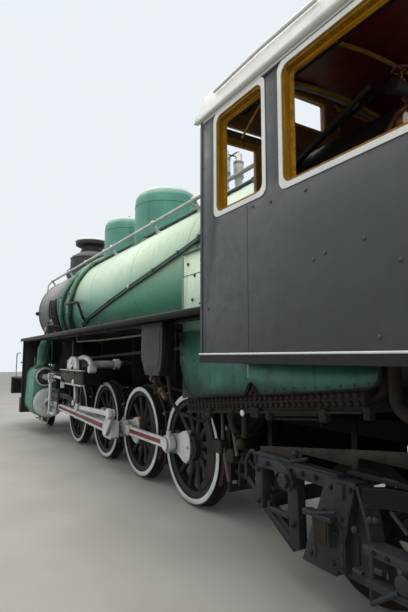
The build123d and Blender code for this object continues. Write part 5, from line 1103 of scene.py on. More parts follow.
P.add(nuts([(D(6615) + k * .04 - .02, s * .1, BZ + .800) for s in (1, -1) for k in (0, 1)], (0, 0, 1), .011, .010), 2)
P.done()

# =============================================================== cab
def loop_ring(outer, inner, axis, a0, a1):
    """Frame between two loops of as many points, in a plane across the axis."""
    n = len(outer)
    put = {"x": lambda u, v, a: (a, u, v), "y": lambda u, v, a: (u, a, v), "z": lambda u, v, a: (u, v, a)}[axis]
    v = [put(p[0], p[1], a) for ring, a in ((outer, a0), (outer, a1), (inner, a1), (inner, a0)) for p in ring]
    f = []
    for k in range(4):
        k2 = (k + 1) % 4
        for i in range(n):
            j = (i + 1) % n
            f.append([k * n + i, k * n + j, k2 * n + j, k2 * n + i])
    return v, f


def round_loop(x0, x1, z0, z1, r, grow=0.0, n=6):
    x0, x1, z0, z1, r = x0 - grow, x1 + grow, z0 - grow, z1 + grow, max(.002, r + grow)
    out = []
    for cx, cz, g0 in ((x1 - r, z1 - r, 0), (x0 + r, z1 - r, 90), (x0 + r, z0 + r, 180), (x1 - r, z0 + r, 270)):
        for k in range(n + 1):
            g = math.radians(g0 + 90 * k / n)
            out.append((cx + r * math.cos(g), cz + r * math.sin(g)))
    return out


P = Piece("cab_trim", "engine", [m_cab, m_trim, m_ochre, m_ochre_z, m_black, m_steel, m_bronze], "cab_grey")
WIN = ((-2160, -1660, 2450, 3130), (-3290, -2345, 2430, 3120))
for s in (1, -1):
    for d0, d1, z0, z1 in WIN:
        x0, x1, zz0, zz1 = D(d0), D(d1), H(z0), H(z1)
        P.add(loop_ring(round_loop(x0, x1, zz0, zz1, .020, .034), round_loop(x0, x1, zz0, zz1, .055, .002), "y", s * 1.3275, s * 1.3340), 1)
        P.add(loop_ring(round_loop(x0, x1, zz0, zz1, .055, -.0005), round_loop(x0, x1, zz0, zz1, .055, -.016), "y", s * 1.262, s * 1.322), 3)
        P.add(loop_ring(round_loop(x0, x1, zz0, zz1, .055, -.0155), round_loop(x0, x1, zz0, zz1, .055, -.030), "y", s * 1.262, s * 1.286), 2)
        P.add(loop_ring(round_loop(x0, x1, zz0, zz1, .055, .050), round_loop(x0, x1, zz0, zz1, .055, -.004), "y", s * 1.258, s * 1.2745), 2)
        # arm rest
        P.add(cbox(x0 + .02, x1 - .02, s * 1.205, s * 1.262, zz0 - .030, zz0 - .004, .008), 2)
    # stay that holds the front window open
    P.add(cyl((D(-1993), s * 1.20, H(3115)), (D(-1780), s * 1.20, H(2966)), .008, .008, 10), 3)
    P.add(cyl((D(-1993), s * 1.20, H(3115)), (D(-1993), s * 1.262, H(3115)), .010, .010, 8), 4)
    # dark strip along the foot as a painted shadow, with a white bead over it
    P.add(prism([(D(-1441), H(1432)), (D(-3448), H(1432)), (D(-3448), H(1486)), (D(-1441), H(1486))], "y", s * 1.320, s * 1.3385, .002), 4)
    P.add(pipe([(D(-1441), s * 1.337, H(1491)), (D(-3448), s * 1.337, H(1491))], .0065, 10), 1)
    # seam, bolt heads and the rear edge strip
    P.add(cbox(D(-2007), D(-2003), s * 1.328, s * 1.3308, H(2480) - 0.98, H(2400), .0005), 4)
    P.add(cbox(D(-3448), D(-3408), s * 1.326, s * 1.3360, H(1500), H(3170), .002), 0)
    P.add(heads(along((D(-3428), s * 1.336, H(1560)), (D(-3428), s * 1.336, H(3120)), 12), (0, s, 0), .009, .006, 8), 0)
    P.add(heads([(D(-3060), s * 1.330, H(1870)), (D(-1545), s * 1.330, H(1800)), (D(-2060), s * 1.330, H(2380)), (D(-2515), s * 1.330, H(2340)), (D(-2230), s * 1.330, H(2360)),
                 (D(-2940), s * 1.330, H(1555)), (D(-2560), s * 1.330, H(1960)), (D(-2640), s * 1.330, H(1980)), (D(-2880), s * 1.330, H(2000))], (0, s, 0), .012, .005, 8), 0)
    P.add(prism([(D(-1444), H(1500)), (D(-1470), H(1500)), (D(-1470), H(3150)), (D(-1444), H(3150))], "y", s * 1.3295, s * 1.3345, .002), 0)
    # rain gutter on the roof's side
    P.add(pipe([(D(-1640), s * 1.338, H(3330)), (D(-2140), s * 1.330, H(3352)), (D(-2640), s * 1.338, H(3330))], .011, 8, .5), 1)
    # grab rails beside the entrance
    for d in (-3465, -3775):
        P.add(pipe([(D(d), s * 1.300, H(1620)), (D(d), s * 1.352, H(1620)), (D(d), s * 1.352, H(2480)), (D(d), s * 1.300, H(2480))], .013, 12, .03), 1)
    # white bars across the entrance, and small plates at the rear posts
    P.add(cbox(D(-3850), D(-3790), s * 1.322, s * 1.335, H(1500), H(1640), .002), 1)
    P.add(heads(along((D(-3820), s * 1.330, H(1700)), (D(-3820), s * 1.330, H(3100)), 9), (0, s, 0), .008, .006, 8), 0)
    # look-out window frames and boards on the cab front
    o = [(s * 1.005, H(2530)), (s * 1.200, H(2530)), (s * 1.200, H(3083)), (s * .840, H(3083)), (s * .840, H(2745))]
    area2 = sum(o[i - 1][0] * o[i][1] - o[i][0] * o[i - 1][1] for i in range(5))
    if area2 < 0:
        o.reverse()
    P.add(loop_ring(inset(o, -.030), inset(o, -.002), "x", D(-1440) - .001, D(-1440) + .006), 0)
    P.add(loop_ring(inset(o, -.034), inset(o, .014), "x", D(-1472), D(-1490)), 3)
    P.add(cbox(D(-1472), D(-1480), s * .700, s * 1.150, H(3180), H(3186), .001), 3)
    P.add(cbox(D(-1472), D(-1480), s * .700, s * 1.150, H(3224), H(3230), .001), 3)
    P.add(loop_ring(round_loop(s * .268 - .168, s * .268 + .168, H(3420), H(3670), .012, .026), round_loop(s * .268 - .168, s * .268 + .168, H(3420), H(3670), .012, .001), "x", D(-1472), D(-1486)), 3)
    P.add(cbox(D(-1472), D(-1484), s * .640, s * .664, H(2560), H(3600), .002), 3)
    # angle along the cab front's foot and its bolts
    P.add(cbox(D(-1439), D(-1410), s * .930, s * 1.325, H(1846), H(1858), .002), 4)
    P.add(heads(along((D(-1440) + .001, s * .980, H(1900)), (D(-1440) + .001, s * 1.300, H(1900)), 6), (1, 0, 0), .009, .007, 8), 0)
    P.add(heads(along((D(-1440) + .001, s * 1.300, H(1960)), (D(-1440) + .001, s * 1.300, H(3120)), 11), (1, 0, 0), .008, .006, 8), 0)
# ribs under the roof, and edge beads round its ends
for d in (-1560, -2100, -2660, -3220, -3780):
    P.add(pipe([(D(d), y, H(z)) for y, z in ((-1.300, 3205), (-1.215, 3400), (-1.060, 3560), (-.925, 3628), (-.60, 3700), (-.30, 3736), (0, 3746), (.30, 3736), (.60, 3700), (.925, 3628), (1.060, 3560), (1.215, 3400), (1.300, 3205))], .017, 8, .2), 3)
P.done()


def roof_point(d, t):
    """A point on the roof's outer surface: t runs from 0 (left eave) to 1 (right eave)."""
    prof = [(1.358, 3.187), (1.305, 3.340), (1.235, 3.470), (1.110, 3.582), (.960, 3.660), (.640, 3.738), (.320, 3.785), (0, 3.800)]
    prof += [(-y, z) for y, z in reversed(prof[:-1])]
    k = t * (len(prof) - 1)
    i = min(int(k), len(prof) - 2)
    q = k - i
    y, z = prof[i][0] + (prof[i + 1][0] - prof[i][0]) * q, prof[i][1] + (prof[i + 1][1] - prof[i][1]) * q
    return (D(d), y, z + .028)


P = Piece("roof_trim", "engine", [m_roof, m_trim, m_steel], "roof_white")
for d in (-1406, -3854):
    P.add(pipe([roof_point(d, k / 40) for k in range(41)], .010, 8, .05), 1)
for d in (-2240, -3050):
    P.add(pipe([roof_point(d, k / 40) for k in range(1, 40)], .006, 6, .05), 0)
for d in (-1440, -2230, -2250, -3040, -3060, -3820):
    P.add(heads([roof_point(d, k / 44) for k in range(8, 37, 2)], (0, 0, 1), .007, .005, 8), 0)
# sliding ventilator hatch
P.add(prism([(-.330, H(3788)), (-.330, H(3822)), (0, H(3836)), (.330, H(3822)), (.330, H(3788))], "x", D(-2300), D(-2980), .004), 0)
P.add(cbox(D(-2280), D(-3000), .335, .352, H(3776), H(3800), .003), 0)
P.add(cbox(D(-2280), D(-3000), -.352, -.335, H(3776), H(3800), .003), 0)
P.done()

P = Piece("cab_fittings", "engine", [m_black, m_bronze, m_copper, m_steel, m_dial, m_red, m_rail, m_plank, m_floorw, m_frame], "running_black")
bx = D(-2480)
# backhead plate with its stay heads, fire doors on a slide, and the ring round the fire hole
P.add(prism([(-.905, H(1500)), (.905, H(1500)), (.905, H(2425)), (.74, H(2495)), (.70, H(2740)), (.53, H(3000)), (.28, H(3165)), (0, H(3215)), (-.28, H(3165)), (-.53, H(3000)), (-.70, H(2740)), (-.74, H(2495)), (-.905, H(2425))],
            "x", bx - .012, bx + .001, .004), 9)
P.add(heads([(bx - .012, y, H(z)) for y in (-.72, -.54, -.36, .36, .54, .72) for z in (1620, 1780, 1940, 2100, 2260, 2420)], (-1, 0, 0), .016, .012, 8), 9)
P.add(heads([(bx - .012, y, H(z)) for y in (-.45, -.27, -.09, .09, .27, .45) for z in (2560, 2700, 2840)], (-1, 0, 0), .016, .012, 8), 9)
P.add(lathe((bx - .010, 0, H(1830)), (-1, 0, 0), [(.192, 0), (.255, 0), (.255, .022), (.240, .030), (.192, .030)], 40, closed=True), 0)
for s in (1, -1):
    P.add(prism([(s * .006, H(1650)), (s * .235, H(1690)), (s * .250, H(1830)), (s * .235, H(1970)), (s * .006, H(2010))], "x", bx - .045, bx - .070, .005), 0)
    P.add(cyl((bx - .070, s * .10, H(1830)), (bx - .110, s * .10, H(1830)), .012, .012, 10), 3)
P.add(cbox(bx - .075, bx - .035, -.52, .52, H(2014), H(2036), .004), 3)
P.add(cbox(bx - .075, bx - .035, -.52, .52, H(1622), H(1644), .004), 3)
P.add(cyl((bx - .090, .10, H(1830)), (bx - .095, .42, H(1960)), .011, .011, 10), 3)
# shelf, regulator quadrant and its long handle
P.add(cbox(bx - .150, bx - .010, -.42, .42, H(2080), H(2094), .004), 0)
P.add(lathe((bx, 0, H(2620)), (-1, 0, 0), [(0, 0), (.120, 0), (.120, .030), (.060, .040), (.050, .090), (.034, .100), (.034, .160), (0, .160)], 32), 1)
P.add(nuts(ring_of((bx - .030, 0, H(2620)), (1, 0, 0), .098, 8), (-1, 0, 0), .011, .012), 3)
P.add(pipe([(bx - .140, -.06, H(2570)), (bx - .150, .28, H(2600)), (bx - .150, .62, H(2700)), (bx - .210, .70, H(2700))], .014, 10, .05), 3)
knobs(P, [(bx - .225, .70, H(2700))], (1, 0, 0), .030, 3)
# gauges with brackets and copper tails
for y, z, r in ((-.30, 2905, .095), (0, 2985, .105), (.30, 2905, .085), (.60, 2860, .070)):
    o = (bx - .105, y, H(z))
    P.add(lathe(o, (-1, 0, 0), [(0, 0), (r, 0), (r, .045), (r * .97, .055), (r * .88, .055), (r * .86, .046), (0, .046)], 40), 1)
    P.add(lathe(o, (-1, 0, 0), [(0, .0465), (r * .85, .0465), (r * .85, .0475), (0, .0475)], 36), 4)
    P.add(cyl((bx - .154, y, H(z)), (bx - .154, y - r * .55, H(z) + r * .42), .0028, .0012, 6), 0)
    P.add(pipe([(bx - .10, y, H(z) - r * .9), (bx - .09, y, H(z) - r - .06), (bx - .04, y * .9, H(z) - r - .12), (bx - .02, y * .8, H(2700))], .008, 8, .04), 2)
    P.add(cbox(bx - .105, bx - .01, y - .02, y + .02, H(z) - .012, H(z) + .012, .003), 0)
# water gauges
for y in (-.38, .38):
    P.add(cyl((bx - .085, y, H(2250)), (bx - .085, y, H(2530)), .012, .012, 12), 4)
    for z in (2250, 2530):
        P.add(lathe((bx - .010, y, H(z)), (-1, 0, 0), [(0, 0), (.034, 0), (.034, .014), (.018, .020), (.018, .060), (.026, .064), (.026, .096), (.012, .100), (.012, .130), (0, .130)], 14), 1)
        P.add(cyl((bx - .075, y - .05, H(z)), (bx - .075, y + .06, H(z)), .008, .008, 8), 3)
    P.add(cbox(bx - .115, bx - .108, y - .045, y + .045, H(2270), H(2510), .002), 3)
    P.add(pipe([(bx - .085, y, H(2240)), (bx - .085, y, H(2150)), (bx - .060, y * 1.3, H(2100)), (bx - .060, y * 1.45, H(1520))], .008, 8, .05), 2)
# steam turret high on the backhead with its valves and hand wheels
P.add(cyl((bx - .060, -.62, H(3130)), (bx - .060, .62, H(3130)), .055, .055, 24, .010), 0)
P.add(cyl((bx + .02, 0, H(3060)), (bx - .060, 0, H(3130)), .050, .050, 16), 0)
for k, y in enumerate((-.52, -.32, -.12, .12, .32, .52)):
    P.add(lathe((bx - .060, y, H(3160)), (0, 0, 1), [(0, 0), (.030, 0), (.030, .030), (.014, .036), (.014, .100), (0, .100)], 14), 1)
    P.add(lathe((bx - .060, y, H(3268)), (0, 0, 1), [(.040, -.006), (.050, -.006), (.054, 0), (.050, .006), (.040, .006), (.036, 0)], 24, closed=True), 5 if k % 2 else 0)
    for g in (0, 90):
        c, q = math.cos(math.radians(g)) * .042, math.sin(math.radians(g)) * .042
        P.add(cyl((bx - .060 - c, y - q, H(3268)), (bx - .060 + c, y + q, H(3268)), .005, .005, 6), 0)
    P.add(pipe([(bx - .060, y, H(3090)), (bx - .110, y, H(3020)), (bx - .115, y * 1.25, H(2920)), (bx - .060, y * 1.6, H(2600)), (bx - .045, y * 1.62, H(1500))], .013, 10, .06), 2 if k % 2 else 0)
# injector bodies on both sides, and lubricator
for s in (1, -1):
    P.add(cyl((D(-1900), s * .985, H(1640)), (D(-2330), s * .985, H(1640)), .045, .035, 18, .008), 1)
    P.add(pipe([(D(-1900), s * .985, H(1640)), (D(-1780), s * .985, H(1640)), (D(-1700), s * .985, H(1760)), (D(-1560), s * .960, H(2560)), (D(-1500), s * .820, H(2700))], .020, 10, .08), 2)
    P.add(pipe([(D(-2120), s * .985, H(1620)), (D(-2120), s * .985, H(1500))], .018, 10), 2)
    P.add(pipe([(bx - .045, s * .80, H(3080)), (D(-2100), s * .86, H(2860)), (D(-1520), s * .88, H(2640))], .018, 10, .1), 0)
    P.add(pipe([(bx - .045, s * .66, H(3120)), (D(-2100), s * .74, H(2960)), (D(-1520), s * .78, H(2720))], .014, 10, .1), 9)
    P.add(cbox(D(-2740), D(-2540), s * 1.13, s * 1.25, H(2120), H(2330), .010), 0)
    # thin rope like rod under the ceiling
    P.add(pipe([(D(-1500), s * .98, H(3330)), (D(-3750), s * .98, H(3330))], .008, 8), 0)
# reversing stand with its wheel and screw on the left, brake stand on the right
P.add(prism([(D(-2900), H(1482)), (D(-2640), H(1482)), (D(-2700), H(2050)), (D(-2830), H(2050))], "y", .775, .805, .006), 0)
P.add(cyl((D(-2560), .79, H(2140)), (D(-2960), .79, H(2140)), .024, .024, 16, .004), 3)
P.add(cbox(D(-2860), D(-2680), .755, .825, H(2045), H(2190), .008), 0)
P.add(lathe((D(-2960), .79, H(2140)), (1, 0, 0), [(.205, -.012), (.222, -.012), (.230, 0), (.222, .012), (.205, .012), (.198, 0)], 56, closed=True), 3)
for k in range(5):
    g = 2 * math.pi * k / 5
    P.add(cyl((D(-2960), .79 + .02 * math.cos(g), H(2140) + .02 * math.sin(g)), (D(-2960), .79 + .205 * math.cos(g), H(2140) + .205 * math.sin(g)), .010, .009, 8), 3)
P.add(cyl((D(-2960), .79 + .21, H(2140)), (D(-3060), .79 + .21, H(2140)), .013, .010, 12, .003), 7)
P.add(lathe((D(-2760), -.80, H(1482)), (0, 0, 1), [(0, 0), (.110, 0), (.110, .020), (.050, .050), (.040, .60), (.066, .640), (.066, .760), (.030, .790), (0, .790)], 24), 0)
P.add(pipe([(D(-2760), -.80, H(2282)), (D(-2760), -.80, H(2330)), (D(-2920), -.80, H(2350))], .013, 10, .03), 1)
# closed shutter on the right hand opening near the crown
P.add(cbox(D(-1472), D(-1484), -.452, -.084, H(3405), H(3688), .004), 7)
for z in (3450, 3545, 3640):
    P.add(cbox(D(-1483), D(-1496), -.452, -.084, H(z) - .018, H(z) + .018, .003), 7)
# seat cushions, back rests, floor boards, tool rack
for s in (1, -1):
    P.add(cbox(D(-3235), D(-2665), s * .965, s * 1.262, H(1992), H(2045), .022), 7)
    P.add(cbox(D(-3262), D(-3225), s * .965, s * 1.262, H(2045), H(2440), .016), 7)
    for k in range(3):
        y0 = .930 + k * .113
        P.add(cbox(D(-2490), D(-1480), s * y0, s * (y0 + .108), H(1483), H(1505), .003), 8)
for k in range(-11, 11):
    P.add(cbox(D(-3800), D(-2500), k * .114 + .002, k * .114 + .111, H(1483), H(1505), .003), 8)
P.done()
# =============================================================== cylinders and motion
def poly(pts):
    return [(D(d), H(z)) for d, z in pts]


P = Piece("cylinder_fittings", "engine", [m_cover, m_casing, m_bronze, m_steel, m_pipe_green, m_black, m_band, m_white], "white_paint")
for s in (1, -1):
    for y, z, r, n in ((.85, 600, .262, 18), (.93, 1090, .168, 12)):
        o1 = (D(5130) - (.0245 if z == 600 else .0295), s * y, H(z))
        o2 = (D(5870) + (.0245 if z == 600 else .0295), s * y, H(z))
        P.add(nuts(ring_of(o1, (-1, 0, 0), r, n, .1), (-1, 0, 0), .014, .012), 0)
        P.add(nuts(ring_of(o2, (1, 0, 0), r, n, .1), (1, 0, 0), .014, .012), 0)
        P.add(lathe((D(5130) + .004, s * y, H(z)), (-1, 0, 0), [(r + .022, 0), (r + .034, 0), (r + .034, .012), (r + .022, .014)], 64, closed=True), 1)
        P.add(lathe((D(5870) - .004, s * y, H(z)), (1, 0, 0), [(r + .022, 0), (r + .034, 0), (r + .034, .012), (r + .022, .014)], 64, closed=True), 1)
    # gland, its nuts and the spindle guide
    P.add(prism([(s * .85 + .115 * math.cos(g), H(600) + .060 * math.sin(g)) for g in [2 * math.pi * k / 24 for k in range(24)]], "x", D(5130) - .190, D(5130) - .215, .004), 3)
    P.add(nuts([(D(5130) - .215, s * .85 + e * .092, H(600)) for e in (-1, 1)], (-1, 0, 0), .016, .016), 3)
    P.add(lathe((D(5130) - .200, s * .93, H(1090)), (-1, 0, 0), [(.024, 0), (.058, 0), (.062, .008), (.062, .024), (.024, .030)], 28, closed=True), 0)
    P.add(nuts(ring_of((D(5130) - .041, s * .93, H(1090)), (-1, 0, 0), .100, 6), (-1, 0, 0), .012, .012), 3)
    # casing screws down both edges, and cover bands
    for d in (5158, 5842):
        P.add(heads(along((D(d), s * 1.1500, H(640)), (D(d), s * 1.1215, H(1060)), 8), (0, s, .05), .009, .006, 8), 1)
    P.add(heads(along((D(5230), s * 1.1500, H(645)), (D(5770), s * 1.1500, H(645)), 6), (0, s, 0), .009, .006, 8), 1)
    # drain cocks with their linking rod
    for d in (5200, 5500, 5800):
        P.add(lathe((D(d), s * .85, H(312)), (0, 0, -1), [(0, 0), (.026, 0), (.026, .018), (.014, .024), (.014, .050), (.022, .054), (.022, .078), (.010, .082), (.010, .100), (0, .100)], 14), 2)
        P.add(cyl((D(d), s * .85, H(246)), (D(d), s * .93, H(246)), .008, .008, 8), 3)
    P.add(cyl((D(5860), s * .93, H(246)), (D(4900), s * .93, H(246)), .008, .008, 8), 3)
    # relief valves and lubricator pipe on the valve chest
    P.add(pipe([(D(5862), s * .98, H(1262)), (D(5862), s * .98, H(1330)), (D(5868), s * .98, H(1475))], .020, 12, .03), 4)
    P.add(lathe((D(5862), s * .98, H(1225)), (0, 0, 1), [(0, 0), (.040, 0), (.040, .020), (.026, .026), (.026, .056), (0, .056)], 16), 1)
    P.add(pipe([(D(5300), s * .80, H(1270)), (D(5250), s * .78, H(1420)), (D(5180), s * .80, H(1640)), (D(5120), s * .82, H(1780))], .012, 8, .06), 4)
    P.add(lathe((D(5300), s * .93, H(1272)), (0, 0, 1), [(0, 0), (.050, 0), (.050, .014), (.030, .018), (.030, .040), (.042, .044), (.042, .066), (0, .070)], 20), 2)
    # flange under the steam pipe, with nuts
    P.add(nuts([(D(5430) + dx, s * .925 + dy, H(1292)) for dx in (-.125, 0, .125) for dy in (-.100, .100)], (0, 0, 1), .016, .016), 3)
    P.add(lathe((D(5430), s * .922, H(1292)), (0, 0, 1), [(.114, 0), (.142, 0), (.142, .020), (.130, .028), (.114, .028)], 40, closed=True), 4)
    # bolts of the saddle
    P.add(nuts(along((D(5180), s * .4315, H(900)), (D(5800), s * .4315, H(900)), 5), (0, s, 0), .018, .016), 5)
P.done()

P = Piece("motion_fittings", "engine", [m_white, m_black, m_shaft, m_steel, m_tan, m_weight, m_rail, m_bracket], "white_paint")
for s in (1, -1):
    # bearing block of the reversing shaft, with a bored boss
    P.add(prism(poly([(3060, 1281), (2560, 1281), (2580, 1425), (2650, 1462), (2720, 1476), (2850, 1482), (2940, 1452), (2955, 1430), (3055, 1430)]), "y", s * 1.010, s * 1.062, .008), 0)
    P.add(lathe((D(2765), s * 1.058, H(1375)), (0, s, 0), [(0, 0), (.062, 0), (.062, .010), (.054, .016), (.026, .016), (.024, .006), (0, .006)], 28), 0)
    P.add(nuts([(D(2610), s * 1.058, H(1300)), (D(3010), s * 1.058, H(1300)), (D(3010), s * 1.058, H(1400))], (0, s, 0), .016, .014), 0)
    # curved lifting arm that arches over the bracket to the shaft
    arch = [(2799, 1262), (2790, 1375), (2661, 1440), (2412, 1470), (2174, 1440), (2045, 1370), (2027, 1290)]
    P.add(pipe([(D(d + 20), s * .985, H(z)) for d, z in arch], .036, 14, .12), 0)
    P.add(lathe((D(2050), s * .985 - s * .05, H(1305)), (0, s, 0), [(0, 0), (.050, 0), (.054, .006), (.054, .094), (.050, .100), (0, .100)], 24), 0)
    # on the right side the shaft and its collar are black, painted shade
    P.add(cyl((D(2760), s * .940, H(1352)), (D(2760), s * .42, H(1352)), .056, .056, 24, .004), 2 if s > 0 else 1)
    P.add(cyl((D(2760), s * .42, H(1358)), (D(2760), s * .33, H(1358)), .082, .082, 24, .008), 6 if s > 0 else 1)
    # nuts and pins of the expansion link's bracket, pale strips round the opening
    P.add(nuts([(D(d), s * 1.0655, H(z)) for d, z in ((2310, 1110), (2480, 1110), (2980, 1110), (2310, 1230), (2600, 1235), (2950, 1235), (3300, 1235))], (0, s, 0), .013, .010), 7)
    P.add(lathe((D(2640), s * 1.066, H(1100)), (0, s, 0), [(0, -.002), (.046, -.002), (.050, .004), (.050, .016), (.040, .022), (0, .024)], 24), 0)
    # outer guides of the link: pale, tan and pale bars below the bracket; the recessed tan bar is a white bar darkened
    # as painted shade
    P.add(prism(poly([(2724, 1066), (2664, 1066), (2640, 930), (2664, 800), (2700, 790), (2704, 930)]), "y", s * 1.016, s * 1.044, .004), 0)
    P.add(prism(poly([(2548, 1066), (2488, 1066), (2474, 930), (2500, 812), (2540, 802), (2536, 930)]), "y", s * 1.016, s * 1.044, .004), 5)
    P.add(prism(poly([(2648, 1066), (2566, 1066), (2560, 930), (2580, 830), (2630, 830), (2624, 930)]), "y", s * 1.004, s * 1.020, .004), 4)
    P.add(lathe((D(2690), s * 1.040, H(800)), (0, s, 0), [(0, 0), (.040, 0), (.044, .006), (.044, .018), (.034, .026), (0, .026)], 20), 0)
    # eccentric rod's forked end with its pin, and oil cups
    P.add(lathe((D(2640), s * .9985, H(740)), (0, s, 0), [(0, 0), (.058, 0), (.064, .006), (.064, .030), (.054, .038), (.024, .038), (.022, .046), (0, .046)], 28), 0)
    P.add(cyl((D(2640), s * .985, H(796)), (D(2640), s * .985, H(830)), .018, .015, 12, .002), 0)
    # combination lever bosses and the valve spindle's crosshead with its guide
    P.add(cbox(D(4350), D(4620), s * .900, s * .965, H(1150), H(1182), .006), 0)
    P.add(cbox(D(4350), D(4620), s * .900, s * .965, H(1040), H(1058), .006), 0)
    P.add(lathe((D(4475), s * .9925, H(1130)), (0, s, 0), [(0, 0), (.050, 0), (.054, .006), (.054, .018), (.044, .024), (.020, .024), (.018, .032), (0, .032)], 24), 0)
    P.add(lathe((D(4475), s * .9925, H(1045)), (0, s, 0), [(0, 0), (.034, 0), (.036, .004), (.036, .012), (.028, .018), (0, .018)], 20), 0)
    P.add(prism(poly([(4620, 1182), (4420, 1182), (4300, 1150), (3410, 1150), (3410, 1190), (4290, 1196), (4420, 1215), (4600, 1215)]), "y", s * .885, s * .900, .004), 1)
    # guide bar bolts
    P.add(nuts([(D(d), s * .85, H(835)) for d in (3440, 4880, 4980)], (0, 0, 1), .016, .016), 3)
    # thin pipes up to the running board
    P.add(pipe([(D(2975), s * 1.0, H(1720)), (D(2972), s * 1.0, H(1600)), (D(2962), s * 1.0, H(1285))], .009, 8), 4)
    P.add(pipe([(D(2414), s * 1.10, H(1770)), (D(2414), s * 1.10, H(1690)), (D(1300), s * 1.10, H(1680)), (D(103), s * 1.10, H(1690))], .011, 8, .04), 4)
    P.add(pipe([(D(4600), s * 1.02, H(1770)), (D(4560), s * 1.02, H(1560)), (D(4540), s * .97, H(1330)), (D(4500), s * .95, H(1225))], .010, 8, .05), 1)
    # reach rod that runs back to the cab behind the running board
    P.add(pipe([(D(2740), s * .78, H(1455)), (D(-200), s * .80, H(1560))] if s > 0 else [(D(2740), s * .78, H(1455)), (D(2500), s * .78, H(1460))], .018, 8), 1)
    P.add(cbox(D(2710), D(2820), s * .76, s * .80, H(1350), H(1485), .006), 1)
P.done()

for s, side in ((1, "left"), (-1, "right")):
    wd = {1: 1295 + 305 + 2769.6, -1: 1295 + 2758.0}[s]
    P = Piece("crosshead_fittings_" + side, "crosshead_" + side, [m_xhead, m_steel, m_bronze, m_white], "white_paint")
    lo_, hi_ = (NODES["crosshead_" + side].matrix_world @ Vector(c) for c in (NODES["crosshead_" + side].bound_box[0], NODES["crosshead_" + side].bound_box[6]))
    wx = min(lo_.x, hi_.x) + .190
    P.add(lathe((wx, s * .9245, H(600)), (0, s, 0), [(0, 0), (.050, 0), (.052, .004), (.052, .016), (.040, .022), (0, .022)], 6), 1)
    P.add(lathe((wx, s * .9150, H(600)), (0, s, 0), [(.041, 0), (.070, 0), (.074, .004), (.074, .010), (.041, .012)], 32, closed=True), 3)
    P.add(nuts([(wx + dx, s * .9155, H(z)) for dx, z in ((-.150, 745), (-.150, 855), (0, 855), (.150, 855), (.150, 745), (.150, 640), (.150, 570))], (0, s, 0), .015, .013), 0)
    P.add(cbox(wx - .186, wx + .186, s * .800, s * .900, H(836.5) + .0, H(841.5), .001), 2)
    P.add(cyl((wx, s * .85, H(878)), (wx, s * .85, H(915)), .026, .022, 16, .003), 0)
    P.add(lathe((wx - .150, s * .9455, H(480)), (0, s, 0), [(0, -.002), (.030, -.002), (.032, .003), (.032, .010), (0, .011)], 16), 3)
    P.done()
# =============================================================== running boards, skirt, ring, steps and boxes
P = Piece("board_fittings", "engine", [m_black, m_edge, m_tan, m_rail, m_steel], "running_black")
for s in (1, -1):
    # joints and bolts of the tread plates, and the pale dusty edge
    for d in (300, 1500, 2700, 3900, 5080):
        P.add(cbox(D(d) - .003, D(d) + .003, s * .82, s * 1.246, H(1843.5), H(1845.5), .0005), 1)
    for d in range(-1300, 5950, 290):
        P.add(heads([(D(d), s * 1.225, H(1844))], (0, 0, 1), .011, .007, 8), 0)
        P.add(heads([(D(d + 140), s * 1.2495, H(1815))], (0, s, 0), .010, .006, 8), 1)
    P.add(cbox(D(-1428), D(6018), s * 1.236, s * 1.2515, H(1839), H(1847), .002), 2)
    # small hooks, oil can tray and a lubricator on the board
    P.add(cbox(D(4150), D(4420), s * .93, s * 1.13, H(1845), H(2035), .012), 0)
    P.add(lathe((D(4285), s * 1.13, H(1950)), (0, s, 0), [(0, 0), (.050, 0), (.050, .012), (.030, .018), (0, .018)], 20), 4)
    for d in (4190, 4250, 4320, 4380):
        P.add(lathe((D(d), s * 1.03, H(2035)), (0, 0, 1), [(0, 0), (.016, 0), (.016, .018), (.009, .022), (.009, .050), (0, .050)], 10), 4)
    for d in (1180, 1900, 3350):
        P.add(pipe([(D(d), s * 1.19, H(1843)), (D(d), s * 1.19, H(1882)), (D(d + 90), s * 1.19, H(1882)), (D(d + 90), s * 1.19, H(1843))], .008, 8, .015), 2)
    # longitudinal stiffener under the board, and the pipes that run along it
    P.add(prism([(s * 1.165, H(1831)), (s * 1.205, H(1831)), (s * 1.205, H(1824)), (s * 1.172, H(1824)), (s * 1.172, H(1778)), (s * 1.165, H(1778))], "x", D(60), D(5940), 0), 1)
    P.add(cyl((D(-1420), s * .995, H(1800)), (D(5240), s * .995, H(1800)), .017, .017, 10), 0)
P.done()

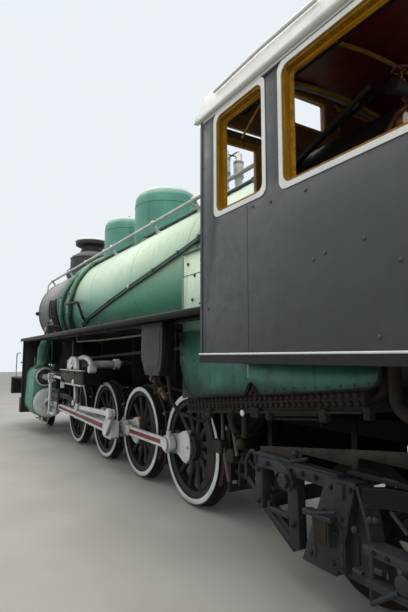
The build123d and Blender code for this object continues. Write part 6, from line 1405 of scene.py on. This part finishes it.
P = Piece("skirt_fittings", "engine", [m_skirt, m_trim, m_line, m_ring, m_red, m_rust], "boiler_green")
low = [(-440, 1400), (-520, 1240), (-600, 1150), (-700, 1121), (-1425, 1191), (-1457, 1226), (-1488, 1275), (-1519, 1288), (-1559, 1267), (-1605, 1223), (-1633, 1205), (-2046, 1244),
       (-2444, 1286), (-2557, 1298), (-2601, 1321), (-2623, 1352), (-2637, 1425)]
for s in (1, -1):
    P.add(pipe([(D(d), s * .9505, H(z) + .002) for d, z in low], .0045, 6, .02), 5)
    # upright seams: white near the front, plain at the joint
    P.add(cbox(D(-1489), D(-1483), s * .950, s * .9535, H(1322), H(1425), .001), 1)
    P.add(cbox(D(-960), D(-957), s * .950, s * .9530, H(1160), H(1690), .001), 2)
    P.add(heads(along((D(-740), s * .9515, H(1154)), (D(-1400), s * .9515, H(1218)), 7), (0, s, 0), .009, .005, 8), 2)
    P.add(heads(along((D(-1680), s * .9515, H(1236)), (D(-2560), s * .9515, H(1326)), 10), (0, s, 0), .009, .005, 8), 2)
    P.add(heads([(D(d), s * .9515, H(z)) for d, z in ((-470, 1420), (-470, 1500), (-470, 1600), (-700, 1440), (-1050, 1470), (-900, 1640), (-1250, 1640))], (0, s, 0), .009, .005, 8), 2)
    # bolts showing in the notch
    P.add(nuts([(D(d), s * .918, H(z)) for d, z in ((-1500, 1215), (-1530, 1245), (-1560, 1212))], (0, s, 0), .022, .020), 5)
    # ring at the firebox's foot: two rows of fat bolt heads and a lower flange
    pts = []
    for k in range(34):
        d = -520 - k * 58
        z = 1123 + .097 * (-d - 711)
        pts.append((D(d), s * .8945, H(z - 30)))
        pts.append((D(d - 8), s * .8945, H(z - 78)))
    P.add(heads(pts, (0, s, 0), .0195, .018, 10), 3)
    zr = lambda d: H(1123 + .097 * (-d - 711))
    P.add(prism([(D(-500), zr(-500) - .118), (D(-2480), zr(-2480) - .118), (D(-2480), zr(-2480) - .134), (D(-500), zr(-500) - .134)], "y", s * .893, s * .926, .003), 3)
    # clamps and cocks below the ring
    for d, z, w, h in ((-1526, 1092, .10, .07), (-2193, 1142, .06, .08), (-2521, 1186, .05, .07), (-1245, 1060, .05, .05), (-900, 1030, .06, .07)):
        P.add(cbox(D(d) - w / 2, D(d) + w / 2, s * .885, s * .935, H(z) - h / 2 - .02, H(z) + h / 2 - .02, .006), 3)
    P.add(pipe([(D(-1640), s * .91, H(1070)), (D(-2140), s * .91, H(1120))], .009, 8), 5)
    P.add(pipe([(D(-1660), s * .90, H(1045)), (D(-2130), s * .90, H(1090))], .007, 8), 5)
    knobs(P, [(D(-1245), s * .93, H(1040)), (D(-1700), s * .93, H(1062))], (0, s, 0), .030, 3)
    P.add(lathe((D(-1385), s * .925, H(1058)), (0, s, 0), [(0, 0), (.021, 0), (.023, .004), (.023, .012), (.016, .016), (0, .016)], 18), 1)
P.done()

P = Piece("side_box_fittings", "engine", [m_box, m_tan, m_rust, m_black, m_steel], "running_black")
for s in (1, -1):
    P.add(prism(poly([(-14, 1760), (-456, 1760), (-456, 1752), (-14, 1752)]), "y", s * 1.152, s * 1.162, .002), 0)
    P.add(heads([(D(d), s * 1.1545, H(z)) for d, z in ((-30, 1740), (-440, 1740), (-30, 1500), (-440, 1520), (-120, 1330), (-395, 1330), (-235, 1740), (-260, 1330))], (0, s, 0), .010, .006, 8), 0)
    P.add(prism(poly([(-60, 1700), (-420, 1700), (-420, 1500), (-380, 1380), (-140, 1380), (-60, 1480)]), "y", s * 1.153, s * 1.158, .002), 0)
    # collared valve and hose hanging under the box
    top = Vector((D(-70), s * 1.06, H(1300)))
    end = Vector((D(-290), s * 1.02, H(1085)))
    ax = (end - top).normalized()
    L_ = (end - top).length
    P.add(lathe(top, ax, [(0, 0), (.034, 0), (.034, .03), (.050, .034), (.050, .060), (.030, .066), (.030, .11), (.044, .115), (.044, .140), (.028, .146), (.028, .20), (.040, .205), (.040, .225), (.026, .23), (.026, L_), (0, L_)], 18), 1)
    P.add(lathe(top + Vector((-.10, 0, -.02)), (0, 0, -1), [(0, 0), (.028, 0), (.028, .06), (.046, .064), (.046, .090), (.026, .096), (.026, .16), (0, .16)], 16), 2)
    P.add(pipe([(D(-392), s * 1.06, H(1335)), (D(-393), s * 1.04, H(1200)), (D(-394), s * 1.02, H(1080)), (D(-420), s * .95, H(960)), (D(-620), s * .80, H(900))], .016, 10, .06), 3)
    P.add(pipe([(D(-200), s * 1.05, H(1300)), (D(-215), s * 1.04, H(1210)), (D(-330), s * .90, H(1160)), (D(-620), s * .80, H(1150))], .014, 10, .05), 2)
P.done()

P = Piece("step_treads", "engine", [m_black, m_steel, m_rail, m_frame], "running_black")
for s in (1, -1):
    for z in (400, 760, 1120):
        for k in range(6):
            P.add(cbox(D(-3780 + k * 50), D(-3764 + k * 50), s * 1.02, s * 1.27, H(z + 25) - .001, H(z + 25) + .005, .0015), 1)
        P.add(nuts([(D(d), s * .9155, H(z + 60)) for d in (-3740, -3530)], (0, s, 0), .012, .010), 1)
    for z in (345, 1345):
        for k in range(4):
            P.add(cbox(D(6030 + k * 46), D(6044 + k * 46), s * .82, s * 1.18, H(z + 22) - .001, H(z + 22) + .005, .0015), 1)
    P.add(nuts([(D(6016), s * y, H(z)) for y in (.74, 1.16) for z in (420, 700, 1000, 1290, 1500, 1740)], (1, 0, 0), .011, .009), 0)
    P.add(nuts([(D(5989), s * y, H(z)) for y in (.74, 1.16) for z in (420, 700, 1000, 1290, 1500, 1740)], (-1, 0, 0), .011, .009), 0)
    P.add(cbox(D(5978), D(5991), s * 1.165, s * 1.199, H(360), H(1815), .002), 0)
    P.add(cbox(D(5978), D(5991), s * .702, s * .735, H(360), H(1815), .002), 0)
P.done()
# =============================================================== trucks, springs, brakes and the ends
P = Piece("trailing_truck_fittings", "trailing_truck", [m_truck, m_spring, m_steel, m_rust, m_tan, m_white, m_box, m_black], "frame_black")
for s in (1, -1):
    def bar(pts, y0, y1, mat=0, c=.004):
        P.add(prism(poly(pts), "y", s * y0, s * y1, c), mat)
    # rolled edges of the frame plate, U shaped strap, and lid with its lip
    bar([(-1570, 792), (-2325, 800), (-2325, 812), (-1600, 822), (-1566, 804)], .893, .962)
    bar([(-1660, 500), (-1660, 440), (-1880, 440), (-1880, 500), (-1850, 500), (-1850, 470), (-1690, 470), (-1690, 500)], .895, .935, 0)
    bar([(-2340, 592), (-2120, 592), (-2120, 560), (-2150, 560), (-2150, 578), (-2340, 578)], .985, 1.040, 0)
    bar([(-2296, 560), (-2190, 560), (-2200, 430), (-2290, 430)], 1.020, 1.026, 3, .003)
    P.add(pipe([(D(-2150), s * 1.037, H(574)), (D(-2380), s * 1.037, H(634))], .008, 8), 0)
    # big nut and washers on the hanger pin
    P.add(lathe((D(-1928), s * .985, H(700)), (0, s, 0), [(0, 0), (.070, 0), (.070, .010), (.048, .014), (.048, .040), (.040, .046), (0, .046)], 6), 0)
    P.add(lathe((D(-1946), s * .925, H(812)), (0, 0, 1), [(0, 0), (.034, 0), (.034, .020), (.014, .026), (.014, .040), (0, .040)], 14), 0)
    knobs(P, [(D(-1946), s * .925, H(862))], (0, 0, 1), .022, 0)
    P.add(pipe([(D(-1568), s * .955, H(735)), (D(-1568), s * .955, H(808)), (D(-1520), s * .955, H(815)), (D(-1459), s * .955, H(735)), (D(-1459), s * .955, H(608))], .013, 10, .03), 0)
    P.add(cyl((D(-1807), s * .96, H(818)), (D(-1941), s * .96, H(762)), .011, .011, 8), 7)
    P.add(cyl((D(-1943), s * .96, H(811)), (D(-2096), s * .96, H(858)), .011, .011, 8), 7)
    P.add(nuts([(D(d), s * .956, H(z)) for d, z in ((-1700, 757), (-2040, 760), (-2150, 760), (-2260, 760), (-1948, 430), (-1600, 700), (-1600, 490))], (0, s, 0), .018, .016), 0)
    P.add(nuts([(D(d), s * .9865, H(z)) for d, z in ((-2440, 760), (-2300, 745), (-2430, 640), (-2240, 600), (-2370, 590))], (0, s, 0), .015, .014), 0)
    P.add(nuts([(D(d), s * .9705, H(z)) for d, z in ((-2320, 500), (-2290, 330), (-2120, 330), (-2180, 500))], (0, s, 0), .015, .014), 0)
    # pipes beside the brace
    P.add(pipe([(D(-1366), s * .88, H(745)), (D(-1420), s * .88, H(690)), (D(-1684), s * .88, H(568))], .012, 8, .05), 3)
    P.add(pipe([(D(-1400), s * .90, H(600)), (D(-1520), s * .90, H(520)), (D(-1860), s * .90, H(300))], .016, 8, .05), 0)
    P.add(pipe([(D(-2502), s * 1.0, H(547)), (D(-2502), s * 1.0, H(399))], .007, 8), 1)
    P.add(cbox(D(-2455), D(-2519), s * .985, s * 1.010, H(355), H(375), .003), 0)
    P.add(cbox(D(-2621), D(-2672), s * 1.005, s * 1.045, H(420), H(445), .004), 0)
    P.add(cyl((D(-2594), s * 1.03, H(262)), (D(-2753), s * 1.03, H(377)), .013, .013, 10), 0)
    P.add(cyl((D(-2727), s * 1.03, H(733)), (D(-2815), s * 1.03, H(655)), .010, .010, 8), 0)
    P.add(cbox(D(-2665), D(-2757), s * .985, s * 1.010, H(852), H(876), .004), 0)
    knobs(P, [(D(-2615), s * 1.0, H(655)), (D(-2477), s * 1.0, H(569)), (D(-2581), s * 1.0, H(648))], (0, s, 0), .022, 0)
    # rear equaliser bars with bosses, keeper plates on the axlebox
    P.add(lathe((D(-2792), s * 1.040, H(428)), (0, s, 0), [(0, -.002), (.040, -.002), (.044, .004), (.044, .014), (.032, .020), (0, .020)], 18), 0)
    P.add(nuts([(D(d), s * 1.0405, H(512)) for d in (-2620, -2700, -2880, -2950)], (0, s, 0), .014, .012), 0)
    P.add(cbox(D(-2160), D(-2136), s * .955, s * .975, H(300), H(560), .003), 0)
    P.add(cbox(D(-2364), D(-2340), s * .955, s * .975, H(300), H(560), .003), 0)
    P.add(heads([(D(d), s * .9755, H(z)) for d in (-2148, -2352) for z in (330, 400, 470, 540)], (0, s, 0), .009, .007, 8), 0)
    P.add(nuts([(D(-1610), s * y, H(531)) for y in (.30, .60, .80)], (0, 0, 1), .016, .014), 0)
P.add(lathe((D(-950), 0, H(545)), (0, 0, 1), [(.042, 0), (.080, 0), (.084, .006), (.084, .020), (.042, .024)], 28, closed=True), 2)
P.done()

P = Piece("rear_rigging", "engine", [m_truck, m_spring, m_weight, m_tan, m_black, m_steel, m_rust, m_ash], "frame_black")
for s in (1, -1):
    # pipes, cocks and clips that hang under the firebox ahead of the truck
    P.add(pipe([(D(-1055), s * .80, H(1060)), (D(-1055), s * .80, H(928)), (D(-1120), s * .80, H(860))], .030, 12, .05), 2)
    P.add(pipe([(D(-1233), s * .80, H(1060)), (D(-1233), s * .80, H(843))], .026, 12, .05), 2)
    P.add(pipe([(D(-968), s * .78, H(986)), (D(-1030), s * .78, H(930)), (D(-1097), s * .78, H(680))], .016, 10, .10), 3)
    knobs(P, [(D(-1235), s * .84, H(802))], (0, s, 0), .045, 2)
    P.add(lathe((D(-981), s * .70, H(659)), (0, s, 0), [(0, 0), (.055, 0), (.060, .01), (.060, .07), (.050, .08), (0, .08)], 20), 2)
    P.add(lathe((D(-1336), s * .70, H(642)), (0, s, 0), [(0, 0), (.040, 0), (.044, .01), (.044, .04), (.036, .05), (0, .05)], 18), 0)
    P.add(pipe([(D(-620), s * .76, H(1060)), (D(-640), s * .76, H(900)), (D(-700), s * .76, H(760))], .020, 10, .06), 4)
    P.add(pipe([(D(-760), s * .70, H(1040)), (D(-800), s * .72, H(720)), (D(-860), s * .70, H(420))], .016, 10, .06), 3)
    P.add(cbox(D(-820), D(-700), s * .66, s * .76, H(640), H(760), .010), 2)
    # sooty chute sheets that hang from the hopper's sides between the frames
    P.add(cbox(D(-900), D(-1850), s * .328, s * .335, H(562), H(800), .002), 7)
    P.add(cbox(D(-1680), D(-1850), s * .326, s * .333, H(790), H(938), .002), 7)
    P.add(cbox(D(-897), D(-904), 0, s * .330, H(562), H(938), .002), 7)
    P.add(cbox(D(-900), D(-1085), s * .326, s * .333, H(790), H(938), .002), 7)
    # hanging bracket, equalising cylinder and levers behind the last driving wheel
    P.add(cbox(D(-690), D(-955), s * .492, s * .506, H(345), H(668), .004), 1)
    P.add(cbox(D(-700), D(-740), s * .500, s * .560, H(600), H(660), .006), 1)
    P.add(cbox(D(-720), D(-735), s * .508, s * .600, H(380), H(640), .005), 0)
    P.add(cyl((D(-760), s * .560, H(585)), (D(-940), s * .560, H(600)), .050, .050, 18, .008), 0)
    P.add(cyl((D(-770), s * .556, H(470)), (D(-930), s * .556, H(440)), .024, .024, 12, .004), 1)
    P.add(cbox(D(-820), D(-850), s * .508, s * .580, H(360), H(560), .006), 4)
    P.add(nuts([(D(d), s * .507, H(z)) for d, z in ((-900, 520), (-905, 400), (-780, 400), (-790, 530))], (0, s, 0), .020, .022), 0)
    # injector delivery and feed pipes from the cab down to the tender connections
    P.add(pipe([(D(-2700), s * .92, H(1430)), (D(-2700), s * .92, H(1180)), (D(-3100), s * .88, H(1140)), (D(-3880), s * .80, H(1120)), (D(-3960), s * .80, H(1000))], .034, 14, .10), 6)
    P.add(pipe([(D(-2560), s * .82, H(1430)), (D(-2560), s * .82, H(1260)), (D(-2200), s * .78, H(1170)), (D(-600), s * .76, H(1090)), (D(-480), s * .80, H(1240)), (D(-440), s * .96, H(1700))], .024, 12, .08), 6)
    P.add(lathe((D(-3000), s * .88, H(1140)), (-1, 0, 0), [(0, 0), (.060, 0), (.066, .010), (.066, .200), (.056, .220), (.040, .240), (0, .240)], 22), 2)
    # bolts of the frame bars and cross stays
    P.add(nuts([(D(d), s * .4305, H(z)) for d in (-1300, -1700, -2900, -3300, -3700) for z in (975, 1045)], (0, s, 0), .018, .016), 4)
    P.add(nuts([(D(d), s * .4305, H(865)) for d in (300, 640, 1000, 1700, 2000, 2250, 2950, 3250, 3650, 4400, 4700, 6150, 6450, 6750)], (0, s, 0), .018, .016), 4)
    for d in (-3990, -3960):
        P.add(heads(along((D(d), s * .10, H(1076)), (D(d), s * .80, H(1076)), 7), (0, 0, 1), .014, .010, 8), 4)
P.done()

P = Piece("spring_fittings", "engine", [m_spring, m_steel, m_rust, m_black], "frame_black")
for dd in (0, 1295, 2590, 4030):
    for s in (1, -1):
        y = s * .3825
        # buckle round the leaves, and hanger nuts at both ends
        P.add(cbox(D(dd) - .050, D(dd) + .050, y - .047, y + .047, H(950) + .004, H(950) + .088, .006), 0)
        for e in (-1, 1):
            P.add(nuts([(D(dd) + e * .360, y, H(1014))], (0, 0, 1), .020, .018), 1)
            P.add(cyl((D(dd) + e * .360, y - .044, H(965)), (D(dd) + e * .360, y + .044, H(965)), .012, .012, 10), 1)
        # keeper under the axlebox and oil pad lid
        P.add(nuts([(D(dd) + e * .150, y, H(416)) for e in (-1, 1)], (0, 0, -1), .014, .014), 3)
P.done()

P = Piece("brake_fittings", "engine", [m_rust, m_steel, m_weight], "frame_black")
for dd in (0, 1295, 2590, 4030):
    for s in (1, -1):
        x = D(dd) - .6405
        P.add(cyl((x, s * .425, H(850) - .028), (x, s * .560, H(850) - .028), .017, .017, 12, .003), 1)
        P.add(nuts([(x, s * .560, H(822))], (0, s, 0), .020, .016), 1)
P.done()

P = Piece("pony_truck_fittings", "pony_truck", [m_frame, m_steel, m_spring], "frame_black")
for s in (1, -1):
    P.add(nuts([(D(d), s * .4255, H(z)) for d in (6230, 6290, 6610, 6690) for z in (455, 515)], (0, s, 0), .014, .012), 0)
    P.add(cbox(D(6340), D(6360), s * .425, s * .440, H(250), H(540), .003), 0)
    P.add(cbox(D(6540), D(6560), s * .425, s * .440, H(250), H(540), .003), 0)
    P.add(nuts([(D(6450) + dx, s * .380, H(541)) for dx in (-.18, .20)], (0, 0, 1), .016, .014), 1)
P.add(lathe((D(5250), 0, H(545)), (0, 0, 1), [(.042, 0), (.080, 0), (.084, .006), (.084, .018), (.042, .022)], 28, closed=True), 1)
P.add(lathe((D(6450), 0, H(700)), (0, 0, -1), [(.150, 0), (.168, 0), (.172, .006), (.172, .018), (.150, .020)], 40, closed=True), 1)
P.done()

P = Piece("front_fittings", "engine", [m_black, m_steel, m_rail, m_tan, m_frame, m_red, m_white], "running_black")
for s in (1, -1):
    # black sheet across the space between the saddle and the steam pipe, standing in as painted shade
    P.add(cbox(D(5427), D(5433), s * .40, s * .84, H(1330), H(1790), .001), 4)
    P.add(nuts([(D(7190) + .0005, s * y, H(z)) for y in (.22, .40, .62, .86, 1.08) for z in (790, 930)], (1, 0, 0), .016, .014), 1)
    P.add(pipe([(D(7120), s * 1.13, H(985)), (D(7120), s * 1.13, H(1500)), (D(7060), s * 1.13, H(1560)), (D(6700), s * 1.13, H(1560))], .014, 10, .08), 2)
    P.add(pipe([(D(7195), s * .50, H(900)), (D(7240), s * .50, H(900)), (D(7250), s * .50, H(840)), (D(7245), s * .46, H(640)), (D(7225), s * .42, H(560))], .026, 12, .06), 0)
    P.add(lathe((D(7190), s * .50, H(900)), (1, 0, 0), [(0, 0), (.046, 0), (.046, .018), (.030, .024), (0, .024)], 20), 1)
    for d in (6200, 6500, 6800):
        P.add(cbox(D(d) - .003, D(d) + .003, s * .05, s * 1.05, H(994) - .001, H(994) + .0015, .0005), 4)
P.add(nuts([(D(7190) + .0005, y, H(z)) for y in (-.17, .17) for z in (650, 760, 850)], (1, 0, 0), .016, .014), 1)
P.add(pipe([(D(7195), .26, H(800)), (D(7265), .26, H(800)), (D(7265), .26, H(620)), (D(7265), .10, H(560))], .010, 8, .03), 1)
P.done()

# =============================================================== camera, light and floor
cam_data = bpy.data.cameras.new("camera")
cam = bpy.data.objects.new("camera", cam_data)
bpy.context.scene.collection.objects.link(cam)
cam_data.lens, cam_data.sensor_width, cam_data.sensor_fit = 27.336, 36.0, "AUTO"
cam_data.clip_start, cam_data.clip_end = 0.05, 200
cam.location = (-6.016, 2.998, 1.4994)
yaw, pitch = math.radians(31.145), math.radians(6.2645)
fwd = Vector((math.cos(yaw) * math.cos(pitch), -math.sin(yaw) * math.cos(pitch), math.sin(pitch)))
cam.rotation_mode = "QUATERNION"
cam.rotation_quaternion = fwd.to_track_quat("-Z", "Y")
bpy.context.scene.camera = cam

me = bpy.data.meshes.new("floor")
R = 45.0
pts = [(0, 0, 0)] + [(r * math.cos(g), r * math.sin(g), 0) for r in (12.0, R) for g in [2 * math.pi * k / 48 for k in range(48)]]
fc = [[0, 1 + k, 1 + (k + 1) % 48] for k in range(48)] + [[1 + k, 49 + k, 49 + (k + 1) % 48, 1 + (k + 1) % 48] for k in range(48)]
me.from_pydata(pts, [], fc)
floor = bpy.data.objects.new("floor", me)
bpy.context.scene.collection.objects.link(floor)
F = Mat("studio_floor")
fn = F.noise(1.2, 4, 0.5)
F.link(F.mix(F.span(fn, 0.3, 0.7), lin((176, 172, 164)), lin((166, 162, 154))), F.b.inputs["Base Color"])
F.b.inputs["Roughness"].default_value = 0.9
me.materials.append(F.m)

world = bpy.data.worlds.new("world")
bpy.context.scene.world = world
world.use_nodes = True
bg = world.node_tree.nodes["Background"]
bg.inputs[0].default_value = lin((228, 233, 238))
bg.inputs[1].default_value = 1.08


def area(name, loc, target, size, power, col=(255, 252, 246)):
    ld = bpy.data.lights.new(name, "AREA")
    ld.shape, ld.size, ld.size_y, ld.energy = "RECTANGLE", size[0], size[1], power
    ld.color = lin(col)[:3]
    ob = bpy.data.objects.new(name, ld)
    bpy.context.scene.collection.objects.link(ob)
    ob.location = loc
    ob.rotation_mode = "QUATERNION"
    ob.rotation_quaternion = (Vector(target) - Vector(loc)).to_track_quat("-Z", "Y")
    ob.visible_camera = False
    return ob


area("overhead", (0.5, 1.5, 9.5), (0.5, 0, 1.5), (16, 9), 760)
bpy.context.scene.view_settings.view_transform = "Standard"
